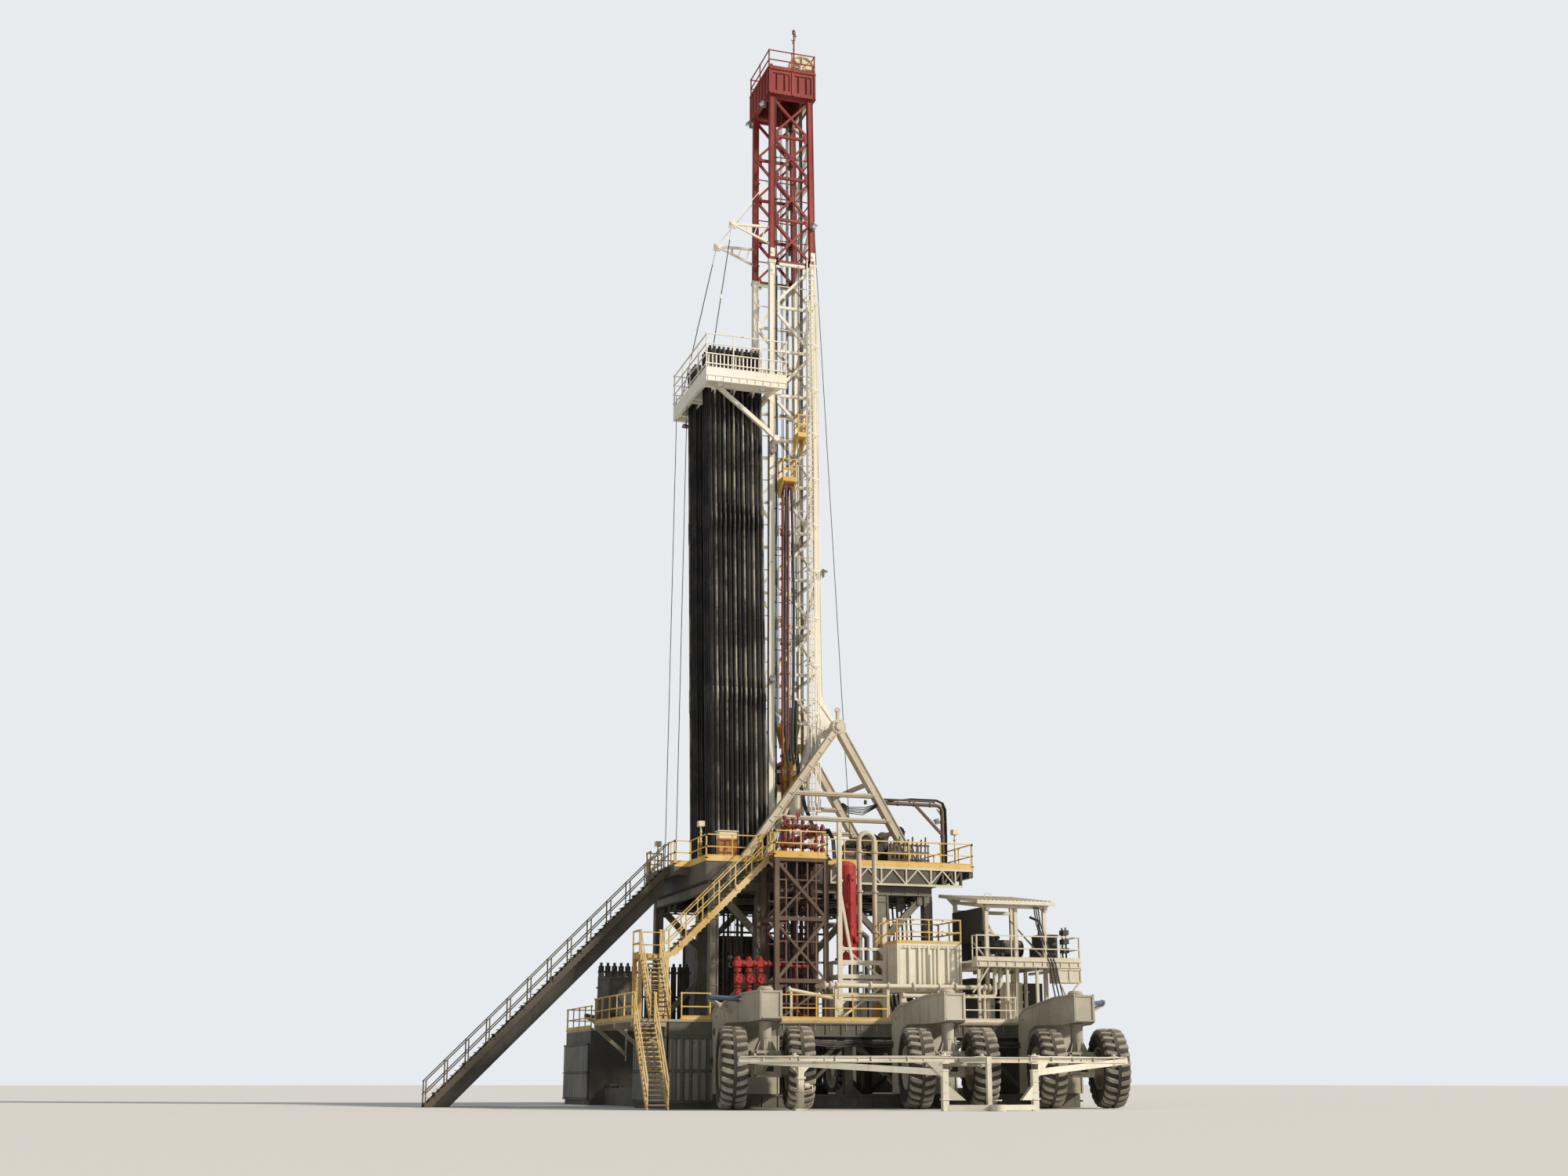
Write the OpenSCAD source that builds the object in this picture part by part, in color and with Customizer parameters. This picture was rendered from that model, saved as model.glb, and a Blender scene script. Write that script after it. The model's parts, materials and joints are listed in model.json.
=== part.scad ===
// Oil drilling rig on wheeled gooseneck arms, as a 1:2 scale model.
// Millimetres of the model: 500 mm stand for one metre of the real rig.
// X runs along the floor from the pipe ramp (-X) to the drawworks (+X), the tow frame is at -Y,
// Z is up, and the origin is on the ground below the well centre.

/* [Base] */
// Height of the base frames
base_h = 1750; // [1500:10:2000]
// Left end of the base frames
base_left = -4300; // [-4600:10:-4000]
// Right end of the base frames
base_right = 5050; // [4900:10:5400]
// Outer face of the base frames, from the centre line
base_out = 5200; // [5000:10:5400]
// Inner face of the base frames, from the centre line
base_in = 2300; // [2000:10:2350]
// Length of the ribbed tank at each end of a base frame
base_tank = 1150; // [900:10:1300]
// Size of the base chords
chord = 280; // [200:10:340]
// Thickness of the lower deck plate
deck_t = 50; // [30:5:80]
// Width of a base spreader beam
spreader_w = 400; // [300:10:500]

/* [Drill floor] */
// Height of the floor above the ground
floor_z = 5450; // [5300:10:5600]
// Depth of the floor beams with their plate
floor_depth = 500; // [400:10:560]
// Thickness of the floor plate
floor_t = 50; // [30:5:80]
// Half width of the floor
floor_half = 2750; // [2700:10:2850]
// Left edge of the floor
floor_left = -2850; // [-3000:10:-2800]
// Right edge of the floor
floor_right = 3700; // [3650:10:3900]
// Left edge of the porch at the head of the ramp
porch_left = -3225; // [-3400:5:-3100]
// Half width of that porch
porch_half = 1350; // [1200:10:1500]
// Bore of the rotary opening
rotary_bore = 476; // [400:2:520]

/* [Substructure] */
// Half distance between the outer columns along X
column_out = 2600; // [2500:10:2700]
// Half distance between the inner columns along X
column_in = 1450; // [1350:10:1550]
// Distance of the column frames from the centre line
column_y = 2500; // [2450:10:2550]
// Width of the outer columns
column_w = 200; // [160:10:240]
// Width of the inner columns
column_big = 300; // [240:10:340]

/* [Mast] */
// Front of the mast: centre of the front legs
mast_front = -675; // [-720:5:-640]
// Centre of the back legs at the floor
mast_back_foot = 625; // [600:5:680]
// Centre of the back legs under the crown
mast_back_top = 375; // [350:5:420]
// Distance of the leg centres from the middle plane
mast_y = 725; // [700:5:760]
// Width of a leg
leg_w = 140; // [120:5:150]
// Height of the joint between the lower and the upper mast
splice_z = 21200; // [20800:50:21600]
// Height of the underside of the crown block
crown_z = 26000; // [25800:50:26300]
// Height of the crown block
crown_h = 750; // [600:10:850]
// Height of the knee where the back legs end
knee_z = 9200; // [9000:50:9400]
// Bays in the lower mast
lower_bays = 13; // [12:1:14]
// Bays in the upper mast
upper_bays = 4; // [4:1:5]
// Width of the bracing bars
brace_w = 70; // [50:5:90]

/* [Racking board] */
// Height of the board's walkway
board_z = 17600; // [17200:50:18000]
// Left edge of the board
board_left = -2650; // [-2800:10:-2550]
// Right end of its side walkways
board_right = -550; // [-600:10:-500]
// Half width of the board
board_half = 1600; // [1500:10:1700]
// Width of the side walkways
board_walk = 480; // [400:10:520]
// Height of the board's guard rails
board_rail_h = 1050; // [900:10:1150]

/* [Drill pipe] */
// Diameter of a drill pipe
pipe_d = 70; // [60:1:80]
// Distance between the columns of pipe
pipe_pitch = 120; // [110:1:120]
// Columns of pipe along X
pipe_columns = 12; // [6:1:12]
// Rows of pipe on each side of the diving board
pipe_rows = 5; // [2:1:5]
// Lean of the pipe toward the ramp, in degrees
pipe_lean = 1; // [0:0.1:1.2]
// Height of the tool joints above the board
pipe_above = 950; // [700:10:1000]

/* [Wheels] */
// Diameter of a tyre
tyre_d = 1650; // [1500:10:1660]
// Width of a tyre
tyre_w = 550; // [450:10:580]
// Distance of the kingpins from the base frames
kingpin_out = 1400; // [1350:10:1500]
// Distance between the two tyres of a bogie
tyre_pitch = 1350; // [1300:10:1400]
// Steering angle of the near bogies, in degrees
steer = 11; // [0:0.5:12]
// Top of the arms at the kingpin
arm_top = 2330; // [2250:10:2400]
// Underside of the arms over the tyres
arm_under = 1740; // [1720:10:1780]
// Running clearance of what moves
clearance = 5; // [5:0.5:8]

/* [Hoist] */
// Underside of the top drive at rest
drive_z = 7100; // [7050:10:7300]
// Diameter of a crown sheave
sheave_d = 600; // [500:10:640]
// Diameter of the drilling line
line_d = 18; // [12:1:24]
// Centre of the drawworks drum along X
drum_x = 1950; // [1900:10:2050]
// Radius of the drawworks drum
drum_r = 300; // [250:5:320]

/* [Rails and stairs] */
// Height of a guard rail
rail_h = 550; // [500:5:600]
// Size of a rail tube
rail_w = 25; // [20:1:35]
// Distance between rail posts
rail_gap = 750; // [600:10:1000]
// Height of a toe board
toe_h = 75; // [60:5:100]
// Width of a stair
stair_w = 450; // [400:10:470]
// Rise of one step
step_rise = 100; // [90:1:110]

/* [Hidden] */
$fn = 32;
deck_z = base_h + deck_t;
floor_under = floor_z - floor_depth;
leg = leg_w / 2;
mast_in = mast_y - leg;
mast_out = mast_y + leg;
front_face = mast_front - leg;
kingpin_y = base_out + kingpin_out;
KINGPINS = [-2650, 1350, 4325];
near = -base_out;
nose_reach = 1200;
board_under = board_z - 210;
tyre_r = tyre_d / 2;
tow_y = -kingpin_y - nose_reach * cos(steer);
tow_shift = -nose_reach * sin(steer);
crown_top = crown_z + crown_h;
a_apex = [850, 8900];
a_foot = [2875, floor_z];
a_toe = [-1650, floor_z];
a_in = 1200;
a_out = 1400;
lean_shift = tan(pipe_lean) * (board_z - floor_z);
pipe_first = board_left + 270;
guide_x = 150;
guide_w = 60;
guide_y = mast_in - 35 - guide_w;

// Centre of the back legs at a height
function back_x(z) = mast_back_foot
    + (mast_back_top - mast_back_foot) * (z - floor_z) / (crown_z - floor_z);
// Height of a bay line in the lower mast, and in the upper one
function lower_bay(i) = floor_z + i * (splice_z - floor_z) / lower_bays;
function upper_bay(i) = splice_z + i * (crown_z - splice_z) / upper_bays;

// Box between two corners
module block(a, b) {
    translate(a) cube(b - a);
}

// Square bar between two points
module bar(a, b, w) {
    v = b - a;
    len = norm(v);
    translate(a) rotate([0, acos(v[2] / len), atan2(v[1], v[0])])
        translate([-w / 2, -w / 2, 0]) cube([w, w, len]);
}

// Round bar between two points
module rod(a, b, d) {
    v = b - a;
    len = norm(v);
    translate(a) rotate([0, acos(v[2] / len), atan2(v[1], v[0])]) cylinder(h = len, d = d);
}

// Flat strip between two points of a drawing
module strip(a, b, w) {
    v = b - a;
    translate(a) rotate(atan2(v[1], v[0])) translate([0, -w / 2]) square([norm(v), w]);
}

// Stands a drawing up along X, between two values of Y
module wall_x(y0, y1) {
    translate([0, y1, 0]) rotate([90, 0, 0]) linear_extrude(y1 - y0) children();
}

// Stands a drawing up along Y, between two values of X
module wall_y(x0, x1) {
    translate([x0, 0, 0]) rotate([90, 0, 90]) linear_extrude(x1 - x0) children();
}

// Repeats what it is given on both sides of the middle plane
module both_sides() {
    children();
    mirror([0, 1, 0]) children();
}

// Drawing of a straight guard rail
module rail_drawing(len, h = rail_h, rails = 2, toe = toe_h) {
    bays = max(1, round(len / rail_gap));
    for (i = [0:bays]) translate([i * (len - rail_w) / bays, 0]) square([rail_w, h]);
    for (j = [1:rails]) translate([0, j * h / rails - rail_w]) square([len, rail_w]);
    square([len, toe]);
}

// Guard rail along X on its own line
module rail_x(x0, x1, y, z, h = rail_h, rails = 2, toe = toe_h) {
    wall_x(y - rail_w / 2, y + rail_w / 2) translate([x0, z]) rail_drawing(x1 - x0, h, rails, toe);
}

// Guard rail along Y on its own line
module rail_y(y0, y1, x, z, h = rail_h, rails = 2, toe = toe_h) {
    in = rail_w + 2;
    wall_y(x - rail_w / 2, x + rail_w / 2) translate([y0 + in, z]) rail_drawing(y1 - y0 - 2 * in, h, rails, toe);
}

// One base frame: ribbed tanks at the ends, open girders between them
module base_frame() {
    left = base_left + base_tank;
    right = base_right - base_tank;
    rib = 50;
    block([base_left, -base_out, 0], [left, -base_in, base_h]);
    block([right, -base_out, 0], [base_right, -base_in, base_h]);
    for (x = [base_left + 60:190:-3450]) block([x, -base_out - rib, 120], [x + rib, -base_out, base_h - 300]);
    for (y = [-base_out + 100:330:-base_in - 150]) {
        block([base_left - rib, y, 120], [base_left, y + rib, base_h - 300]);
        block([base_right, y, 120], [base_right + rib, y + rib, base_h - 300]);
    }
    for (y = [-base_out, -base_in - chord]) {
        block([left, y, 0], [right, y + chord, chord]);
        block([left, y, base_h - chord], [right, y + chord, base_h]);
        for (i = [1:4]) {
            x = left + i * (right - left) / 5;
            block([x - 90, y + 40, chord], [x + 90, y + chord - 40, base_h - chord]);
        }
    }
    for (i = [1:4]) {
        x = left + i * (right - left) / 5;
        block([x - 90, -base_out + chord, 0], [x + 90, -base_in - chord, chord]);
        block([x - 90, -base_out + chord, base_h - chord], [x + 90, -base_in - chord, base_h]);
    }
}

module base_frames() {
    color("#5d5a4e") both_sides() base_frame();
}

// Beams that tie the two base frames, the middle one under the well
module base_spreaders() {
    w = spreader_w / 2;
    color("#5d5a4e") for (x = [base_left + base_tank / 2, 0, base_right - base_tank / 2])
        block([x - w, -base_in, 0], [x + w, base_in, 400]);
}

ext_left = -5080;
ext_back = near + 3600;

// Plates on the base frames, with the near side's stretch to the stairs
module lower_decks() {
    color("#8a7f63") {
        block([base_left, -base_out, base_h], [base_right, -base_in, deck_z]);
        block([base_left, base_in, base_h], [base_right, base_out, deck_z]);
        block([ext_left, -base_out, base_h], [base_left, ext_back, deck_z]);
        for (y = [near, near + 1600, ext_back - 100]) {
            block([ext_left, y, base_h - 100], [base_left - 60, y + 100, base_h]);
            intersection() {
                bar([ext_left + 60, y + 50, base_h - 60], [base_left + 40, y + 50, base_h - 700], 70);
                block([ext_left, y - 50, 0], [base_left - 60, y + 150, base_h]);
            }
            block([base_left - 60, y, base_h - 760], [base_left - 50, y + 100, base_h]);
        }
    }
}

second_x = -4550;
third_x = ext_left + 30;
third_y = -base_out;

module lower_deck_rails() {
    edge = rail_w / 2;
    color("#d9a53c") {
        // Near side, between the arms
        for (s = [[second_x + stair_w + 60, -3400], [-1900, 600], [2100, 3580]])
            rail_x(s[0], s[1], -base_out + edge, deck_z);
        rail_x(third_x + stair_w + 15, second_x - 10, -base_out + edge, deck_z);
        // Left end
        rail_y(-base_out + rail_w, ext_back, ext_left + edge, deck_z);
        rail_x(ext_left + rail_w, base_left, ext_back - edge, deck_z);
        // Right end of the near deck
        rail_y(-base_out, -base_in, base_right - edge, deck_z);
        // Far side, between the arms
        for (s = [[base_left, -3400], [-1900, 600], [2100, 3580]])
            rail_x(s[0], s[1], base_out - edge, deck_z);
        rail_y(base_in, base_out - rail_w, base_left + edge, deck_z);
        rail_y(base_in, base_out, base_right - edge, deck_z);
    }
}

// One row of columns between the lower deck and the floor
module column_frame() {
    mid = (deck_z + floor_under) / 2;
    wall_x(-column_y - column_w / 2, -column_y + column_w / 2) {
        for (s = [-1, 1]) {
            translate([s * column_out - column_w / 2, deck_z]) square([column_w, floor_under - deck_z]);
            translate([s * column_in - column_big / 2, deck_z]) square([column_big, floor_under - deck_z]);
        }
        translate([-column_out, floor_under - 200]) square([2 * column_out, 200]);
    }
    wall_x(-column_y - 60, -column_y + 60) {
        for (s = [-1, 1]) {
            strip([s * column_out, floor_under - 120], [s * column_in, mid + 300], 150);
            strip([s * column_out, deck_z + 120], [s * column_in, mid - 300], 120);
            strip([s * column_in, mid + 400], [s * 400, floor_under - 120], 130);
        }
    }
}

module substructure_frames() {
    color("#6e6a59") both_sides() column_frame();
}

// Beams across the substructure, between the two rows of columns
module substructure_cross_beams() {
    y = column_y - column_w / 2;
    color("#6e6a59") for (x = [-column_out, -column_in, column_in, column_out])
        block([x - 80, -y, floor_under - 190], [x + 80, y, floor_under - 20]);
}

// Floor plate on its beams, with the rotary opening and the trusses below its right end
module drill_floor() {
    beam = 160;
    color("#4f4b40") difference() {
        union() {
            block([floor_left, -floor_half, floor_z - floor_t], [floor_right, floor_half, floor_z]);
            block([porch_left, -porch_half, floor_z - floor_t], [floor_left, porch_half, floor_z]);
            block([porch_left, -porch_half, floor_z - 250], [porch_left + 100, porch_half, floor_z - floor_t]);
            for (s = [-1, 1]) block([porch_left + 100, s * (porch_half - 50) - 50, floor_z - 250],
                [floor_left, s * (porch_half - 50) + 50, floor_z - floor_t]);
            for (y = [-floor_half, -column_y - beam / 2, -700, 700 - beam, column_y - beam / 2, floor_half - beam])
                block([floor_left, y, floor_under], [column_out + 150, y + beam, floor_z - floor_t]);
            for (x = [floor_left, -column_in - beam / 2, -600 - beam, 600, column_in - beam / 2, column_out])
                block([x, -floor_half, floor_under], [x + beam, floor_half, floor_z - floor_t]);
            block([-600, -700 + beam, floor_z - 300], [600, 700 - beam, floor_z - floor_t]);
            block([floor_right - 100, -floor_half, floor_z - 250], [floor_right, floor_half, floor_z - floor_t]);
            for (s = [-1, 1]) wall_x(s * (floor_half - 50) - 50, s * (floor_half - 50) + 50)
                floor_truss_drawing();
        }
        translate([0, 0, floor_under - 10]) cylinder(h = floor_depth + 20, d = rotary_bore);
    }
}

// Light truss that carries the right end of the floor
module floor_truss_drawing() {
    x0 = column_out + 100;
    x1 = floor_right - 300;
    bays = 3;
    step = (x1 - x0) / bays;
    low = floor_under + 20;
    high = floor_z - floor_t;
    translate([x0, low]) square([x1 - x0, 50]);
    translate([x0, high - 60]) square([floor_right - x0, 60]);
    for (i = [0:bays]) strip([x0 + i * step, low + 25], [x0 + i * step, high - 20], 45);
    for (i = [0:bays - 1]) strip([x0 + i * step, low + 25], [x0 + (i + 1) * step, high - 30], 45);
}

deck_left = -1600;
deck_right = -330;
deck_near = -floor_half - 1150;
stair_y = -floor_half - 550;

module floor_rails() {
    e = rail_w / 2;
    h = floor_half - e;
    color("#dca63a") {
        rail_x(floor_left, deck_left, -h, floor_z);
        rail_x(deck_right, floor_right, -h, floor_z);
        rail_y(-floor_half, floor_half, floor_right - e, floor_z);
        rail_x(floor_left, floor_right, h, floor_z);
        for (s = [-1, 1]) {
            rail_y(min(s * (porch_half - rail_w), s * floor_half), max(s * (porch_half - rail_w), s * floor_half),
                floor_left + e, floor_z);
            rail_x(porch_left, floor_left + rail_w, s * (porch_half - e), floor_z);
            rail_y(min(s * 950, s * porch_half), max(s * 950, s * porch_half), porch_left + e, floor_z);
        }
        // Platform by the standpipe manifold, beside the head of the stair
        rail_x(deck_left, deck_right, deck_near + e, floor_z);
        rail_y(deck_near, -floor_half + rail_w, deck_right - e, floor_z);
        rail_y(deck_near, stair_y - stair_w / 2 - 20, deck_left + e, floor_z);
        rail_y(stair_y + stair_w / 2 + 20, -floor_half + rail_w, deck_left + e, floor_z);
    }
}

// Legs of one side of the lower mast, drawn in the XZ plane
module lower_legs_drawing() {
    foot = [mast_front + 260, floor_z];
    translate([front_face, floor_z]) square([leg_w, splice_z - floor_z]);
    polygon([[back_x(knee_z) - leg, knee_z - 250], [back_x(knee_z) + leg, knee_z - 250],
        [back_x(splice_z) + leg, splice_z], [back_x(splice_z) - leg, splice_z]]);
    // Knee plate that carries the apex of the A-frame
    polygon([[back_x(knee_z) - leg, knee_z + 500], [back_x(knee_z) + leg, knee_z + 500],
        [a_apex[0] + 130, a_apex[1] + 140], [a_apex[0] + 130, a_apex[1] - 140],
        [back_x(knee_z) - leg, knee_z - 500]]);
    // Diagonal from the knee down to the hinge foot
    polygon([[back_x(knee_z) - 150, knee_z - 100], [back_x(knee_z) + 90, knee_z - 200],
        [foot[0] + 100, floor_z], [foot[0] - 260, floor_z]]);
    translate([front_face - 40, floor_z]) square([560, 90]);
}

module lower_braces_drawing() {
    for (i = [1:lower_bays]) {
        z = lower_bay(i) - brace_w / 2;
        right = z > knee_z ? back_x(z) : back_x(knee_z) - (knee_z - z) * 0.25;
        if (z > knee_z - 2600) strip([mast_front, z], [right, z], brace_w);
    }
    for (i = [3:lower_bays - 1]) {
        z0 = lower_bay(i) - brace_w / 2;
        z1 = lower_bay(i + 1) - brace_w / 2;
        if (i % 2 == 0) strip([mast_front, z0], [back_x(z1), z1], brace_w);
        else strip([back_x(z0), z0], [mast_front, z1], brace_w);
    }
}

module mast_lower_sides() {
    color("#e9e2cf") both_sides() {
        wall_x(-mast_out, -mast_in) lower_legs_drawing();
        wall_x(-mast_y - brace_w / 2, -mast_y + brace_w / 2) lower_braces_drawing();
    }
}

module upper_legs_drawing() {
    translate([front_face, splice_z]) square([leg_w, crown_z - splice_z]);
    polygon([[back_x(splice_z) - leg, splice_z], [back_x(splice_z) + leg, splice_z],
        [back_x(crown_z) + leg, crown_z], [back_x(crown_z) - leg, crown_z]]);
}

module upper_braces_drawing() {
    for (i = [0:upper_bays]) {
        z = min(upper_bay(i) + brace_w / 2, crown_z - brace_w / 2);
        strip([mast_front, z], [back_x(z), z], brace_w);
    }
    for (i = [0:upper_bays - 1]) {
        z0 = upper_bay(i) + brace_w * 0.6;
        z1 = min(upper_bay(i + 1) + brace_w * 0.4, crown_z - brace_w * 0.6);
        strip([mast_front, z0], [back_x(z1), z1], brace_w * 0.8);
        strip([back_x(z0), z0], [mast_front, z1], brace_w * 0.8);
    }
}

module mast_upper_sides() {
    color("#8f2a22") both_sides() {
        wall_x(-mast_out, -mast_in) upper_legs_drawing();
        wall_x(-mast_y - brace_w / 2, -mast_y + brace_w / 2) upper_braces_drawing();
    }
}

// Lattice between the two back legs, from the knee to the crown
module mast_back_bracing() {
    levels = concat([for (i = [4:lower_bays]) lower_bay(i)], [for (i = [1:upper_bays]) upper_bay(i)]);
    last = len(levels) - 1;
    w = brace_w;
    color("#d8cdb4") intersection() {
        union() {
            for (i = [0:last]) {
                z = min(levels[i], crown_z - w / 2);
                bar([back_x(z), -mast_y, z], [back_x(z), mast_y, z], w);
            }
            for (i = [0:last - 1]) {
                z0 = levels[i];
                z1 = min(levels[i + 1], crown_z - w / 2);
                s = i % 2 == 0 ? 1 : -1;
                bar([back_x(z0), -s * mast_y, z0], [back_x(z1), s * mast_y, z1], w);
            }
        }
        block([0, -mast_in, knee_z], [1000, mast_in, crown_z]);
    }
}

crown_left = -800;
crown_right = 500;
crown_half = 850;
sheave_z = crown_top + 110;
fast_slot = 33;

// Box of beams that carries the sheaves, with its deck
module crown_block() {
    wall = 100;
    color("#8f2a22") difference() {
        block([crown_left, -crown_half, crown_z], [crown_right, crown_half, crown_top]);
        block([crown_left + wall, -crown_half + wall, crown_z - 1],
            [crown_right - wall, crown_half - wall, crown_top - 50]);
        block([-340, -460, crown_z], [340, 460, crown_top + 1]);
        // Slot for the fast sheave
        block([330, -fast_slot, crown_top - 140], [crown_right + 1, fast_slot, crown_top + 1]);
        // Recessed panels in the two long faces
        for (s = [-1, 1]) for (x = [crown_left + 110, crown_left + 720])
            block([x, s * crown_half - 25, crown_z + 120], [x + 470, s * crown_half + 25, crown_top - 120]);
    }
}

// Grooved sheave that turns about an axis along Y
module sheave(d, w) {
    r = d / 2;
    rotate([90, 0, 0]) rotate_extrude() difference() {
        polygon([[40, -w / 2], [r, -w / 2], [r, -w / 2 + 8], [r - groove, -8], [r - groove, 8], [r, w / 2 - 8],
            [r, w / 2], [40, w / 2]]);
        translate([r * 0.3, w / 2 - 15]) square([r * 0.45, 20]);
        translate([r * 0.3, -w / 2 - 5]) square([r * 0.45, 20]);
    }
}

line_y = [-300, -180, 180, 300];
groove = 30;
line_seat = 0.3;
block_sheave_d = 380;
fast_sheave_x = 270;

module crown_sheaves() {
    color("#d9a53c") {
        translate([0, 430, sheave_z]) rotate([90, 0, 0]) cylinder(h = 860, d = 80);
        for (y = line_y) translate([0, y, sheave_z]) sheave(sheave_d, 60);
        for (s = [-1, 1]) block([-420, s * 445 - 15, crown_top], [420, s * 445 + 15, sheave_z + 80]);
        translate([fast_sheave_x, 0, sheave_z + 60]) sheave(sheave_d * 0.9, 50);
        translate([fast_sheave_x, 70, sheave_z + 60]) rotate([90, 0, 0]) cylinder(h = 140, d = 80);
        for (s = [-1, 1]) block([fast_sheave_x - 60, s * 50 - 15, crown_top], [crown_right - 40, s * 50 + 15, sheave_z + 130]);
    }
}

beacon_z = 28050;

module crown_rails() {
    e = rail_w / 2;
    color("#8f2a22") {
        for (s = [-1, 1]) rail_x(crown_left, crown_right, s * (crown_half - e), crown_top);
        rail_y(-crown_half, crown_half, crown_left + e, crown_top);
        for (s = [-1, 1]) rail_y(s > 0 ? 200 : -crown_half, s > 0 ? crown_half : -200, crown_right - e, crown_top);
        translate([-60, -crown_half + 120, crown_top]) cylinder(h = beacon_z - crown_top - 90, d = 40);
        translate([-60, -crown_half + 120, beacon_z - 90]) cylinder(h = 90, d = 80);
    }
}

ladder_x = 330;
ladder_w = 200;
ladder_y = -mast_out - 130;
ladder_step = 150;

// Climbing ladder on the near side, with the hoops of its cage
module mast_ladder() {
    top = splice_z + 100;
    rungs = floor((top - floor_z - 200) / ladder_step);
    color("#efe9da") {
        wall_x(ladder_y - 15, ladder_y + 15) {
            for (s = [-1, 1]) translate([ladder_x + s * ladder_w / 2 - 15, floor_z]) square([30, top - floor_z]);
            for (i = [1:rungs]) translate([ladder_x - ladder_w / 2, floor_z + i * ladder_step]) square([ladder_w, 18]);
        }
        // Stand-offs to the mast's bay struts and back leg
        for (i = [4:2:lower_bays]) for (s = [-1, 1]) {
            x = ladder_x + s * ladder_w / 2;
            on_leg = x + 20 > back_x(lower_bay(i)) - leg;
            block([x - 15, ladder_y + 15, lower_bay(i) - brace_w + 15],
                [x + 15, on_leg ? -mast_out : -mast_y - brace_w / 2, lower_bay(i) - 15]);
        }
        for (i = [0:11]) translate([ladder_x, ladder_y - 15, floor_z + 1400 + i * 1200])
            linear_extrude(24) difference() {
                circle(d = ladder_w + 190);
                circle(d = ladder_w + 150);
                translate([-400, 0]) square([800, 400]);
            }
        for (i = [0:11]) for (s = [-1, 1]) translate([ladder_x + s * (ladder_w / 2 + 45) - 50, ladder_y - 25,
            floor_z + 1400 + i * 1200]) cube([100, 20, 24]);
        for (a = [-150, -120, -90, -60, -30]) translate([ladder_x + (ladder_w / 2 + 85) * cos(a),
            ladder_y - 15 + (ladder_w / 2 + 85) * sin(a), floor_z + 1400]) translate([-10, -10, 0])
            cube([20, 20, 11 * 1200 + 24]);
    }
}

// Rest platform beside the ladder and the stabbing basket
module mast_platforms() {
    color("#d9a53c") for (p = [[-120, lower_bay(9), 230], [-520, lower_bay(8), 360]]) {
        x0 = p[0];
        x1 = p[0] + p[2];
        z = p[1];
        block([x0, -mast_out - 420, z - 40], [x1, -mast_y - brace_w / 2, z]);
        rail_x(x0, x1, -mast_out - 420 + rail_w / 2, z);
        for (x = [x0 + rail_w / 2, x1 - rail_w / 2]) rail_y(-mast_out - 420, -mast_out + rail_w, x, z);
        for (x = [x0, x1 - 40]) wall_y(x, x + 40)
            polygon([[-mast_out - 380, z - 40], [-mast_out, z - 40], [-mast_out, z - 380], [-mast_out - 60, z - 380]]);
    }
}

standpipe_top = 14900;
standpipe_x = [-420, -270];
standpipe_y = -mast_out - 60;

// Twin red standpipes on the mast with their manifold on the platform
module standpipes() {
    low = floor_z + rail_h + 70;
    head = stair_y - 50;
    color("#9c2b24") {
        for (x = standpipe_x) {
            translate([x, standpipe_y, low]) cylinder(h = standpipe_top - low, d = 62);
            translate([x, standpipe_y, standpipe_top]) sphere(d = 62);
            // Gooseneck
            translate([x, standpipe_y - 130, standpipe_top]) rotate([0, 0, 90]) rotate([90, 0, 0])
                rotate_extrude(angle = 180) translate([130, 0]) circle(d = 62);
            translate([x, standpipe_y - 260, standpipe_top - 260]) cylinder(h = 260, d = 62);
            translate([x, standpipe_y, low]) sphere(d = 62);
            translate([x, head, low]) rotate([-90, 0, 0]) cylinder(h = standpipe_y - head, d = 62);
            translate([x, head, floor_z]) cylinder(h = 780, d = 62);
            for (z = [150, 330, 640]) translate([x, head, floor_z + z]) cylinder(h = 90, d = 120);
        }
        for (z = [260, 700]) translate([deck_left + 350, head, floor_z + z]) rotate([0, 90, 0])
            cylinder(h = deck_right - deck_left - 450, d = 70);
        translate([deck_left + 420, head, floor_z]) cylinder(h = 780, d = 62);
        for (z = [120, 420]) translate([deck_left + 420, head, floor_z + z]) cylinder(h = 90, d = 120);
    }
    // Clamps that hold the standpipes to the front leg and the bay struts
    color("#9c2b24") for (i = [4:2:7]) for (x = standpipe_x)
        block([x - 15, standpipe_y, lower_bay(i) - brace_w + 15], [x + 15, -mast_y - brace_w / 2, lower_bay(i) - 15]);
}

// Rails that the top drive's dolly runs on
module guide_rails() {
    z0 = floor_z;
    color("#77735f") both_sides() {
        block([guide_x, guide_y, z0], [guide_x + guide_w, guide_y + guide_w, crown_z]);
        for (i = [4:lower_bays]) block([guide_x, guide_y + guide_w, lower_bay(i) - brace_w + 5],
            [guide_x + guide_w, mast_y - brace_w / 2, lower_bay(i) - 5]);
        for (i = [1:upper_bays]) block([guide_x, guide_y + guide_w, upper_bay(i) - (i < upper_bays ? 0 : brace_w) + 5],
            [guide_x + guide_w, mast_y - brace_w / 2, upper_bay(i) + (i < upper_bays ? brace_w : 0) - 5]);
    }
}

block_z = drive_z + 1500;
block_top = block_z + 900;

// Travelling block: cheek plates round a row of sheaves
module travelling_block() {
    color("#d9a53c") {
        for (y = [-360, -240, -120, 120, 240, 360]) wall_x(y - 12, y + 12) hull() {
            translate([0, block_z + 500]) circle(r = 200);
            translate([-90, block_z + 60]) square([180, 40]);
        }
        translate([0, 372, block_z + 500]) rotate([90, 0, 0]) cylinder(h = 744, d = 90);
        for (y = line_y) translate([0, y, block_z + 500]) sheave(block_sheave_d, 50);
        block([-110, -372, block_z], [110, 372, block_z + 80]);
        for (s = [-1, 1]) block([-60, min(s * 372, s * 340), block_z + 640], [60, max(s * 372, s * 340), block_z + 760]);
    }
}

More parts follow.
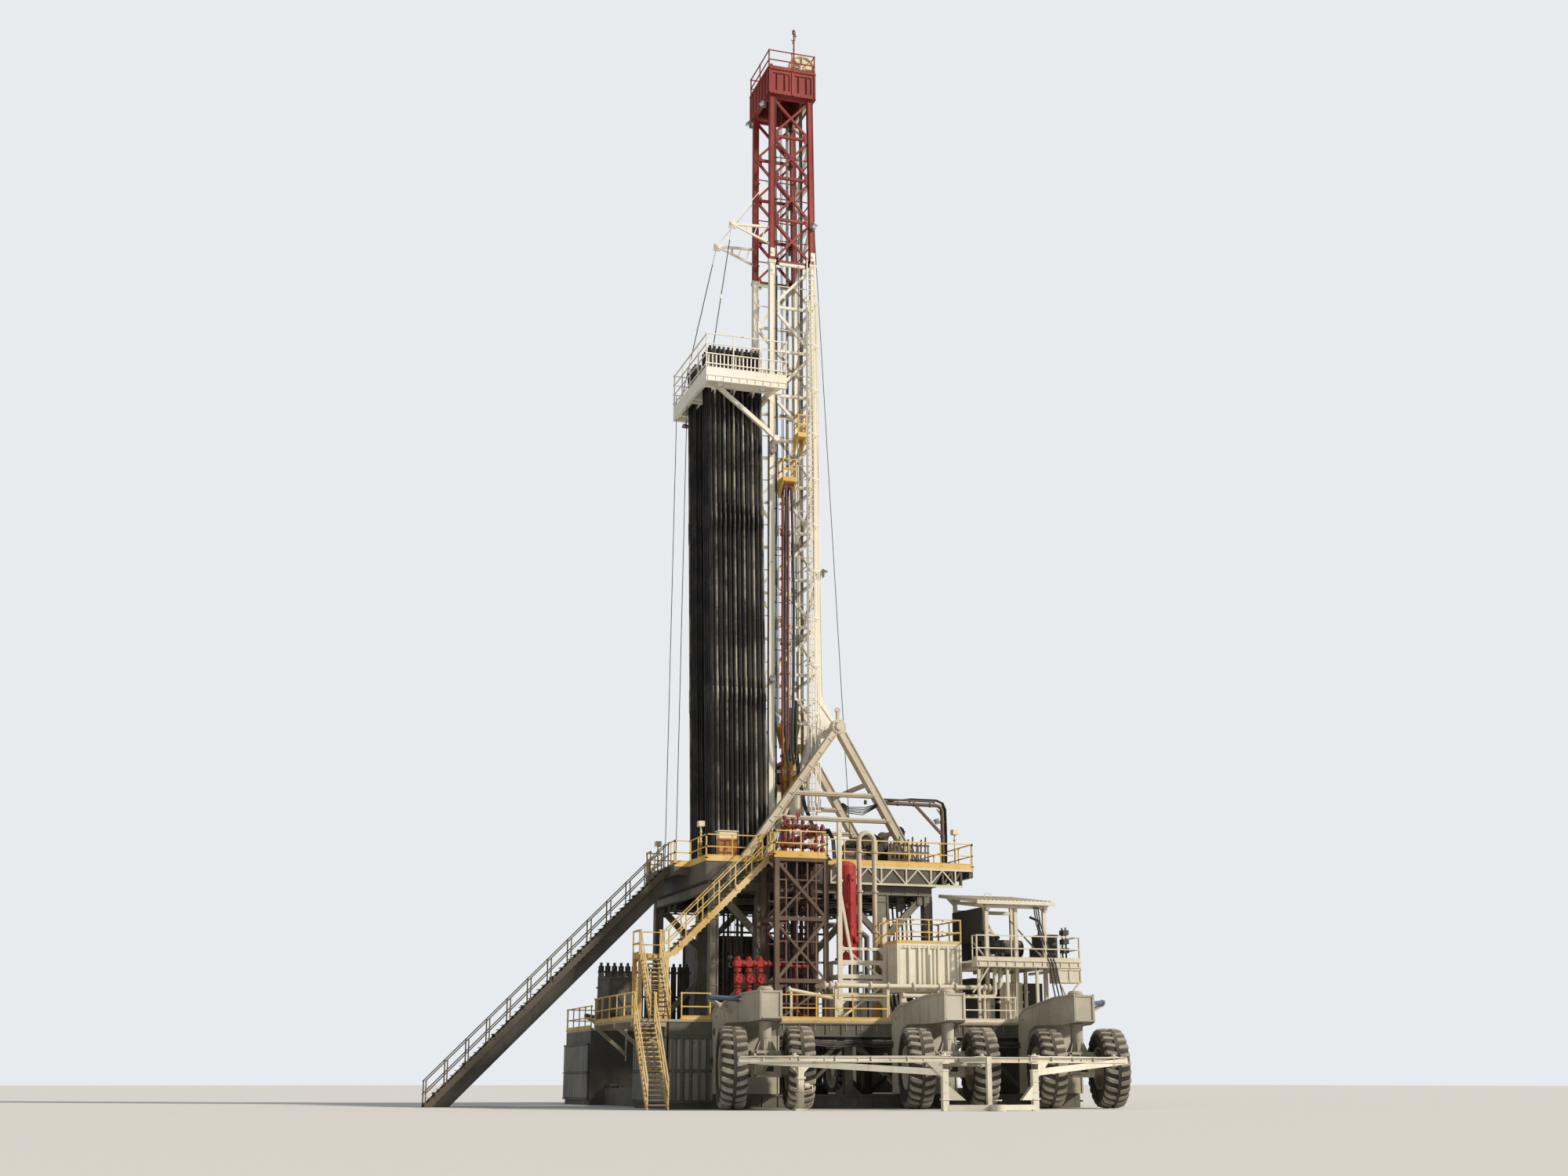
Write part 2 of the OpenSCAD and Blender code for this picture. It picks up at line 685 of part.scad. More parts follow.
// Top drive with its dolly, bails and elevator
module top_drive() {
    top = block_z;
    shoe = clearance;
    inner = guide_y - shoe;
    color("#c9952f") {
        block([-140, -90, top - 160], [140, 90, top]);
        translate([0, 0, top - 420]) cylinder(h = 260, d = 300);
        block([-220, -260, top - 900], [180, 260, top - 420]);
        translate([-60, 0, top - 1100]) cylinder(h = 200, d = 320);
        translate([-60, 0, drive_z + 80]) cylinder(h = top - 1100 - drive_z - 80, d = 110);
        for (s = [-1, 1]) {
            bar([-60, s * 150, top - 950], [-60, s * 150, drive_z + 60], 50);
            block([-100, min(s * 175, s * 60), drive_z], [-20, max(s * 175, s * 60), drive_z + 90]);
        }
        translate([-60, 0, drive_z]) cylinder(h = 90, d = 180);
        // Dolly frame and the shoes that grip the guide rails
        for (z = [top - 860, top - 200]) for (s = [-1, 1]) {
            block([60, min(0, s * inner), z], [130, max(0, s * inner), z + 100]);
            block([guide_x - shoe - 60, min(s * (inner - 60), s * (guide_y + guide_w - 5)), z - 60],
                [guide_x - shoe, max(s * (inner - 60), s * (guide_y + guide_w - 5)), z + 160]);
            block([guide_x - shoe, min(s * (inner - 60), s * inner), z - 60],
                [guide_x + guide_w + shoe, max(s * (inner - 60), s * inner), z + 160]);
            block([guide_x + guide_w + shoe, min(s * (inner - 60), s * (guide_y + guide_w - 5)), z - 60],
                [guide_x + guide_w + shoe + 50, max(s * (inner - 60), s * (guide_y + guide_w - 5)), z + 160]);
        }
    }
}

// Parts of the drilling line between the crown and the block
module drilling_lines() {
    low = block_sheave_d / 2 - groove + line_d / 2 + line_seat;
    high = sheave_d / 2 - groove + line_d / 2 + line_seat;
    color("#2b2a28") for (y = line_y) for (s = [-1, 1])
        rod([s * low, y, block_z + 500], [s * high, y, sheave_z], line_d);
}

// Fast line to the drum, and the winch lines from the board to the floor
module hoist_lines() {
    top = [fast_sheave_x + sheave_d * 0.45 - groove + line_d / 2 + line_seat, sheave_z + 60];
    drum_z = floor_z + 600;
    v = [drum_x - drum_r - line_d / 2 - 3 * line_seat - top[0], drum_z - top[1]];
    color("#2b2a28") {
        rod([top[0], 0, top[1]], [top[0] + v[0], 0, top[1] + v[1]], line_d);
        for (y = [400, 1450]) intersection() {
            rod([board_left + 50, y, board_z], [board_left - 80, y, floor_z - 100], line_d);
            block([-4000, 0, floor_z], [0, 2000, board_under]);
        }
    }
}

module a_frame_drawing() {
    tie = [7250, 6650];
    difference() {
        union() {
            strip(a_apex, a_foot + [59, -100], 190);
            strip(a_apex, a_toe - [66, 100], 160);
            translate(a_apex) circle(d = 380);
            for (z = tie) {
                f = (a_apex[1] - z) / (a_apex[1] - floor_z);
                strip([a_apex[0] + f * (a_toe[0] - a_apex[0]), z], [a_apex[0] + f * (a_foot[0] - a_apex[0]), z], 90);
            }
            translate([a_foot[0] - 250, floor_z]) square([500, 60]);
            translate([a_toe[0] - 200, floor_z]) square([400, 60]);
        }
        translate([-4000, floor_z - 400]) square([8000, 400]);
    }
}

// The two A-frames that hold the mast's knees
module a_frames() {
    color("#b9ab8c") both_sides() {
        wall_x(-a_out, -a_in) a_frame_drawing();
        translate([a_apex[0], -mast_out, a_apex[1]]) rotate([90, 0, 0]) cylinder(h = a_in - mast_out, d = 200);
    }
}

finger_w = 40;

// Racking board: walkways, diving board and fingers, hung on the mast's front legs
module racking_board() {
    walk_in = board_half - board_walk;
    left_w = 225;
    color("#ece5d3") {
        for (s = [-1, 1]) {
            block([board_left, min(s * walk_in, s * board_half), board_z - 60],
                [board_right, max(s * walk_in, s * board_half), board_z]);
            for (y = [walk_in, board_half - 80]) block([board_left, min(s * y, s * (y + 80)), board_under],
                [board_right, max(s * y, s * (y + 80)), board_z - 60]);
            for (i = [0:pipe_columns]) {
                x = pipe_first + (i - 0.5) * pipe_pitch;
                block([x - finger_w / 2, min(s * 280, s * walk_in), board_z - 60],
                    [x + finger_w / 2, max(s * 280, s * walk_in), board_z]);
            }
        }
        block([board_left, -board_half, board_z - 60], [board_left + left_w, board_half, board_z]);
        block([board_left, -board_half, board_under], [board_left + 80, board_half, board_z - 60]);
        block([board_left + left_w, -170, board_z - 60], [front_face, 170, board_z]);
        block([front_face - 100, -board_half, board_under], [front_face, board_half, board_z - 60]);
        block([board_left, -170, board_under], [front_face, -110, board_z - 60]);
        block([board_left, 110, board_under], [front_face, 170, board_z - 60]);
    }
}

module racking_rails() {
    e = rail_w / 2;
    h = board_rail_h;
    color("#efe9da") {
        for (s = [-1, 1]) rail_x(board_left, board_right, s * (board_half - e), board_z, h, 4, 150);
        rail_y(-board_half, board_half, board_left + e, board_z, h, 4, 150);
        for (s = [-1, 1]) rail_y(min(s * (board_half - board_walk), s * board_half),
            max(s * (board_half - board_walk), s * board_half), board_right - e, board_z, h, 4, 150);
    }
}

tip = [-1750, 22120];
strut_y = board_half - board_walk + 40;

// Struts below the board, the outriggers above it and the stays that hang from them
module board_struts() {
    color("#e9e2cf") both_sides() {
        intersection() {
            bar([board_left + 250, -strut_y, board_z - 40], [mast_front, -strut_y, board_z - 1400], 100);
            block([-4000, -2000, board_z - 2500], [mast_front, 0, board_under]);
        }
        block([mast_front - 55, -strut_y - 55, board_z - 1460], [mast_front + 55, -mast_out, board_z - 1350]);
        intersection() {
            union() {
                bar([front_face + 60, -mast_y, tip[1] + 60], [tip[0], -mast_y, tip[1]], 60);
                bar([front_face + 60, -mast_y, tip[1] - 420], [tip[0], -mast_y, tip[1]], 50);
                block([tip[0] + 400, -mast_y - 20, tip[1] - 200], [tip[0] + 450, -mast_y + 20, tip[1] + 10]);
                block([tip[0] - 75, -mast_y - 45, tip[1] - 75], [tip[0] + 75, -mast_y + 45, tip[1] + 75]);
                bar([front_face + 60, -mast_y, 23600], [tip[0], -mast_y, tip[1] + 20], line_d);
            }
            block([-4000, -2000, 20000], [front_face, 0, 26000]);
        }
        intersection() {
            bar([tip[0], -mast_y, tip[1] + 20], [board_left + 90, -board_half + 110, board_z - 100], line_d);
            block([-4000, -2000, board_z], [front_face, 0, 26000]);
        }
    }
}

// Stands of drill pipe, set back on the floor and leaning in the fingers
module drill_pipe_stands() {
    walk_in = board_half - board_walk;
    step = (walk_in - 100 - 370) / (pipe_rows - 1);
    rise = board_z + pipe_above - floor_z;
    color("#2f2a26") for (s = [-1, 1]) for (i = [0:pipe_columns - 1]) for (j = [0:pipe_rows - 1])
        translate([pipe_first + i * pipe_pitch + lean_shift, s * (370 + j * step), floor_z + pipe_d / 2 * sin(pipe_lean)])
            rotate([0, -pipe_lean, 0]) cylinder(h = rise, d = pipe_d);
}

// Drawworks: drum on a skid, with its motors and gear case
module drawworks() {
    z = floor_z;
    drum_z = z + 600;
    color("#1f1f1e") {
        block([drum_x - 420, -950, z], [3150, 950, z + 120]);
        for (y = [-620, 560]) wall_x(y, y + 60) hull() {
            translate([drum_x, drum_z]) circle(r = 330);
            translate([drum_x - 400, z + 100]) square([800, 40]);
        }
        translate([drum_x, 620, drum_z]) rotate([90, 0, 0]) cylinder(h = 1240, r = 120);
        translate([drum_x, 420, drum_z]) rotate([90, 0, 0]) cylinder(h = 840, r = drum_r);
        for (y = [-420, 470]) translate([drum_x, y, drum_z]) rotate([90, 0, 0]) cylinder(h = 50, r = drum_r + 120);
        for (y = [-560, 560]) {
            block([2420, y - 240, z + 120], [3050, y + 240, z + 320]);
            translate([2430, y, z + 520]) rotate([0, 90, 0]) cylinder(h = 560, d = 460);
            translate([2700, y, z + 700]) cylinder(h = 360, d = 280);
            translate([2700, y, z + 1060]) sphere(d = 280);
        }
        block([2350, -950, z + 120], [2420, 950, z + 620]);
    }
}

// Tool cabinet, light poles and the winch on the floor
module floor_equipment() {
    z = floor_z;
    x = floor_left + 350;
    y = -floor_half + 150;
    pole_x = floor_right - 300;
    color("#b5642f") block([x, y, z], [x + 420, y + 250, z + 480]);
    color("#cfc5aa") block([x, y, z + 480], [x + 420, y + 250, z + 640]);
    color("#3b3a36") for (p = [[floor_left + 80, -2000], [floor_left + 80, 2000], [pole_x, -2400], [pole_x, 2400]]) {
        translate([p[0], p[1], z]) cylinder(h = 800, d = 40);
        block([p[0] - 70, p[1] - 90, z + 800], [p[0] + 70, p[1] + 90, z + 920]);
    }
}

// Round-cornered pipe that leads from the A-frame to the floor
module pipe_portal() {
    y = -(a_in + a_out) / 2;
    d = 90;
    z = 7100;
    x = 3550;
    r = 160;
    f = (a_apex[1] - z) / (a_apex[1] - floor_z);
    start = a_apex[0] + f * (a_foot[0] - a_apex[0]);
    color("#5f4b3a") difference() {
        union() {
            translate([start, y, z]) rotate([0, 90, 0]) cylinder(h = x - r - start, d = d);
            translate([x - r, y, z - r]) rotate([90, 0, 0]) rotate_extrude(angle = 90)
                translate([r, 0]) circle(d = d);
            translate([x, y, floor_z]) cylinder(h = z - r - floor_z, d = d);
            translate([x, y, floor_z]) cylinder(h = 30, d = 180);
            bar([x - 720, y, z], [x, y, z - 720], 60);
        }
        // Mitred flush against the leg of the A-frame
        wall_x(-a_out - 1, -a_in + 1) strip(a_apex, a_foot + [59, -100], 190);
    }
}

// Brown trestle and platform beside the head of the stair
module manifold_tower() {
    top = floor_z - floor_t;
    low = deck_z;
    w = 90;
    x0 = deck_left + w / 2 + 30;
    x1 = deck_right - w / 2;
    back = -floor_half - 150;
    color("#6d4f3c") {
        block([deck_left, deck_near, top], [deck_right, -floor_half, floor_z]);
        wall_x(deck_near, deck_near + w) {
            for (x = [x0, x1]) translate([x - w / 2, low]) square([w, top - low]);
            for (z = [top - w, 4000, 2650]) translate([x0, z]) square([x1 - x0, w]);
            strip([x0, top - 100], [x1, 4060], 70);
            strip([x1, 4040], [x0, 2720], 70);
        }
        for (x = [x0, x1]) {
            wall_y(x - w / 2, x + w / 2) {
                translate([back, low]) square([w, top - low]);
                for (z = [top - w, 4000, 2650]) translate([deck_near + 10, z]) square([back - deck_near, w]);
            }
        }
    }
}

sep_x = 170;
sep_y = deck_near + 200;
sep_d = 450;
sep_low = 3150;

// Red gas separator with its looped vent pipe
module gas_separator() {
    d = 110;
    a = 315 + 60;
    b = 680 + 60;
    r = (b - a) / 2;
    color("#a32822") {
        translate([sep_x, sep_y, sep_low]) cylinder(h = 60, d = sep_d + 80);
        translate([sep_x, sep_y, sep_low + 60]) cylinder(h = 2060, d = sep_d);
        translate([sep_x, sep_y, sep_low + 2120]) cylinder(h = 70, d1 = sep_d, d2 = sep_d - 120);
        translate([sep_x, sep_y - sep_d / 2 - 60, sep_low + 200]) cylinder(h = 1700, d = 60);
        for (z = [230, 1800]) translate([sep_x, sep_y - sep_d / 2 - 60, sep_low + z]) rotate([-90, 0, 0])
            cylinder(h = 120, d = 60);
    }
    color("#c9bd9f") {
        for (x = [a, b]) translate([sep_x - 170 + x + 110, sep_y, sep_low]) cylinder(h = 2700, d = d);
        translate([sep_x - 170 + a + r + 110, sep_y, sep_low + 2700]) rotate([90, 0, 0]) rotate_extrude(angle = 180)
            translate([r, 0]) circle(d = d);
    }
}

// Frame that carries the separator above the lower deck
module separator_frame() {
    w = 90;
    x0 = sep_x - 330;
    x1 = sep_x + 800;
    y0 = sep_y - 400;
    y1 = sep_y + 330;
    low = deck_z;
    color("#c4b899") {
        for (x = [x0, x1 - w]) for (y = [y0, y1 - w]) block([x, y, low], [x + w, y + w, sep_low - 60]);
        block([x0, y0, sep_low - 60], [x1, y1, sep_low]);
        for (z = [2350, 2750]) {
            for (y = [y0, y1 - w]) block([x0, y, z], [x1, y + w, z + w]);
            for (x = [x0, x1 - w]) block([x, y0, z], [x + w, y1, z + w]);
        }
        block([x0, y0, sep_low], [x0 + w, y0 + w, 6200]);
        wall_x(y0 + 10, y0 + w - 10) strip([x0 + 45, 4700], [x0 + 330, sep_low - 30], 60);
        block([x0, y0 + w, 5200], [x0 + w, -floor_half - 350, 5290]);
    }
}

// Choke manifold: red header with valve legs
module choke_manifold() {
    y = near + 1400;
    z = 3050;
    x0 = -2450;
    x1 = -1680;
    legs = [x0 + 50, -2150, -1900];
    color("#a5201c") {
        translate([x0, y, z]) rotate([0, 90, 0]) cylinder(h = x1 - x0, d = 100);
        translate([x0, y, z]) sphere(d = 130);
        for (x = legs) {
            translate([x, y, deck_z]) cylinder(h = z - deck_z, d = 62);
            translate([x, y, z - 430]) cylinder(h = 200, d = 150);
            translate([x, y, z - 180]) cylinder(h = 60, d = 150);
            translate([x, y - 60, z - 330]) rotate([90, 0, 0]) cylinder(h = 100, d = 50);
            translate([x, y - 160, z - 330]) rotate([90, 0, 0]) cylinder(h = 16, d = 160);
            translate([x, y, deck_z]) cylinder(h = 30, d = 160);
        }
        translate([x0 + 50, y, deck_z + 500]) rotate([0, 90, 0]) cylinder(h = 550, d = 62);
    }
}

// Long beige pipe along the lower deck, with its feet and its turned-up end
module flow_line() {
    y = near + 360;
    z = 2560;
    d = 100;
    x0 = -750;
    x1 = 3250;
    r = 130;
    color("#cfc4a6") {
        translate([x0, y, z]) rotate([0, 90, 0]) cylinder(h = x1 - x0, d = d);
        translate([x0, y, z]) sphere(d = d);
        translate([x0, y, z]) rotate([-90, 0, 0]) cylinder(h = 520, d = d);
        translate([x1, y, z + r]) rotate([90, 0, 0]) rotate_extrude(angle = -90) translate([r, 0]) circle(d = d);
        translate([x1 + r, y, z + r]) cylinder(h = shelter_deck_z - 155 - z - r, d = d);
        for (x = [-500, 700, 1900, 2980]) {
            translate([x - 30, y - 30, deck_z]) cube([60, 60, z - deck_z]);
            translate([x, y, z]) rotate([0, 90, 0]) cylinder(h = 30, d = 160);
        }
    }
}

// Cream tank with ribbed sides and a railed top
module ribbed_tank() {
    x0 = 1020;
    x1 = 2470;
    y0 = near + 520;
    y1 = near + 1750;
    z0 = 2450;
    z1 = 3450;
    rib = 45;
    e = rail_w / 2;
    color("#ded5bd") {
        block([x0, y0, z0], [x1, y1, z1]);
        for (x = [x0:230:x1 - rib]) {
            block([x, y0 - rib, z0], [x + rib, y0, z1]);
            block([x, y1, z0], [x + rib, y1 + rib, z1]);
        }
        for (y = [y0:250:y1 - rib]) for (x = [x0 - rib, x1]) block([x, y, z0], [x + rib, y + rib, z1]);
        block([x0 - rib, y0 - rib, z1], [x1 + rib, y1 + rib, z1 + 40]);
        for (x = [x0 + 60, x1 - 180]) for (y = [y0, y1 - 120]) block([x, y, deck_z], [x + 120, y + 120, z0]);
    }
    color("#d9a53c") {
        for (y = [y0 - rib + e, y1 + rib - e]) rail_x(x0 - rib, x1 + rib, y, z1 + 40);
        for (x = [x0 - rib + e, x1 + rib - e]) rail_y(y0 - rib, y1 + rib, x, z1 + 40);
    }
}

shelter_x = [3080, 3790, 4500];
shelter_y = [near + 420, near + 2250];
shelter_deck_z = 3150;

// Posts and sloping roof of the engine shelter
module shelter_frame() {
    w = 80;
    front = 4420;
    rear = 4720;
    color("#a49a7d") {
        for (x = shelter_x) {
            block([x, shelter_y[0], deck_z], [x + w, shelter_y[0] + w, front + 40]);
            block([x, shelter_y[1] - w, deck_z], [x + w, shelter_y[1], front + 290]);
        }
        wall_y(shelter_x[0] - 230, shelter_x[2] + w + 120) polygon([[shelter_y[0] - 120, front],
            [shelter_y[0] - 120, front + 60], [shelter_y[1] + 300, rear + 60], [shelter_y[1] + 300, rear]]);
        for (y = [shelter_y[0] + 10, shelter_y[1] - w + 10]) block([shelter_x[0], y, front - 90],
            [shelter_x[2] + w, y + 60, front - 10]);
    }
}

// Railed decks inside and beside the shelter
module shelter_deck() {
    e = rail_w / 2;
    z = shelter_deck_z;
    out = shelter_y[0] - 40;
    left = 2700;
    right = 5230;
    color("#c9bd9f") difference() {
        block([left, out - 300, z - 150], [right, shelter_y[1] - 150, z]);
        for (x = shelter_x) block([x, shelter_y[0], z - 200], [x + 80, shelter_y[0] + 80, z + 50]);
        block([left - 10, out, z - 200], [shelter_x[0] - 60, 0, z + 50]);
        block([shelter_x[2] + 140, out + 700, z - 200], [right + 10, 0, z + 50]);
    }
    color("#dcae5a") {
        rail_x(left, right, out - 300 + e, z);
        rail_y(out - 300, out + 700, right - e, z);
        rail_y(out - 300, out, left + e, z);
    }
    // Braced box under the right end
    color("#c9bd9f") block([shelter_x[2] + 140, out - 300, z - 470], [right, out + 100, z - 150]);
    // Posts to the lower deck
    color("#c9bd9f") for (x = [left + 40, 3430, 4150]) block([x, out - 260, deck_z], [x + 60, out - 200, z - 150]);
}

// Engine and pump on the shelter's deck, and the hopper below it
module shelter_machinery() {
    z = shelter_deck_z;
    y = near + 1300;
    color("#2e2c28") {
        block([3250, y - 250, z], [4350, y + 300, z + 120]);
        block([3300, y - 170, z + 120], [3850, y + 200, z + 520]);
        translate([3850, y, z + 340]) rotate([0, 90, 0]) cylinder(h = 480, d = 380);
        for (x = [3380, 3560, 3740]) translate([x, y, z + 520]) cylinder(h = 130, d = 110);
    }
    color("#d8cfb6") translate([0, 0, deck_z]) block([3500, y - 600, 0], [4050, y + 100, 900]);
}

// Cabinet and reel at the left end of the lower deck
module deck_cabinet() {
    color("#3a3833") {
        block([ext_left + 90, ext_back - 1000, deck_z], [base_left - 60, ext_back - 150, deck_z + 950]);
        translate([ext_left + 350, ext_back - 1000, deck_z + 420]) rotate([90, 0, 0]) cylinder(h = 60, d = 560);
    }
}

// Number of steps in a flight
function step_count(rise) = round(rise / step_rise);

// Treads of a flight that runs down along +X from its head at the origin
module flight_treads(run, rise) {
    n = step_count(rise);
    for (i = [1:n - 1]) block([run * i / n - 25, -stair_w / 2 + 25, -rise * i / n - 15],
        [run * i / n + 100, stair_w / 2 - 25, -rise * i / n]);
}

// Side of a flight: stringer, posts and rails in one flat frame
module flight_side_drawing(run, rise, posts) {
    deep = 150;
    up = 30;
    polygon([[0, up], [0, -deep], [run * (rise - deep) / rise, -rise], [run, -rise], [run, up - rise]]);
    for (k = [0.5, 1]) strip([0, rail_h * k], [run, rail_h * k - rise], rail_w);
    for (i = [0:posts]) {
        u = 15 + i * (run - 50) / posts;
        translate([u, -rise * u / run]) square([rail_w, rail_h]);
    }
}

module flight_sides(run, rise, posts) {
    for (s = [-1, 1]) wall_x(s > 0 ? stair_w / 2 - 25 : -stair_w / 2, s > 0 ? stair_w / 2 : -stair_w / 2 + 25)
        flight_side_drawing(run, rise, posts);
}

landing_z = 3200;
landing_x0 = second_x - 20;
landing_x1 = -3900;
landing_y0 = stair_y - 320;
landing_y1 = stair_y + 300;
ramp_top = floor_z - 300;
ramp_half = 450;

// Places what it is given at the head of each flight, with its run and rise
module upper_flight() translate([deck_left, stair_y, floor_z]) rotate(180) children();
module middle_flight() translate([second_x + stair_w / 2, landing_y0, landing_z]) rotate(-90) children();
module lower_flight() translate([third_x + stair_w / 2, third_y, deck_z]) rotate(-90) children();
module ramp_flight() translate([porch_left, -ramp_half - stair_w / 2 - 10, floor_z]) rotate(180) children();

upper_run = deck_left - landing_x1;
upper_rise = floor_z - landing_z;
middle_run = 980;
middle_rise = landing_z - deck_z;
lower_run = 1260;
ramp_run = floor_z;

module stair_treads() {
    color("#8f8357") {
        upper_flight() flight_treads(upper_run, upper_rise);
        middle_flight() flight_treads(middle_run, middle_rise);
        lower_flight() flight_treads(lower_run, deck_z);
        ramp_flight() flight_treads(ramp_run, floor_z);
    }
}

module stair_sides() {
    color("#d7b36a") {
        upper_flight() flight_sides(upper_run, upper_rise, 6);
        middle_flight() flight_sides(middle_run, middle_rise, 3);
        lower_flight() flight_sides(lower_run, deck_z, 3);
        ramp_flight() flight_sides(ramp_run, floor_z, 12);
    }
}

// Landing between the upper and the middle flight, on its four posts
module stair_landing() {
    w = 80;
    e = rail_w / 2;
    color("#a98b52") {
        block([landing_x0, landing_y0, landing_z - 60], [landing_x1, landing_y1, landing_z]);
        for (x = [landing_x0, landing_x1 - w]) for (y = [landing_y0 + 10, landing_y1 - w])
            block([x, y, deck_z], [x + w, y + w, landing_z - 60]);
        rail_y(landing_y0, landing_y1, landing_x0 + e, landing_z);
        rail_x(landing_x0, landing_x1, landing_y1 - e, landing_z);
        rail_x(second_x + stair_w + 15, landing_x1, landing_y0 + e, landing_z);
        wall_y(landing_x0, landing_x0 + 60) strip([landing_y0 + 50, deck_z + 100], [landing_y1 - 40, landing_z - 90], 50);
    }
}

// Trough that pipe is dragged up, from the ground to the porch
module pipe_ramp() {
    side = 150;
    depth = 220;
    foot = porch_left - ramp_top;
    color("#44423c") {
        wall_x(-ramp_half, ramp_half) polygon([[porch_left, ramp_top], [foot, 0], [foot + depth * 1.414, 0],
            [porch_left, ramp_top - depth * 1.414]]);
        for (s = [-1, 1]) wall_x(s > 0 ? ramp_half - 60 : -ramp_half, s > 0 ? ramp_half : -ramp_half + 60)
            polygon([[porch_left, ramp_top], [porch_left, ramp_top + side], [foot - side, 0], [foot, 0]]);
    }
}

// Plan and side outlines of a gooseneck arm, in the frame of its kingpin
module arm_solid() {
    back = kingpin_y - base_out;
    tip_y = -400;
    root = 715;
    nose = 215;
    arch = back - 300;
    intersection() {
        wall_y(-root, root) difference() {
            polygon([[back, 300], [back, 1750], [back - 60, 1960], [back - 230, 2090], [200, arm_top - 30],
                [tip_y, arm_top], [tip_y, arm_under + 40], [0, arm_under], [arch - 260, arm_under],
                [arch - 90, arm_under - 90], [arch, arm_under - 260], [arch, 300]]);
            translate([back - 150, 1850]) circle(d = 60);
        }
        linear_extrude(arm_top + 10) polygon([[-root, back], [root, back], [nose, tip_y], [-nose, tip_y]]);
    }
}

// Sets a near or far bogie's frame at its kingpin, facing away from the rig
module at_kingpin(x, side) {
    if (side < 0) translate([x, -kingpin_y, 0]) children();
    else translate([x, kingpin_y, 0]) rotate(180) children();
}

module wheel_arms() {
    color("#a69d84") for (side = [-1, 1]) for (x = KINGPINS) at_kingpin(x, side) {
        arm_solid();
        translate([0, 0, arm_top - 60]) cylinder(h = 110, d = 330);
        translate([0, 0, arm_top + 50]) cylinder(h = 50, d1 = 330, d2 = 220);
    }
}

function steer_of(side) = side < 0 ? -steer : 0;

// Cast yoke below an arm, with the axle of its two wheels
module yoke_solid(nosed) {
    half = tyre_pitch / 2 - tyre_w / 2 - 40;
    z = tyre_r;
    translate([0, 0, z + 300]) cylinder(h = arm_under - z - 300, d = 260);
    block([-half + 60, -240, z - 190], [half - 60, 240, z + 330]);
    reach = tyre_pitch / 2 + hub_half + clearance;
    translate([-reach, 0, z]) rotate([0, 90, 0]) cylinder(h = 2 * reach, d = axle_d);
    for (s = [-1, 1]) {
        translate([s > 0 ? reach : -reach - 40, 0, z]) rotate([0, 90, 0]) cylinder(h = 40, d = 260);
        translate([s > 0 ? 200 : -tyre_pitch / 2 + hub_half + clearance, 0, z]) rotate([0, 90, 0])
            cylinder(h = tyre_pitch / 2 - hub_half - clearance - 200, d = 300);
    }
    if (nosed) {
        translate([0, 0, 860]) linear_extrude(60) polygon([[-half + 60, -200], [half - 60, -200],
            [130, -nose_reach], [90, -nose_reach - 130], [-90, -nose_reach - 130], [-130, -nose_reach]]);
    }
}

axle_d = 180;
axle_fit = 0.05;
hub_half = 150;

module steering_yokes() {
    color("#c8bea3") for (side = [-1, 1]) for (x = KINGPINS) at_kingpin(x, side)
        rotate(steer_of(side)) yoke_solid(side < 0);
}

tow_z = 920;
eye_bore = 130;

// Tow frame pinned to the noses of the near bogies
module tow_frame() {
    w = 110;
    x0 = KINGPINS[0] - 900;
    x1 = KINGPINS[2] + 505;
    eye = [1100, -kingpin_y - 3020];
    drop_y = eye[1] + 370;
    strut_end = eye[1] + 420;
    low = 65;
    jack_x = KINGPINS[0] + 360;
    color("#cdc4aa") difference() {
        union() {
            // Rear beam along the noses
            block([x0, tow_y - w / 2, tow_z], [x1, tow_y + w / 2, tow_z + 110]);
            // Front beams that come together toward the eye
            for (s = [[x0, eye[0] - 950], [x1, eye[0] + 950]]) {
                bar([s[0], tow_y, tow_z + 40], [s[1], drop_y, 720], 120);
                block([s[1] - 60, drop_y - 60, 0], [s[1] + 60, drop_y + 60, 780]);
                bar([s[1], drop_y, low], [eye[0], eye[1] + 60, low], 100);
            }
            // Middle strut with its leg
            bar([eye[0], tow_y, tow_z + 50], [eye[0], strut_end, tow_z + 50], 90);
            block([eye[0] - 45, strut_end - 45, 0], [eye[0] + 45, strut_end + 45, tow_z + 95]);
            bar([eye[0], strut_end, low], [eye[0], eye[1] + 60, low], 80);
            translate([eye[0], eye[1], 0]) cylinder(h = 120, d = 300);
            // Jack leg near the first bogie
            block([jack_x - 60, tow_y - 60, 0], [jack_x + 60, tow_y + 60, tow_z]);
            block([jack_x - 120, tow_y - 120, 0], [jack_x + 120, tow_y + 120, 40]);
        }
        translate([eye[0], eye[1], -1]) cylinder(h = 122, d = eye_bore);
    }
}

rim_d = 860;

// Tyre and rim, turned about the axle along X
module wheel_solid() {
    w = tyre_w / 2;
    r = tyre_r;
    rotate([0, 90, 0]) rotate_extrude($fn = 48) polygon([[rim_d / 2, -w + 60], [rim_d / 2 + 60, -w + 20],
        [r - 190, -w], [r - 60, -w + 15], [r, -w + 70], [r, w - 70], [r - 60, w - 15], [r - 190, w],
        [rim_d / 2 + 60, w - 20], [rim_d / 2, w - 60]]);
}

module rim_solid() {
    w = tyre_w / 2;
    hub = axle_d / 2 + axle_fit;
    rotate([0, 90, 0]) rotate_extrude($fn = 48) polygon([[hub, -hub_half], [200, -hub_half], [220, -20], [rim_d / 2 - 40, -20],
        [rim_d / 2 - 40, -w + 60], [rim_d / 2, -w + 60], [rim_d / 2, w - 60], [rim_d / 2 - 40, w - 60],
        [rim_d / 2 - 40, 20], [220, 20], [200, hub_half], [hub, hub_half]]);
}

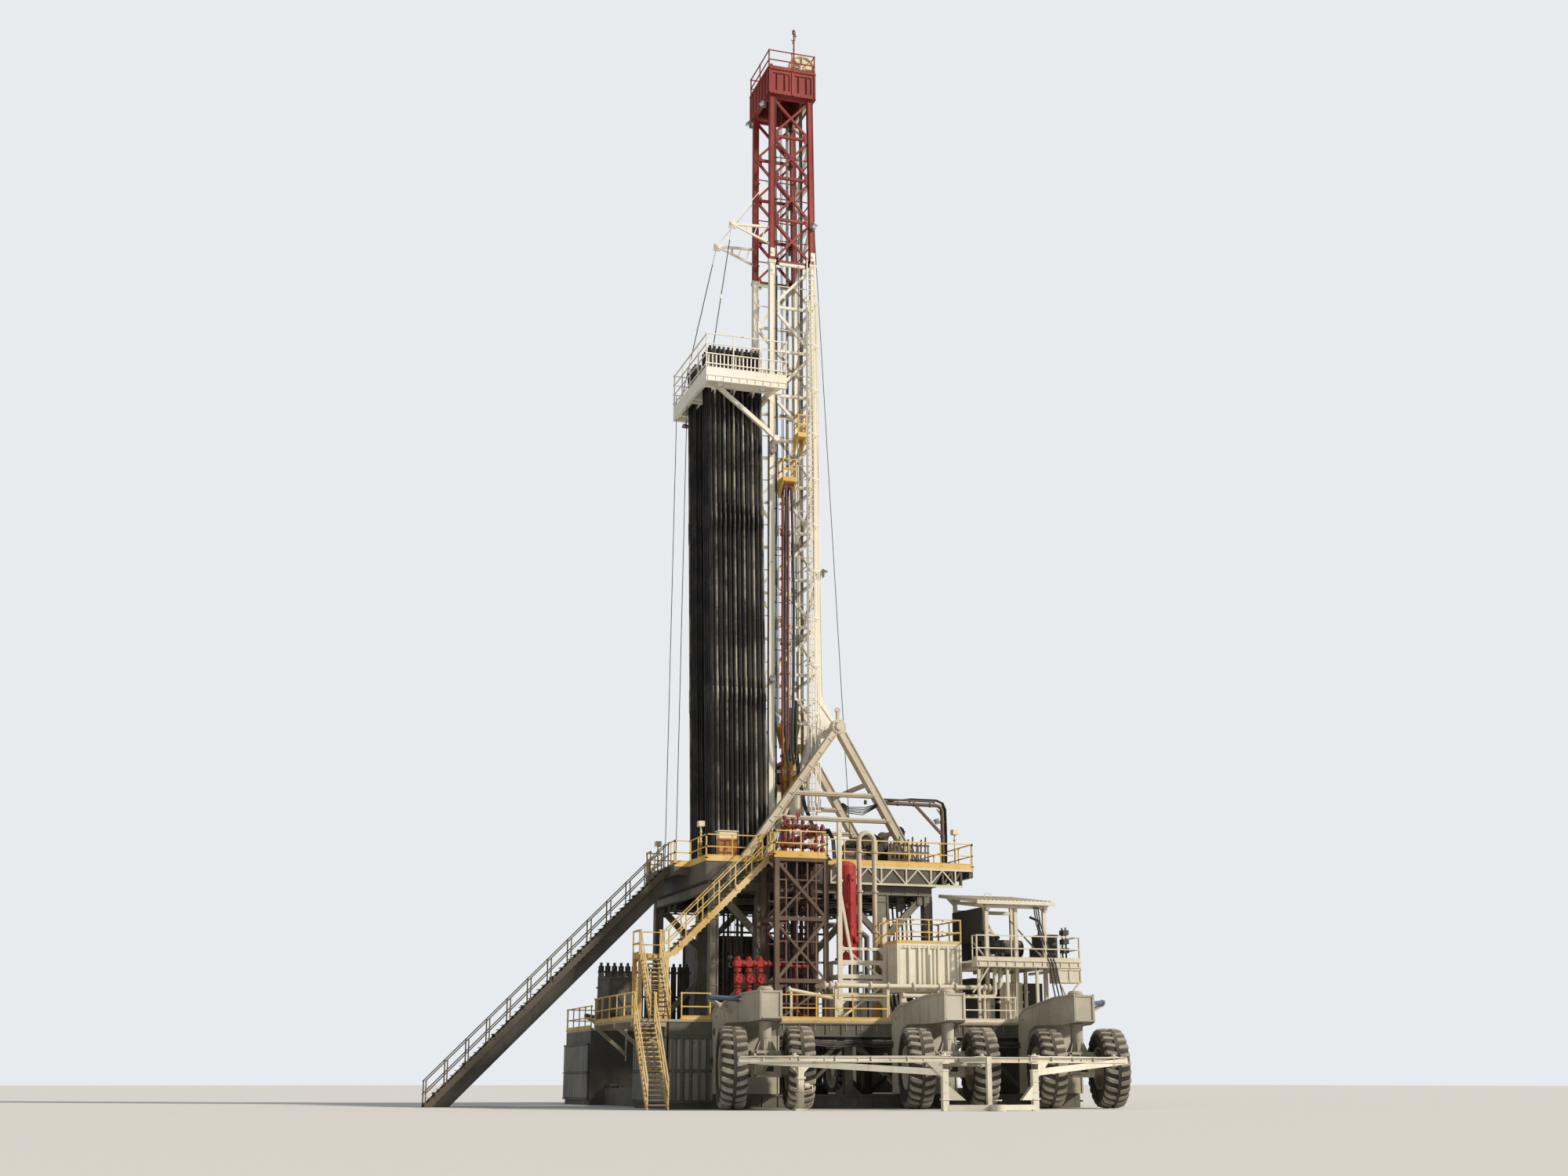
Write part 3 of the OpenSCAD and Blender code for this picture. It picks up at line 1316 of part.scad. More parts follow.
// Wheel number 0 to 11: near ones first, two to a bogie
module wheel(i) {
    side = i < 6 ? -1 : 1;
    x = KINGPINS[floor((i % 6) / 2)];
    place = (i % 2 == 0 ? -1 : 1) * -side;
    color("#57503f") at_kingpin(x, side) rotate(steer_of(side)) translate([place * tyre_pitch / 2, 0, tyre_r]) {
        wheel_solid();
        rim_solid();
    }
}

base_frames();
base_spreaders();
lower_decks();
lower_deck_rails();
substructure_frames();
substructure_cross_beams();
drill_floor();
floor_rails();
mast_lower_sides();
mast_upper_sides();
mast_back_bracing();
crown_block();
crown_sheaves();
crown_rails();
mast_ladder();
mast_platforms();
standpipes();
guide_rails();
travelling_block();
top_drive();
drilling_lines();
hoist_lines();
a_frames();
racking_board();
racking_rails();
board_struts();
drill_pipe_stands();
drawworks();
floor_equipment();
pipe_portal();
manifold_tower();
gas_separator();
separator_frame();
choke_manifold();
flow_line();
ribbed_tank();
shelter_frame();
shelter_deck();
shelter_machinery();
stair_treads();
stair_sides();
stair_landing();
deck_cabinet();
pipe_ramp();
wheel_arms();
steering_yokes();
tow_frame();
wheel(0);  // wheel_near_1_left
wheel(1);  // wheel_near_1_right
wheel(2);  // wheel_near_2_left
wheel(3);  // wheel_near_2_right
wheel(4);  // wheel_near_3_left
wheel(5);  // wheel_near_3_right
wheel(6);  // wheel_far_1_left
wheel(7);  // wheel_far_1_right
wheel(8);  // wheel_far_2_left
wheel(9);  // wheel_far_2_right
wheel(10);  // wheel_far_3_left
wheel(11);  // wheel_far_3_right
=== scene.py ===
import json
import math
import bpy
import bmesh
from mathutils import Matrix, Vector


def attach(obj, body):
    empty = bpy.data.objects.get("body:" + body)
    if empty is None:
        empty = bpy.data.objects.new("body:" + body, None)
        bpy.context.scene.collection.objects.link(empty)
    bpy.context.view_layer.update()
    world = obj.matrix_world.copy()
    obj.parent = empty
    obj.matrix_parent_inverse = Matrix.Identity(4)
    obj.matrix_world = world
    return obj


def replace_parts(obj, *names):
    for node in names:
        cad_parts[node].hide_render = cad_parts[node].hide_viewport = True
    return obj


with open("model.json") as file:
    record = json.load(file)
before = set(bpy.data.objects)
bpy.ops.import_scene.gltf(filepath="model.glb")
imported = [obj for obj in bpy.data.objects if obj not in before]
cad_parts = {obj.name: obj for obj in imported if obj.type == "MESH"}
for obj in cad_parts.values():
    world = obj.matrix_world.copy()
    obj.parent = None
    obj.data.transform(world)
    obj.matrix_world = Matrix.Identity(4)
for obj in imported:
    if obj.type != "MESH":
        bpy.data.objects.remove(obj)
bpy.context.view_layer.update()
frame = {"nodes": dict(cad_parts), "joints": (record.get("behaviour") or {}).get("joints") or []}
nodes = frame["nodes"]

# Where the rig stands
# The rig stands on a plain pale yard under one soft key light and an even sky. The
# camera keeps the low standpoint by the yard's edge, aimed at the middle of the mast.
rig_scene = bpy.context.scene
rig_scene.view_settings.view_transform = "Standard"

yard = bpy.data.meshes.new("yard")
yard.from_pydata([(-160, -160, -0.002), (160, -160, -0.002), (160, 260, -0.002), (-160, 260, -0.002)], [],
                 [(0, 1, 2, 3)])
yard_floor = bpy.data.objects.new("yard_floor", yard)
rig_scene.collection.objects.link(yard_floor)

pale_ground = bpy.data.materials.new("pale_ground")
pale_ground.use_nodes = True
ground_shader = pale_ground.node_tree.nodes["Principled BSDF"]
ground_shader.inputs["Base Color"].default_value = (0.74, 0.71, 0.66, 1)
ground_shader.inputs["Roughness"].default_value = 0.95
yard.materials.append(pale_ground)

station = Vector((-14.46, -44.19, 0.55))
rig_camera = bpy.data.objects.new("rig_camera", bpy.data.cameras.new("rig_camera"))
rig_scene.collection.objects.link(rig_camera)
rig_camera.data.sensor_width = 36
rig_camera.data.lens = 43.5
rig_camera.location = station
look_up = math.radians(14.6)
look_along = Vector((0.309 * math.cos(look_up), 0.951 * math.cos(look_up), math.sin(look_up)))
rig_camera.rotation_euler = look_along.to_track_quat("-Z", "Y").to_euler()
rig_camera.data.clip_start = 0.1
rig_camera.data.clip_end = 900
rig_scene.camera = rig_camera

# Late sun from the camera's right, softened, over an even pale sky
low_sun = bpy.data.objects.new("low_sun", bpy.data.lights.new("low_sun", "SUN"))
rig_scene.collection.objects.link(low_sun)
low_sun.data.energy = 3.7
low_sun.data.angle = math.radians(5)
low_sun.data.color = (1.0, 0.93, 0.82)
low_sun.rotation_euler = Vector((-0.66, 0.58, -0.5)).to_track_quat("-Z", "Y").to_euler()

sky = bpy.data.worlds.new("even_sky")
rig_scene.world = sky
sky.use_nodes = True
sky_nodes, sky_links = sky.node_tree.nodes, sky.node_tree.links
sky_nodes.clear()
sky_out = sky_nodes.new("ShaderNodeOutputWorld")
sky_mix = sky_nodes.new("ShaderNodeMixShader")
sky_soft = sky_nodes.new("ShaderNodeBackground")
sky_soft.inputs["Color"].default_value = (0.86, 0.92, 1.0, 1)
sky_soft.inputs["Strength"].default_value = 0.42
sky_seen = sky_nodes.new("ShaderNodeBackground")
sky_seen.inputs["Color"].default_value = (0.8, 0.83, 0.86, 1)
sky_seen.inputs["Strength"].default_value = 1.0
sky_ray = sky_nodes.new("ShaderNodeLightPath")
sky_links.new(sky_ray.outputs["Is Camera Ray"], sky_mix.inputs["Fac"])
sky_links.new(sky_soft.outputs["Background"], sky_mix.inputs[1])
sky_links.new(sky_seen.outputs["Background"], sky_mix.inputs[2])
sky_links.new(sky_mix.outputs["Shader"], sky_out.inputs["Surface"])

# Base frames and their cross beams
# Two long box frames of welded plate rest on the ground, tied by three cross beams. The
# steel is painted a dull olive, darkened further as painted shade from the decks above; it
# has faded and caught sand, and run-off has streaked it.
def paint(name, colour, faded, dirt=0.35, rust=0.12, dust=0.45, rough=0.62, metal=0.0, grain=1.0,
          split=None):
    """Site paint: faded patches, run-off streaks, chips of rust and sand on upper faces.

    A split (axis, place, colour) gives what lies past a plane another colour, up to a
    second place where one follows.
    """
    finish = bpy.data.materials.new(name)
    finish.use_nodes = True
    shades, wires = finish.node_tree.nodes, finish.node_tree.links
    shader = shades["Principled BSDF"]
    where = shades.new("ShaderNodeTexCoord").outputs["Object"]

    def noise(size, detail, stretch=(1, 1, 1)):
        turned = shades.new("ShaderNodeMapping")
        turned.inputs["Scale"].default_value = stretch
        wires.new(where, turned.inputs["Vector"])
        cloud = shades.new("ShaderNodeTexNoise")
        cloud.inputs["Scale"].default_value = size * grain
        cloud.inputs["Detail"].default_value = detail
        cloud.inputs["Roughness"].default_value = 0.62
        wires.new(turned.outputs["Vector"], cloud.inputs["Vector"])
        return cloud.outputs["Fac"]

    def span(value, low, high, to=1.0):
        ramp = shades.new("ShaderNodeMapRange")
        ramp.interpolation_type = "SMOOTHSTEP"
        ramp.inputs["From Min"].default_value = low
        ramp.inputs["From Max"].default_value = high
        ramp.inputs["To Max"].default_value = to
        wires.new(value, ramp.inputs["Value"])
        return ramp.outputs["Result"]

    def times(a, b):
        product = shades.new("ShaderNodeMath")
        product.operation = "MULTIPLY"
        wires.new(a, product.inputs[0])
        wires.new(b, product.inputs[1])
        return product.outputs[0]

    def lay(under, over, amount):
        mix = shades.new("ShaderNodeMix")
        mix.data_type = "RGBA"
        wires.new(amount, mix.inputs["Factor"])
        for socket, value in (("A", under), ("B", over)):
            side = [i for i in mix.inputs if i.name == socket and i.type == "RGBA"][0]
            if isinstance(value, tuple):
                side.default_value = (*value, 1)
            else:
                wires.new(value, side)
        return [o for o in mix.outputs if o.type == "RGBA"][0]

    broad = noise(0.55, 6)
    fine = noise(6.0, 8)
    runs = noise(1.0, 5, (5.0, 5.0, 0.45))
    worn = lay(colour, faded, span(broad, 0.38, 0.68))
    if split:
        axis, place, other, *stop = split
        parts = shades.new("ShaderNodeSeparateXYZ")
        wires.new(where, parts.inputs["Vector"])
        inside = span(parts.outputs[axis], place - 0.002, place + 0.002)
        if stop:
            inside = times(inside, span(parts.outputs[axis], stop[0] + 0.002, stop[0] - 0.002))
        worn = lay(worn, other, inside)
    worn = lay(worn, tuple(c * 0.36 for c in colour), span(runs, 0.52, 0.78, dirt))
    chips = times(span(fine, 0.6, 0.68), span(noise(1.7, 3), 0.48, 0.62, rust * 3))
    worn = lay(worn, (0.19, 0.075, 0.03), chips)
    up = shades.new("ShaderNodeSeparateXYZ")
    wires.new(shades.new("ShaderNodeNewGeometry").outputs["Normal"], up.inputs["Vector"])
    worn = lay(worn, (0.6, 0.49, 0.33),
               times(span(up.outputs["Z"], 0.35, 0.95, dust), span(fine, 0.25, 0.6)))
    wires.new(worn, shader.inputs["Base Color"])
    shine = shades.new("ShaderNodeMapRange")
    shine.inputs["To Min"].default_value = rough - 0.12
    shine.inputs["To Max"].default_value = rough + 0.18
    wires.new(fine, shine.inputs["Value"])
    wires.new(shine.outputs["Result"], shader.inputs["Roughness"])
    shader.inputs["Metallic"].default_value = metal
    bump = shades.new("ShaderNodeBump")
    bump.inputs["Strength"].default_value = 0.35
    bump.inputs["Distance"].default_value = 0.012
    wires.new(fine, bump.inputs["Height"])
    wires.new(bump.outputs["Normal"], shader.inputs["Normal"])
    return finish


def coat(node_name, material):
    """Gives a frame node its finish."""
    slots = nodes[node_name].material_slots
    if slots:
        for slot in slots:
            slot.material = material
    else:
        nodes[node_name].data.materials.append(material)


def piece(name, work, material, slot, body="rig"):
    """Makes the finished object of a bmesh and lets it ride on its body."""
    bmesh.ops.recalc_face_normals(work, faces=work.faces)
    mesh = bpy.data.meshes.new(name)
    work.to_mesh(mesh)
    work.free()
    mesh.materials.clear()
    mesh.materials.append(material)
    for p in mesh.polygons:
        p.use_smooth = True
        p.material_index = 0
    mesh.set_sharp_from_angle(angle=math.radians(35))
    made = bpy.data.objects.new(name, mesh)
    rig_scene.collection.objects.link(made)
    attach(made, body)
    return made


def box_of(name):
    """The lowest and the highest corner of a frame node."""
    spots = [nodes[name].matrix_world @ v.co for v in nodes[name].data.vertices]
    return [[round(pick(p[i] for p in spots), 4) for i in range(3)] for pick in (min, max)]


X, Y, Z = (1, 0, 0), (0, 1, 0), (0, 0, 1)


def hexa(work, eight):
    """A six-sided block from its eight corners, bottom ring first."""
    v = [work.verts.new(p) for p in eight]
    for f in ((3, 2, 1, 0), (4, 5, 6, 7), (0, 1, 5, 4), (1, 2, 6, 5), (2, 3, 7, 6), (3, 0, 4, 7)):
        work.faces.new([v[i] for i in f])


def slab(work, lo, hi):
    """A plate or block between two corners."""
    (a, b, c), (d, e, f) = lo, hi
    hexa(work, [(a, b, c), (d, b, c), (d, e, c), (a, e, c), (a, b, f), (d, b, f), (d, e, f), (a, e, f)])


def beam(work, a, b, wide, deep, up=Z):
    """A flat bar between two points, deep along up."""
    a, b = Vector(a), Vector(b)
    along = (b - a).normalized()
    side = along.cross(Vector(up))
    side = side.normalized() if side.length > 1e-4 else along.cross(Vector(X)).normalized()
    rise = side.cross(along).normalized()
    s, r = side * wide / 2, rise * deep / 2
    hexa(work, [a - s - r, a + s - r, b + s - r, b - s - r, a - s + r, a + s + r, b + s + r, b - s + r])


def bar(work, x, y, z, wide, deep):
    """A bar along one axis: the pair among x, y and z is where it starts and ends."""
    ends = [place if isinstance(place, tuple) else (place, place) for place in (x, y, z)]
    beam(work, *zip(*ends), wide, deep)


def gusset(work, corner, one, two, thick):
    """A three-cornered plate: its corner, its two legs from there, and its thickness as a vector."""
    c, one, two, t = Vector(corner), Vector(one), Vector(two), Vector(thick) / 2
    low = [work.verts.new(p - t) for p in (c, c + one, c + two)]
    high = [work.verts.new(p + t) for p in (c, c + one, c + two)]
    work.faces.new(low[::-1])
    work.faces.new(high)
    for i in range(3):
        j = (i + 1) % 3
        work.faces.new((low[i], low[j], high[j], high[i]))


def pipe_run(work, points, radius, sides=12):
    """A tube along a run of points, mitred at each turn."""
    points = [Vector(p) for p in points]
    rings, lift = [], None
    for i, p in enumerate(points):
        back = (p - points[i - 1]).normalized() if i else (points[1] - p).normalized()
        ahead = (points[i + 1] - p).normalized() if i + 1 < len(points) else back
        along = (back + ahead).normalized()
        if lift is None:
            lift = Vector(Z) if abs(along.z) < 0.9 else Vector(X)
        side = along.cross(lift).normalized()
        lift = side.cross(along).normalized()
        spread = 1 / max(0.35, back.dot(along))
        turn_side = ahead - back
        turn_side = turn_side.normalized() if turn_side.length > 1e-6 else None
        ring = []
        for k in range(sides):
            a = math.tau * k / sides
            off = side * math.cos(a) + lift * math.sin(a)
            if turn_side is not None:
                off = off + turn_side * off.dot(turn_side) * (spread - 1)
            ring.append(work.verts.new(p + off * radius))
        rings.append(ring)
    for one, two in zip(rings, rings[1:]):
        for k in range(sides):
            work.faces.new((one[k], one[(k + 1) % sides], two[(k + 1) % sides], two[k]))
    work.faces.new(rings[0][::-1])
    work.faces.new(rings[-1])


def disc(work, centre, axis, radius, thick, sides=24):
    """A round plate, flange or pin about an axis through its centre."""
    c, half = Vector(centre), Vector(axis).normalized() * thick / 2
    pipe_run(work, [c - half, c + half], radius, sides)


def flange(work, centre, axis, radius, thick, bolts=8):
    """A bolted pipe flange: two round plates, with a ring of bolt ends through both."""
    c, a = Vector(centre), Vector(axis).normalized()
    for s in (-1, 1):
        disc(work, c + a * s * thick * 0.3, a, radius, thick * 0.5)
    side = a.orthogonal().normalized()
    for i in range(bolts):
        spoke = Matrix.Rotation(math.tau * i / bolts, 3, a) @ side * radius * 0.8
        disc(work, c + spoke, a, radius * 0.09, thick * 1.9, 6)


def rule(name, sizes):
    """An empty node tree with named sizes, whose input geometry is the thing that repeats."""
    tree = bpy.data.node_groups.new(name, "GeometryNodeTree")
    tree.interface.new_socket(name="Geometry", in_out="INPUT", socket_type="NodeSocketGeometry")
    kinds = {int: "NodeSocketInt", float: "NodeSocketFloat", Vector: "NodeSocketVector",
             bpy.types.Material: "NodeSocketMaterial"}
    for label, kind in sizes.items():
        tree.interface.new_socket(name=label, in_out="INPUT", socket_type=kinds[kind])
    tree.interface.new_socket(name="Geometry", in_out="OUTPUT", socket_type="NodeSocketGeometry")
    return tree, tree.nodes.new("NodeGroupInput"), tree.nodes.new("NodeGroupOutput")


def close_rule(tree, spread, given, out):
    """Ends a tree: realize the copies and give them their finish."""
    real = tree.nodes.new("GeometryNodeRealizeInstances")
    finish = tree.nodes.new("GeometryNodeSetMaterial")
    tree.links.new(spread, real.inputs["Geometry"])
    tree.links.new(real.outputs["Geometry"], finish.inputs["Geometry"])
    tree.links.new(given.outputs["Finish"], finish.inputs["Material"])
    tree.links.new(finish.outputs["Geometry"], out.inputs["Geometry"])


def repeated(name, thing, tree, **sizes):
    """Runs a rule on a bmesh and returns the plain mesh that comes out."""
    seed = bpy.data.meshes.new(name)
    thing.to_mesh(seed)
    thing.free()
    carrier = bpy.data.objects.new(name, seed)
    rig_scene.collection.objects.link(carrier)
    step = carrier.modifiers.new("rule", "NODES")
    step.node_group = tree
    for item in tree.interface.items_tree:
        label = item.name.lower().replace(" ", "_")
        if item.in_out == "INPUT" and label in sizes:
            step[item.identifier] = sizes[label]
    bpy.context.view_layer.update()
    made = bpy.data.meshes.new_from_object(carrier.evaluated_get(bpy.context.evaluated_depsgraph_get()))
    bpy.data.objects.remove(carrier)
    bpy.data.meshes.remove(seed)
    made.name = name
    return made


# Rule that sets copies out in columns and rows: stiffeners, slats, bolts, treads and pipe
spaced, grid_in, grid_out = rule("spaced",
                                 {"Columns": int, "Rows": int, "Column Step": Vector, "Row Step": Vector,
                                  "First": Vector, "Finish": bpy.types.Material})
grid = {}
for label, kind in (("points", "Points"), ("index", "InputIndex"), ("set", "SetPosition"),
                    ("copies", "InstanceOnPoints")):
    grid[label] = spaced.nodes.new("GeometryNode" + kind)
grid_math = {}
for label, kind in (("total", "MULTIPLY"), ("column", "MODULO"), ("share", "DIVIDE"), ("row", "FLOOR")):
    grid_math[label] = spaced.nodes.new("ShaderNodeMath")
    grid_math[label].operation = kind
for label, kind in (("across", "SCALE"), ("along", "SCALE"), ("both", "ADD"), ("place", "ADD")):
    grid_math[label] = spaced.nodes.new("ShaderNodeVectorMath")
    grid_math[label].operation = kind
for a, b in ((grid_in.outputs["Columns"], grid_math["total"].inputs[0]),
             (grid_in.outputs["Rows"], grid_math["total"].inputs[1]),
             (grid_math["total"].outputs[0], grid["points"].inputs["Count"]),
             (grid["index"].outputs[0], grid_math["column"].inputs[0]),
             (grid_in.outputs["Columns"], grid_math["column"].inputs[1]),
             (grid["index"].outputs[0], grid_math["share"].inputs[0]),
             (grid_in.outputs["Columns"], grid_math["share"].inputs[1]),
             (grid_math["share"].outputs[0], grid_math["row"].inputs[0]),
             (grid_in.outputs["Column Step"], grid_math["across"].inputs[0]),
             (grid_math["column"].outputs[0], grid_math["across"].inputs["Scale"]),
             (grid_in.outputs["Row Step"], grid_math["along"].inputs[0]),
             (grid_math["row"].outputs[0], grid_math["along"].inputs["Scale"]),
             (grid_math["across"].outputs[0], grid_math["both"].inputs[0]),
             (grid_math["along"].outputs[0], grid_math["both"].inputs[1]),
             (grid_math["both"].outputs[0], grid_math["place"].inputs[0]),
             (grid_in.outputs["First"], grid_math["place"].inputs[1]),
             (grid["points"].outputs["Points"], grid["set"].inputs["Geometry"]),
             (grid_math["place"].outputs[0], grid["set"].inputs["Position"]),
             (grid["set"].outputs["Geometry"], grid["copies"].inputs["Points"]),
             (grid_in.outputs["Geometry"], grid["copies"].inputs["Instance"])):
    spaced.links.new(a, b)
close_rule(spaced, grid["copies"].outputs["Instances"], grid_in, grid_out)


def rows(work, thing, finish, columns, step, first=(0, 0, 0), lines=1, line_step=(0, 0, 0)):
    """Adds copies of a thing to a piece, set out by the rule above."""
    mesh = repeated("rows", thing, spaced, columns=columns, rows=lines, column_step=step,
                    row_step=line_step, first=first, finish=finish)
    work.from_mesh(mesh)
    bpy.data.meshes.remove(mesh)


def one(make, *sizes):
    """A bmesh with a single shape in it, ready to repeat."""
    work = bmesh.new()
    make(work, *sizes)
    return work


def block(x, y, z):
    """A block to repeat, from its half sizes."""
    return one(slab, (-x, -y, -z), (x, y, z))


# The olive is darker than the paint itself: painted shade where the decks shade the base frames.
olive_steel = paint("olive_steel", (0.075, 0.068, 0.052), (0.16, 0.145, 0.11), dirt=0.6, rust=0.2,
                    dust=0.35)
coat("base_frames", olive_steel)
coat("base_spreaders", olive_steel)
black_rubber = paint("black_rubber", (0.03, 0.03, 0.03), (0.07, 0.065, 0.06), rust=0.0, dust=0.3, rough=0.7,
                     grain=3)
base_left, base_right = box_of("base_frames")[0][0], box_of("base_frames")[1][0]
base_out = box_of("lower_decks")[1][1]
tank_length = 1.2
chord_left, chord_right = base_left + tank_length, base_right - tank_length
bays = 5
bay = (chord_right - chord_left) / bays
for side, where in ((-1, "near"), (1, "far")):
    work = bmesh.new()
    out = side * base_out
    for face in (out, side * 2.3):
        for z in (0.015, 0.265, 1.485, 1.735):
            bar(work, (chord_left, chord_right), face, z, 0.05, 0.03)
        for z in (0.14, 1.61):
            rows(work, block(0.008, 0.022, 0.11), olive_steel, 19, (0.3525, 0, 0), (-2.974, face, z))
    for i in range(bays):
        x0, x1 = chord_left + i * bay, chord_left + (i + 1) * bay
        foot_x, head_x = (x0 + 0.05, x1 - 0.05) if i % 2 else (x1 - 0.05, x0 + 0.05)
        for face in (side * 5.06, side * 2.44):
            pipe_run(work, [(foot_x, face, 0.28), (head_x, face, 1.47)], 0.05)
        for x, s in ((x0, 1), (x1, -1)):
            gusset(work, (x + s * 0.08, side * 5.1, 1.48), (s * 0.24, 0, 0), (0, 0, -0.24), (0, 0.014, 0))
            gusset(work, (x + s * 0.08, side * 5.1, 0.27), (s * 0.24, 0, 0), (0, 0, 0.24), (0, 0.014, 0))
    # Tank ends: bands across the ribs, a bolted hatch, a drain and a capped filler
    for x in (base_left, base_right):
        for z in (0.14, 0.76, 1.43):
            slab(work, (x - 0.02, min(out, side * 2.35), z - 0.02),
                 (x + 0.02, max(out, side * 2.35), z + 0.02))
    for z in (0.14, 0.76, 1.43):
        slab(work, (-4.25, out + side * 0.012 - 0.045, z - 0.015),
             (-3.42, out + side * 0.012 + 0.045, z + 0.015))
    for x in (-3.3, 4.6):
        flange(work, (x, out + side * 0.02, 0.95), Y, 0.12 if x < 0 else 0.3, 0.04, 16)
    for x in (-3.28, 4.05):
        pipe_run(work, [(x, out, 0.28), (x, out + side * 0.09, 0.28), (x, out + side * 0.09, 0.16)], 0.03)
        pipe_run(work, [(x, out - side * 0.03, 1.55), (x, out + side * 0.1, 1.55)], 0.075, 20)
        disc(work, (x, out + side * 0.1, 1.55), Y, 0.1, 0.025)
    # Pinned lugs where the cross beams meet this frame
    for x in (-3.725, 0.0, 4.475):
        for s in (-1, 1):
            slab(work, (x + s * 0.12 - 0.015, side * 2.02, 0.06), (x + s * 0.12 + 0.015, side * 2.3, 0.5))
        disc(work, (x, side * 2.12, 0.45), X, 0.045, 0.34)
    piece("base_frame_fittings_" + where, work, olive_steel, "base_frames")

    hoses = bmesh.new()
    for k in range(4):
        y, z = out + side * (0.035 + 0.02 * (k % 2)), 1.4 - 0.035 * k
        path = [(-3.1, y, z)]
        for i in range(28):
            x = -3.1 + 7.0 * (i + 1) / 28
            path.append((x, y + 0.006 * math.sin(3 * i + k),
                         z - 0.035 * abs(math.sin(math.pi * (i + 1) / 4))))
        pipe_run(hoses, path, 0.014, 8)
    piece("base_hoses_" + where, hoses, black_rubber, "base_frames")

# Grey pressed panels stand out between the bands of the left tank ends
panel_grey = paint("panel_grey", (0.2, 0.195, 0.165), (0.3, 0.285, 0.24), dirt=0.6, rust=0.3, dust=0.2)
work = bmesh.new()
for side in (-1, 1):
    for z, half in ((0.45, 0.28), (1.095, 0.305)):
        rows(work, block(0.062, 0.02, half), panel_grey, 6, (0.165, 0, 0),
             (-4.22, side * (base_out + 0.005), z))
        rows(work, block(0.02, 0.062, half), panel_grey, 16, (0, side * 0.175, 0), (-4.345, side * 2.45, z))
piece("tank_end_panels", work, panel_grey, "base_frames")

# Lower decks
# Plate decks cover the base frames, with open grating on the stretch at the stairs. Angle
# irons stiffen their edges, and small brackets carry them on the frames.
def slat(x, y, tall):
    """A flat bar to repeat: half its length and width, and its height above its sole."""
    return one(slab, (-x, -y, 0), (x, y, tall))


deck_plate = paint("deck_plate", (0.34, 0.29, 0.2), (0.46, 0.4, 0.29), dirt=0.4, rust=0.2, dust=0.6)
coat("lower_decks", deck_plate)
deck_z = box_of("lower_decks")[1][2]
work = bmesh.new()
rows(work, slat(0.39, 0.004, 0.014), deck_plate, 78, (0, 0.045, 0), (-4.69, -5.12, deck_z))
rows(work, slat(0.004, 1.75, 0.012), deck_plate, 7, (0.125, 0, 0), (-5.06, -3.4, deck_z))
for side in (-1, 1):
    for y in (2.95, 3.75, 4.55):
        bar(work, (-4.25, 5.0), side * y, deck_z + 0.002, 0.03, 0.008)
    for x0, x1 in ((-1.9, 0.6), (2.1, 3.58)):
        bar(work, (x0, x1), side * (base_out + 0.005), 1.775, 0.03, 0.05)
        rows(work, one(gusset, (0, 0, 0), (0, side * -0.07, 0), (0, 0, -0.16), (0.012, 0, 0)), deck_plate,
             int((x1 - x0) / 0.35), (0.35, 0, 0), (x0 + 0.1, side * (base_out + 0.015), 1.755))
    for k in range(3):
        x = -3.3 + 0.9 * k
        disc(work, (x, side * 3.9, deck_z + 0.003), Z, 0.28, 0.02, 32)
        bar(work, (x - 0.08, x + 0.08), side * 3.9, deck_z + 0.025, 0.02, 0.02)
bar(work, (-5.07, -3.4), -5.205, 1.775, 0.03, 0.05)
piece("lower_deck_grating", work, deck_plate, "lower_decks")

# Guard rails of the lower decks and the floor
# Rails of square tube in panels: each post stands in a bolted shoe, clips join the panels,
# and the toe boards carry a rolled edge. They are painted yellow, faded and chipped.
yellow_rail = paint("yellow_rail", (0.62, 0.38, 0.07), (0.78, 0.58, 0.24), dirt=0.45, rust=0.25, dust=0.35)
deck_rail_paint = paint("deck_rail_paint", (0.62, 0.38, 0.07), (0.78, 0.58, 0.24), dirt=0.45, rust=0.25,
                        dust=0.35, split=("X", 1.95, (0.7, 0.64, 0.5)))
coat("lower_deck_rails", deck_rail_paint)
coat("floor_rails", yellow_rail)
floor_z = box_of("drill_floor")[1][2]


def over(height):
    """The step straight up by a height."""
    return Vector((0, 0, height))


def rail_shoes(work, a, b, z, tall=0.55):
    """Bolted work, corner clips and a rolled toe edge along a straight guard rail."""
    a, b = Vector((*a, z)), Vector((*b, z))
    along = (b - a).normalized()
    across = Vector((-along.y, along.x, 0)) * 0.035
    count = max(1, round((b - a).length / 0.75))
    for i in range(count + 1):
        p = a + (b - a) * i / count
        p = p - along * 0.0125 * (2 * i / count - 1)
        beam(work, p - across + over(0.008), p + across + over(0.008), 0.07, 0.016)
        for s in (-1, 1):
            disc(work, p + across * s * 0.75 + along * 0.022 + over(0.02), Z, 0.007, 0.016, 6)
        beam(work, p + over(tall - 0.05), p + over(tall + 0.004), 0.036, 0.036)
        beam(work, p + over(tall / 2 - 0.03), p + over(tall / 2 + 0.005), 0.034, 0.034)
    beam(work, a + over(0.075), b + over(0.075), 0.036, 0.012)


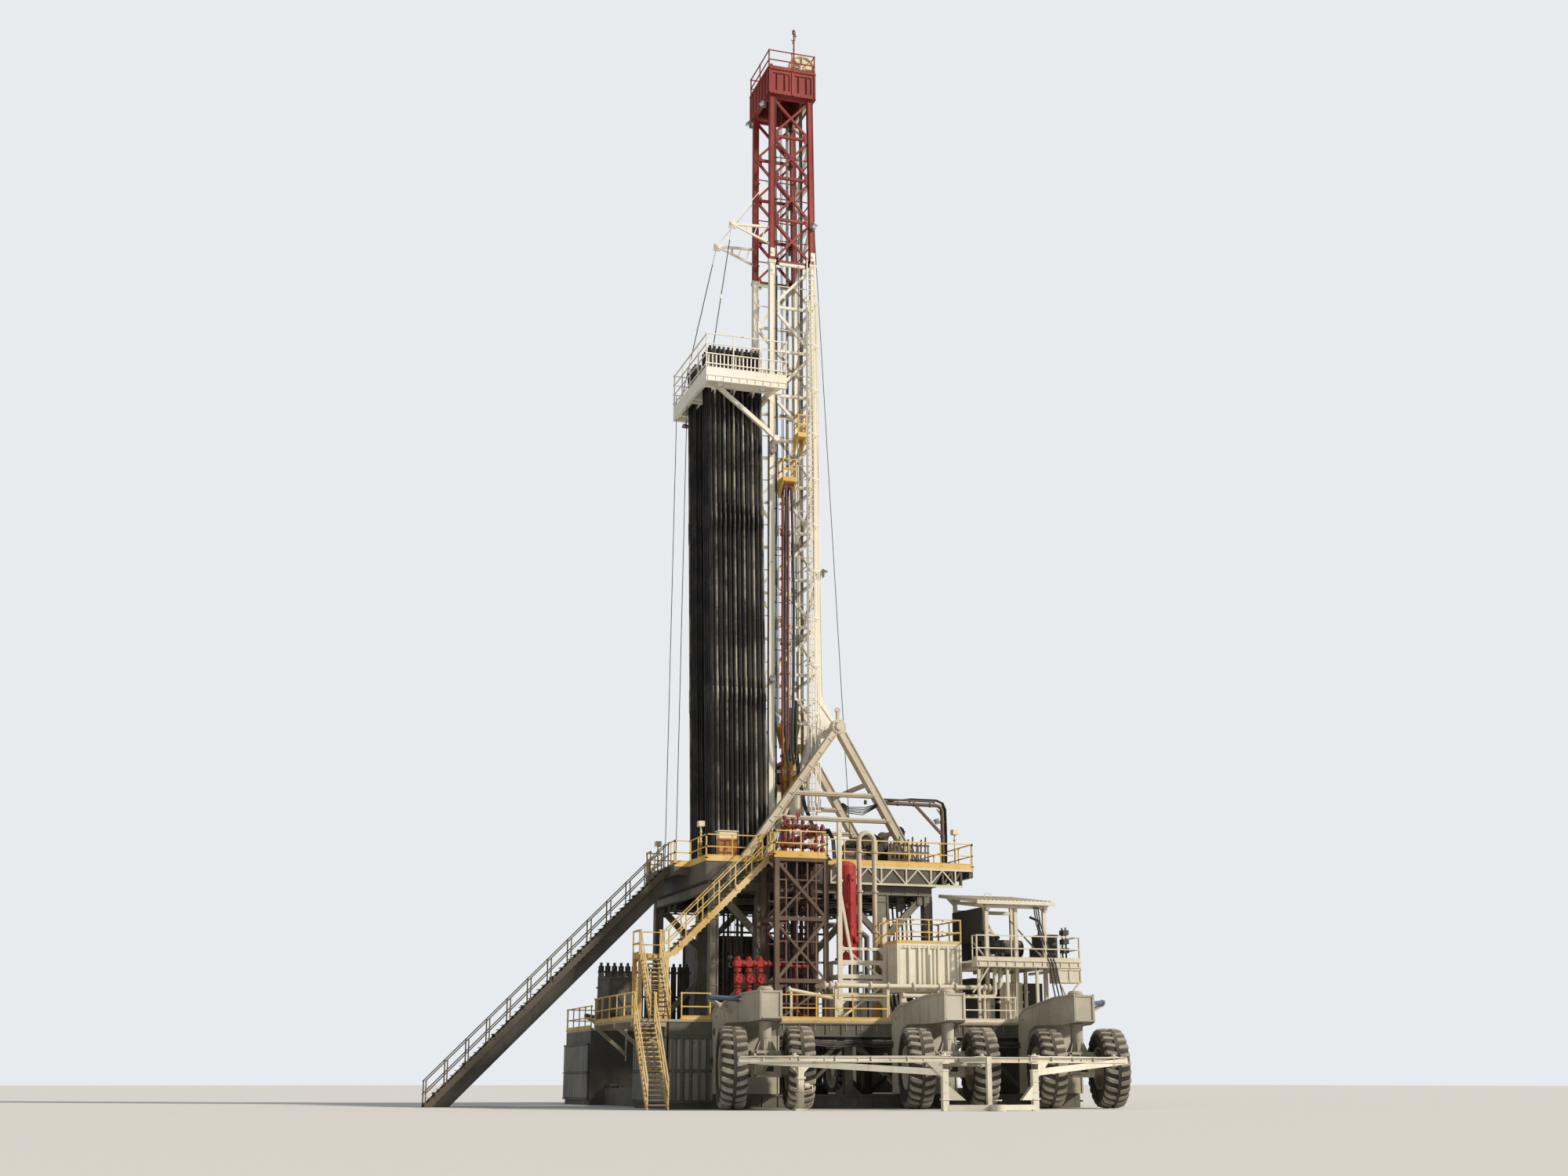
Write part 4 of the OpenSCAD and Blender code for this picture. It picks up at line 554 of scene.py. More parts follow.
work = bmesh.new()
for a, b in (((-4.04, -5.1875), (-3.4, -5.1875)), ((-1.9, -5.1875), (0.6, -5.1875)),
             ((2.1, -5.1875), (3.58, -5.1875)), ((-5.0675, -5.17), (-5.0675, -1.6)),
             ((-5.05, -1.6125), (-4.3, -1.6125)), ((5.0375, -5.2), (5.0375, -2.3)),
             ((-4.3, 5.1875), (-3.4, 5.1875)), ((-1.9, 5.1875), (0.6, 5.1875)),
             ((2.1, 5.1875), (3.58, 5.1875)), ((-4.2875, 2.3), (-4.2875, 5.17)),
             ((5.0375, 2.3), (5.0375, 5.2))):
    rail_shoes(work, a, b, deck_z)
piece("lower_rail_shoes", work, deck_rail_paint, "lower_deck_rails")
work = bmesh.new()
for a, b in (((-2.85, -2.7375), (-1.6, -2.7375)), ((-0.33, -2.7375), (3.7, -2.7375)),
             ((3.6875, -2.75), (3.6875, 2.75)), ((-2.85, 2.7375), (3.7, 2.7375)),
             ((-2.8375, -2.75), (-2.8375, -1.325)), ((-2.8375, 1.325), (-2.8375, 2.75)),
             ((-3.225, -1.3375), (-2.825, -1.3375)), ((-3.225, 1.3375), (-2.825, 1.3375)),
             ((-3.2125, -1.35), (-3.2125, -0.95)), ((-3.2125, 0.95), (-3.2125, 1.35)),
             ((-1.6, -3.8875), (-0.33, -3.8875)), ((-0.3425, -3.9), (-0.3425, -2.725)),
             ((-1.5875, -3.9), (-1.5875, -3.545)), ((-1.5875, -3.055), (-1.5875, -2.725))):
    rail_shoes(work, a, b, floor_z)
piece("floor_rail_shoes", work, yellow_rail, "floor_rails")

# Substructure
# Wide-flange columns and box braces carry the drill floor above the base frames. Gussets
# are bolted over each node, pins hold the braces, and two chain hoists hang at the cellar.
def stud(axis, radius, thick, sides):
    """A round head or bar to repeat."""
    return one(disc, (0, 0, 0), axis, radius, thick, sides)


def pad(work, x, y, half_x, half_y, low, high):
    """A level plate or block about a spot, from its half sizes and its two heights."""
    slab(work, (x - half_x, y - half_y, low), (x + half_x, y + half_y, high))


column_steel = paint("column_steel", (0.135, 0.125, 0.095), (0.27, 0.25, 0.19), dirt=0.5, rust=0.2,
                     dust=0.3)
coat("substructure_frames", column_steel)
coat("substructure_cross_beams", column_steel)
work = bmesh.new()
for side in (-1, 1):
    for face in (side * 2.6, side * 2.4):
        for x, half in ((-2.6, 0.1), (-1.45, 0.15), (1.45, 0.15), (2.6, 0.1)):
            for s in (-1, 1):
                bar(work, x + s * (half - 0.015), face, (deck_z, 4.75), 0.05, 0.03)
            rows(work, block(half, 0.02, 0.01), column_steel, 6, (0, 0, 0.49), (x, face, 2.15))
            slab(work, (x - half - 0.05, face - 0.03, deck_z),
                 (x + half + 0.05, face + 0.03, deck_z + 0.03))
        for s in (-1, 1):
            for node_x, node_z, wide in ((2.52, 4.72, 0.36), (1.45, 3.66, 0.34), (1.45, 3.06, 0.3),
                                         (2.55, 1.98, 0.3), (0.45, 4.8, 0.34)):
                y = side * 2.5 + (0.075 if face > side * 2.5 else -0.075)
                slab(work, (s * node_x - wide / 2, y - 0.012, node_z - wide / 2),
                     (s * node_x + wide / 2, y + 0.012, node_z + wide / 2))
                rows(work, stud(Y, 0.016, 0.05, 6), column_steel, 3, (wide / 2.6, 0, 0),
                     (s * node_x - wide / 2.6, y, node_z - wide / 2.6), 3, (0, 0, wide / 2.6))
    # Stiffeners along the head beam
    for face in (side * 2.6, side * 2.4):
        for z in (4.765, 4.935):
            bar(work, (-2.6, 2.6), face, z, 0.05, 0.03)
        rows(work, block(0.008, 0.022, 0.08), column_steel, 15, (0.34, 0, 0), (-2.38, face, 4.85))
for x in (-2.6, -1.45, 1.45, 2.6):
    for z in (4.765, 4.925):
        bar(work, x, (-2.38, 2.38), z, 0.2, 0.014)
piece("substructure_gussets", work, column_steel, "substructure_frames")

hoist_paint = paint("hoist_paint", (0.12, 0.11, 0.09), (0.22, 0.2, 0.16), rust=0.3, dust=0.2)
for x in (-2.05, 2.05):
    work = bmesh.new()
    y = -2.2
    pad(work, x, y, 0.09, 0.07, 4.52, 4.74)
    disc(work, (x, y, 4.5), Y, 0.085, 0.13)
    for s in (-1, 1):
        link = bmesh.new()
        pipe_run(link, [(0, 0, -0.022), (0.012, 0, -0.008), (0.012, 0, 0.008), (0, 0, 0.022),
                        (-0.012, 0, 0.008), (-0.012, 0, -0.008), (0, 0, -0.022)], 0.005, 5)
        rows(work, link, hoist_paint, 26 if s < 0 else 40, (0, 0, -0.042), (x + s * 0.05, y, 4.42))
    disc(work, (x - 0.05, y, 3.28), Y, 0.05, 0.07)
    pipe_run(work, [(x - 0.05, y, 3.25), (x - 0.05, y, 3.17), (x - 0.09, y, 3.12), (x - 0.075, y, 3.07),
                    (x - 0.03, y, 3.06), (x - 0.005, y, 3.1)], 0.014, 8)
    piece("cellar_hoist_%s" % ("left" if x < 0 else "right"), work, hoist_paint, "substructure_cross_beams")

# Pipework under the floor
# Below the floor run trays of cable, hydraulic lines and mud pipes, all dark with grease.
# A tank and a rack of gas bottles for the blowout preventer stand on the far lower deck.
def bend(a, corner, b, radius, steps=6):
    """Points of a run from a to b that rounds its corner."""
    a, corner, b = Vector(a), Vector(corner), Vector(b)
    one, two = (a - corner).normalized() * radius, (b - corner).normalized() * radius
    curve = []
    for i in range(steps + 1):
        t = i / steps
        curve.append(corner + one * (1 - t) ** 2 + two * t ** 2)
    return [a, *curve, b]


grease_steel = paint("grease_steel", (0.045, 0.04, 0.032), (0.12, 0.105, 0.08), dirt=0.5, rust=0.25,
                     dust=0.25)
work = bmesh.new()
for y in (-2.15, -1.55, -1.05, 1.05, 1.55, 2.15):
    for z in (4.6, 4.66):
        bar(work, (-2.6, 2.6), y, z, 0.24, 0.014)
    rows(work, one(slab, (-0.01, -0.12, -0.03), (0.01, 0.12, 0.09)), grease_steel, 18, (0.3, 0, 0),
         (-2.55, y, 4.63))
    for k in range(4):
        pipe_run(work, [(-2.55, y - 0.08 + 0.05 * k, 4.7), (2.55, y - 0.08 + 0.05 * k, 4.7)], 0.018, 6)
for i in range(15):
    x = -1.2 + 0.17 * i + 0.04 * math.sin(5.1 * i)
    y = 1.45 + 0.3 * math.sin(2.9 * i)
    r = 0.028 + 0.02 * abs(math.sin(3.3 * i))
    pipe_run(work, [(x, y, 4.62), (x, y, 2.6)] + bend((x, y, 2.6), (x, y, 1.95), (x, 2.6, 1.95), 0.15), r,
             10)
    for z in (2.9, 3.6, 4.3):
        flange(work, (x, y, z), Z, r + 0.03, 0.03, 6)
for z in (2.75, 3.45, 4.15):
    bar(work, (-1.35, 1.6), 1.72, z, 0.05, 0.05)
for i in range(7):
    x = 1.75 + 0.11 * i
    pipe_run(work, [(x, -1.9, 4.62), (x + 0.02, -1.95, 3.9), (x - 0.05, -2.05, 3.1), (x, -2.3, 2.3),
                    (x, -2.62, deck_z + 0.06)], 0.024, 8)
for i in range(6):
    x = -1.2 + 0.16 * i
    pipe_run(work, [(x, -2.25, 4.62), (x - 0.03, -2.3, 3.7), (x + 0.04, -2.3, 2.8),
                    (x, -2.7, deck_z + 0.06)], 0.022, 8)
piece("pipes_under_floor", work, grease_steel, "substructure_cross_beams")
work = bmesh.new()
bar(work, (-1.35, 1.6), 3.85, 3.0, 1.5, 2.2)
for x in (-1.36, 1.61):
    for y in (3.1, 4.6):
        bar(work, x, y, (deck_z, 4.1), 0.06, 0.06)
for y in (3.08, 4.62):
    rows(work, block(0.03, 0.025, 1.1), grease_steel, 16, (0.19, 0, 0), (-1.28, y, 3.0))
    for z in (1.84, 4.12):
        bar(work, (-1.38, 1.63), y, z, 0.07, 0.08)
for i in range(14):
    disc(work, (-3.9 + 0.17 * i, 3.1, 2.6), Z, 0.07, 1.5, 16)
    disc(work, (-3.9 + 0.17 * i, 3.1, 3.38), Z, 0.035, 0.1, 12)
for z in (2.0, 2.6, 3.2):
    bar(work, (-4.0, -1.6), 3.02, z, 0.04, 0.05)
pipe_run(work, [(1.9, 4.2, deck_z + 0.1), (1.9, 4.2, 3.6), (1.9, 4.2, 4.3), (2.3, 4.2, 4.6),
                (3.2, 4.2, 4.6), (3.6, 4.2, 4.3), (3.6, 4.2, deck_z + 0.1)], 0.07, 14)
bar(work, (2.3, 4.3), 3.7, 2.3, 0.9, 0.9)
rows(work, block(0.03, 0.02, 0.45), grease_steel, 9, (0.24, 0, 0), (2.34, 3.24, 2.3))
piece("far_deck_tank_and_bottles", work, grease_steel, "lower_decks")

# Drill floor
# Checkered plate on deep beams, with a light cream truss along its long edges. The rotary
# table sits in the opening in its bolted ring, with round caps and small plates about it.
def ring_spot(centre, axis, radius, turn):
    """A point on a ring about an axis, at an angle."""
    x, y, z = centre
    one, two = radius * math.cos(turn), radius * math.sin(turn)
    return {X: (x, y + one, z + two), Y: (x + one, y, z + two), Z: (x + one, y + two, z)}[axis]


def ring_line(centre, axis, radius, steps):
    """The points of a closed ring about an axis."""
    return [ring_spot(centre, axis, radius, math.tau * i / steps) for i in range(steps + 1)]


def outline(work, points, wide, deep, up=Z):
    """Flat bars from each point to the next."""
    for a, b in zip(points, points[1:]):
        beam(work, a, b, wide, deep, up)


def bolt_circle(work, centre, axis, radius, count, size, tall, start=0.0):
    """Bolt heads in a circle about an axis."""
    for i in range(count):
        disc(work, ring_spot(centre, axis, radius, math.tau * (i + start) / count), axis, size, tall, 6)


# The floor steel is darkened so the beams behind the cream edge truss read dark: painted shade under the
# floor's edge, over the steel's own dark paint.
floor_steel = paint("floor_steel", (0.065, 0.06, 0.046), (0.13, 0.115, 0.085), dirt=0.5, rust=0.3)
coat("drill_floor", floor_steel)
truss_cream = paint("truss_cream", (0.58, 0.52, 0.4), (0.7, 0.65, 0.53), dirt=0.4, rust=0.2)
work = bmesh.new()
truss_bays, truss_left, truss_pitch = 5, 0.12, 0.62
for side in (-1, 1):
    y = side * 2.762
    bar(work, (truss_left, 3.42), y, 4.985, 0.03, 0.05)
    bar(work, (truss_left, 3.68), y, 5.365, 0.03, 0.05)
    rows(work, block(0.018, 0.014, 0.19), truss_cream, truss_bays + 1, (truss_pitch, 0, 0),
         (truss_left + 0.02, y, 5.175))
    for i in range(truss_bays):
        a, b = truss_left + truss_pitch * i, truss_left + truss_pitch * (i + 1)
        mid = (a + b) / 2
        beam(work, (a, y, 5.01), (mid, y, 5.345), 0.024, 0.03)
        beam(work, (b, y, 5.01), (mid, y, 5.345), 0.024, 0.03)
piece("floor_edge_truss", work, truss_cream, "drill_floor")
work = bmesh.new()
for a, b in (((-2.85, -2.757), (-1.6, -2.757)), ((-0.33, -2.757), (3.7, -2.757)),
             ((3.707, -2.75), (3.707, 2.75)), ((-2.85, 2.757), (3.7, 2.757)),
             ((-2.857, -2.75), (-2.857, -1.35)), ((-2.857, 1.35), (-2.857, 2.75)),
             ((-3.225, -1.357), (-2.85, -1.357)), ((-3.225, 1.357), (-2.85, 1.357)),
             ((-1.6, -3.907), (-0.33, -3.907))):
    beam(work, (*a, 5.425), (*b, 5.425), 0.016, 0.08)
piece("floor_edge_band", work, yellow_rail, "floor_rails")
work = bmesh.new()
tread = bmesh.new()
beam(tread, (-0.02, -0.02, 0.002), (0.02, 0.02, 0.002), 0.008, 0.006)
rows(work, tread, floor_steel, 64, (0.1, 0, 0), (-2.75, -2.62, floor_z), 10, (0, 0.1, 0))
tread = bmesh.new()
beam(tread, (-0.02, 0.02, 0.002), (0.02, -0.02, 0.002), 0.008, 0.006)
rows(work, tread, floor_steel, 64, (0.1, 0, 0), (-2.7, 1.72, floor_z), 10, (0, 0.1, 0))
for r, z in ((0.36, 5.462), (0.3, 5.474)):
    outline(work, ring_line((0, 0, z), Z, r, 48), 0.07, 0.024)
bolt_circle(work, (0, 0, floor_z + 0.03), Z, 0.36, 24, 0.014, 0.02)
for x, y in ((0.62, -0.4), (0.62, 0.4), (-0.95, 0.0)):
    disc(work, (x, y, floor_z + 0.012), Z, 0.1, 0.024)
for y in (-1.55, 1.55):
    for x in (-2.4, -1.0, 0.4, 1.8):
        slab(work, (x, y - 0.04, floor_z), (x + 0.06, y + 0.04, floor_z + 0.012))
piece("floor_plating", work, floor_steel, "drill_floor")

# Mast
# A lattice mast with an open front: cream lower section, red upper section and crown. The
# legs are rolled sections with bolted gussets at each bay, pinned splices, and cable runs.
cream_paint = paint("cream_paint", (0.8, 0.74, 0.61), (0.86, 0.82, 0.73), dirt=0.35, rust=0.18, dust=0.3)
red_paint = paint("red_paint", (0.23, 0.022, 0.017), (0.33, 0.055, 0.04), dirt=0.5, rust=0.2, dust=0.15)
for name in ("mast_lower_sides", "mast_back_bracing"):
    coat(name, cream_paint)
coat("mast_upper_sides", red_paint)
coat("guide_rails", column_steel)
splice_z, mast_out = box_of("mast_lower_sides")[1][2], box_of("mast_lower_sides")[1][1]
crown_z, crown_top = box_of("crown_block")[0][2], box_of("crown_block")[1][2]
leg_size = 0.14
mast_y = mast_out - leg_size / 2
knee_x, knee_z = 0.85, 8.9
back_lean = 0.25 / (crown_z - floor_z)
pitch = (splice_z - floor_z) / 13


def back_leg(z):
    """Centre of the mast's back legs at a height."""
    return 0.625 - back_lean * (z - floor_z)


for name, finish, z_low, z_high, node in (("lower", cream_paint, floor_z, splice_z, "mast_lower_sides"),
                                          ("upper", red_paint, splice_z, crown_z, "mast_upper_sides")):
    work = bmesh.new()
    step = pitch if name == "lower" else 1.2
    first, count = (floor_z + 3 * pitch - 0.035, 11) if name == "lower" else (splice_z + 0.035, 4)
    for side in (-1, 1):
        for face in (side * mast_out, side * (mast_out - leg_size)):
            for x in (-0.737, -0.613):
                bar(work, x, face, (z_low + 0.02, z_high - 0.02), 0.024, 0.016)
            for dx in (-0.062, 0.062):
                low = max(z_low, 9.75)
                beam(work, (back_leg(low) + dx, face, low), (back_leg(z_high) + dx, face, z_high), 0.024,
                     0.016, up=X)
        # Gussets over the bay nodes, with their bolts
        y = side * 0.768
        for lean, x in ((0.0, -0.575), (-back_lean, back_leg(first) - 0.1)):
            plate = bmesh.new()
            slab(plate, (-0.09, -0.008, -0.12), (0.09, 0.008, 0.12))
            gusset(plate, (-0.09, 0, 0.12), (0.18, 0, 0), (0, 0, 0.09), (0, 0.016, 0))
            for i in (-1, 1):
                for j in (-1, 0, 1):
                    disc(plate, (i * 0.055, side * 0.014, j * 0.085), Y, 0.013, 0.016, 6)
            rows(work, plate, finish, count, (lean * step, 0, step), (x, y, first))
        # Short lacing on the inside of the front legs
        plate = bmesh.new()
        beam(plate, (-0.06, 0, 0.0), (0.06, 0, 0.2), 0.012, 0.03)
        beam(plate, (0.06, 0, 0.2), (-0.06, 0, 0.4), 0.012, 0.03)
        rows(work, plate, finish, int((z_high - z_low) / 0.4), (0, 0, 0.4),
             (-0.675, side * 0.648, z_low + 0.05))
        # Light cross bars between the legs at half bays
        plate = bmesh.new()
        pipe_run(plate, [(-0.6, side * 0.7, 0), (back_leg(first) - 0.12, side * 0.7, 0)], 0.016, 8)
        rows(work, plate, finish, count - 1, (0, 0, step), (0, 0, first + step / 2))
    # Rungs across the back, between its two legs
    for i in range(count - 1):
        z = first + step * (i + 0.5)
        pipe_run(work, [(back_leg(z), -0.66, z), (back_leg(z), 0.66, z)], 0.018, 8)
    piece("mast_plates_" + name, work, finish, node)

work = bmesh.new()
for side in (-1, 1):
    for x in (-0.675, back_leg(splice_z)):
        pad(work, x, side * mast_y, 0.095, 0.095, 21.165, 21.195)
        pad(work, x, side * mast_y, 0.095, 0.095, splice_z + 0.005, splice_z + 0.035)
        for i in (-1, 1):
            for j in (-1, 1):
                disc(work, (x + i * 0.08, side * mast_y + j * 0.08, splice_z), Z, 0.012, 0.11, 6)
        for z in (20.95, 21.45):
            pad(work, x, side * 0.8, 0.06, 0.01, z - 0.12, z + 0.12)
            disc(work, (x, side * 0.805, z), Y, 0.035, 0.05, 16)
    # Knee: pin plates and stiffeners where the A-frame takes the mast
    for y in (side * 0.8, side * 0.65):
        disc(work, (knee_x, y, knee_z), Y, 0.17, 0.03, 32)
        bolt_circle(work, (knee_x, y, knee_z), Y, 0.14, 12, 0.012, 0.05)
        for a, b in (((0.5, 9.66), (0.97, 9.03)), ((0.5, 8.75), (0.97, 8.77)), ((0.97, 9.03), (0.97, 8.77)),
                     ((0.42, 9.0), (0.7, 8.9))):
            beam(work, (a[0], y, a[1]), (b[0], y, b[1]), 0.03, 0.03)
    for a, b in (((0.4, 9.05), (-0.66, 5.5)), ((0.66, 9.0), (-0.32, 5.5))):
        for y in (side * 0.8, side * 0.65):
            beam(work, (a[0], y, a[1]), (b[0], y, b[1]), 0.024, 0.024)
    for i in range(7):
        t = (i + 0.5) / 7
        x, z = 0.52 - t, 8.95 - 3.4 * t
        beam(work, (x - 0.13, side * 0.8, z - 0.06), (x + 0.13, side * 0.8, z + 0.06), 0.018, 0.018)
    # Foot work and hinge pins
    slab(work, (-0.8, side * mast_y - 0.13, floor_z), (-0.22, side * mast_y + 0.13, floor_z + 0.05))
    for x in (-0.62, -0.34):
        gusset(work, (x, side * 0.8, floor_z + 0.05), (0.0, side * 0.1, 0), (0, 0, 0.22), (0.02, 0, 0))
    disc(work, (-0.48, side * mast_y, 5.66), Y, 0.06, 0.22, 20)
    for x in (-0.76, -0.52, -0.26):
        for y in (-0.1, 0.1):
            disc(work, (x, side * mast_y + y, floor_z + 0.055), Z, 0.016, 0.03, 6)
piece("mast_splice_and_knee", work, cream_paint, "mast_lower_sides")

work = bmesh.new()
for side in (-1, 1):
    for k in range(4):
        x, y = -0.6 + 0.016 * k, side * (0.8 + 0.01 * (k % 2))
        top = 25.9 if k < 2 else 20.8
        count = int((top - 5.6) / 0.6)
        pipe_run(work,
                 [(x + 0.004 * math.sin(1.7 * i + k), y + side * 0.004 * math.cos(2.3 * i + k),
                   5.6 + (top - 5.6) * i / count) for i in range(count + 1)], 0.0065 + 0.002 * (k % 2), 6)
    clip = one(slab, (-0.035, -0.022, -0.012), (0.04, 0.022, 0.012))
    rows(work, clip, black_rubber, 16, (0, 0, pitch), (-0.576, side * 0.8, 6.0))
# Hose bundle that loops from the foot of the mast up to the standpipe side
for k in range(3):
    dx = 0.035 * k
    pipe_run(work, [(-0.1 + dx, -0.8, 9.6), (-0.12 + dx, -0.84, 8.6), (-0.06 + dx, -0.93, 7.7),
                    (0.06 + dx, -1.0, 7.0), (0.24 + dx, -1.02, 6.55), (0.46 + dx, -1.0, 6.35),
                    (0.66 + dx, -0.98, 6.45), (0.8 + dx, -0.96, 6.2), (0.86 + dx, -0.94, floor_z + 0.01)],
             0.017, 8)
piece("mast_cables", work, black_rubber, "mast_lower_sides")

# Floodlights on short brackets up the legs, their lenses pale
lamp_grey = paint("lamp_grey", (0.2, 0.19, 0.17), (0.3, 0.29, 0.26), dirt=0.3, rust=0.1, dust=0.3)
lens_pale = paint("lens_pale", (0.72, 0.72, 0.66), (0.8, 0.8, 0.76), dirt=0.3, rust=0.0, dust=0.2,
                  rough=0.25)


def floodlight(work, glass, at, aim, size=0.1):
    """A lamp: finned body, hood and yoke, with the lens on its aim side."""
    at, aim = Vector(at), Vector(aim).normalized()
    side = aim.cross(over(1)).normalized()
    rise = side.cross(aim).normalized()
    beam(work, at - aim * size * 0.5, at + aim * size * 0.4, size * 1.5, size * 1.1, up=rise)
    for i in range(4):
        p = at - aim * size * (0.5 + 0.05) + side * size * (i - 1.5) * 0.36
        beam(work, p - rise * size * 0.45, p + rise * size * 0.45, size * 0.08, size * 0.2, up=aim)
    beam(work, at + aim * size * 0.3 + rise * size * 0.58, at + aim * size * 0.75 + rise * size * 0.58,
         size * 1.55, size * 0.06, up=rise)
    for s in (-1, 1):
        p = at + side * s * size * 0.82
        beam(work, p + rise * 0.1 * size, p - rise * size * 0.95, size * 0.1, size * 0.3, up=aim)
    beam(work, at - rise * size * 0.92 - side * size * 0.82, at - rise * size * 0.92 + side * size * 0.82,
         size * 0.3, size * 0.1)
    beam(glass, at + aim * size * 0.39, at + aim * size * 0.45, size * 1.3, size * 0.9, up=rise)


lamp_work, lens_work = bmesh.new(), bmesh.new()
for x, y, z, aim in ((-0.68, -0.9, 10.1, (-0.3, -1, -0.7)), (-0.68, 0.9, 10.1, (-0.3, 1, -0.7)),
                     (-0.68, -0.9, 16.0, (-0.6, -1, -0.9)), (-0.68, 0.9, 16.0, (-0.6, 1, -0.9)),
                     (0.42, -0.92, 22.3, (0.6, -1, -0.9)), (0.42, 0.92, 22.3, (0.6, 1, -0.9)),
                     (0.66, -0.9, 12.9, (1, -0.6, -0.8)), (0.66, 0.9, 12.9, (1, 0.6, -0.8)),
                     (-0.9, -0.6, 25.8, (-1, -0.3, -1.2)), (-0.9, 0.6, 25.8, (-1, 0.3, -1.2))):
    floodlight(lamp_work, lens_work, (x, y, z), aim)
    anchor = (x if abs(y) > 0.7 else -0.8, math.copysign(min(abs(y), 0.78), y), z - 0.1)
    beam(lamp_work, (x, y, z - 0.1), anchor, 0.03, 0.03)
piece("mast_floodlights", lamp_work, lamp_grey, "mast_lower_sides")
piece("mast_floodlight_lenses", lens_work, lens_pale, "mast_lower_sides")

# Ladder, rest platform and stabbing basket
# A caged ladder climbs the near side to the upper mast. A fall-arrest rail runs up its
# middle, and two small railed platforms of folded plate and grating hang off the bay struts.
ladder_x = 0.33
coat("mast_ladder", cream_paint)
coat("mast_platforms", yellow_rail)
work = bmesh.new()
pipe_run(work, [(ladder_x, -0.945, floor_z + 0.15), (ladder_x, -0.945, 21.25)], 0.009, 8)
rows(work, block(0.02, 0.012, 0.008), cream_paint, 34, (0, 0, 0.45), (ladder_x, -0.938, 5.9))
rows(work, stud(X, 0.012, 0.23, 8), cream_paint, 103, (0, 0, 0.15), (ladder_x, -0.925, floor_z + 0.159))
for s in (-1, 1):
    for i in range(6):
        z = floor_z + pitch * (4 + 2 * i) - 0.035
        disc(work, (ladder_x + s * 0.1, -0.945, z), Y, 0.014, 0.02, 6)
piece("ladder_rungs", work, cream_paint, "mast_ladder")
work = bmesh.new()
for x0, x1, z in ((-0.12, 0.11, floor_z + 9 * pitch), (-0.52, -0.16, floor_z + 8 * pitch)):
    rows(work, one(slab, (x0 + 0.01, -0.003, 0), (x1 - 0.01, 0.003, 0.01)), yellow_rail, 13, (0, 0.03, 0),
         (0, -1.185, z))
    bar(work, (x0, x1), -1.205, z + 0.29, 0.034, 0.034)
    for x in (x0 + 0.012, x1 - 0.012):
        bar(work, x, (-1.2, -0.82), z + 0.55, 0.034, 0.034)
    for x in (x0, x1):
        beam(work, (x, -1.19, z - 0.02), (x, -0.8, z - 0.34), 0.02, 0.03)
piece("rest_platform_grating", work, yellow_rail, "mast_platforms")

# Crown
# The crown block is a red box of plate girders with the sheave cluster on top. Its deck is
# railed, a timber bumper sits below it, and a pole carries the beacon and the wind gauge.
def spokes(work, hub, axis, radius, count, wide, deep):
    """Flat spokes from a hub out to its rim."""
    for i in range(count):
        beam(work, hub, ring_spot(hub, axis, radius, math.tau * i / count), wide, deep, up=axis)


for name in ("crown_block", "crown_rails"):
    coat(name, red_paint)
coat("crown_sheaves", yellow_rail)
work = bmesh.new()
for side in (-1, 1):
    y = side * 0.856
    for z in (26.015, 26.735):
        bar(work, (-0.8, 0.5), y, z, 0.03, 0.03)
    for x in (-0.785, -0.15, 0.485):
        bar(work, x, y, (crown_z, crown_top), 0.03, 0.03)
    for x in (-0.455, 0.155):
        rows(work, block(0.006, 0.022, 0.25), red_paint, 2, (0.22, 0, 0), (x - 0.11, side * 0.838, 26.375))
    for z in (26.735, 26.015):
        rows(work, stud(Y, 0.014, 0.03, 6), red_paint, 14, (0.096, 0, 0), (-0.77, side * 0.875, z))
    for x in (-0.72, 0.42):
        bar(work, x, side * 0.8, (crown_top, crown_top + 0.1), 0.05, 0.03)
        disc(work, (x, side * 0.8, crown_top + 0.11), Y, 0.045, 0.03, 16)
for x in (-0.806, 0.506):
    for z in (26.015, 26.735):
        bar(work, x, (-0.85, 0.85), z, 0.03, 0.03)
    rows(work, block(0.02, 0.006, 0.34), red_paint, 7, (0, 0.27, 0), (x, -0.81, 26.375))
for y in (-0.6, 0.45):
    slab(work, (-0.7, y, 25.94), (-0.38, y + 0.15, crown_z))
rows(work, slat(0.2, 0.004, 0.012), red_paint, 37, (0, 0.045, 0), (-0.59, -0.81, crown_top))
piece("crown_girders", work, red_paint, "crown_block")
work = bmesh.new()
for a, b in (((-0.8, -0.8375), (0.5, -0.8375)), ((-0.8, 0.8375), (0.5, 0.8375)),
             ((-0.7875, -0.82), (-0.7875, 0.82))):
    rail_shoes(work, a, b, crown_top)
piece("crown_rail_shoes", work, red_paint, "crown_rails")
sheave_z = 26.86
work = bmesh.new()
for y in (-0.3, -0.18, 0.18, 0.3):
    pipe_run(work, [ring_spot((0, y, sheave_z), Y, 0.315, math.radians(25 + 13 * i)) for i in range(11)],
             0.012, 6)
for s in (-1, 1):
    for x in (-0.3, 0.3):
        beam(work, (x, s * 0.465, crown_top + 0.01), (0.0, s * 0.465, 27.0), 0.014, 0.04)
    disc(work, (0, s * 0.475, sheave_z), Y, 0.075, 0.03, 24)
    bolt_circle(work, (0, s * 0.485, sheave_z), Y, 0.058, 8, 0.009, 0.03)
    disc(work, (0.27, s * 0.072, 26.92), Y, 0.06, 0.02, 20)
piece("crown_sheave_guards", work, yellow_rail, "crown_sheaves")
guide_x, guide_z = 0.22, 27.02
pole_x, pole_y = -0.06, -0.73
sheave_cream = paint("sheave_cream", (0.66, 0.52, 0.3), (0.78, 0.68, 0.48), dirt=0.5, rust=0.3, dust=0.2)
work = bmesh.new()
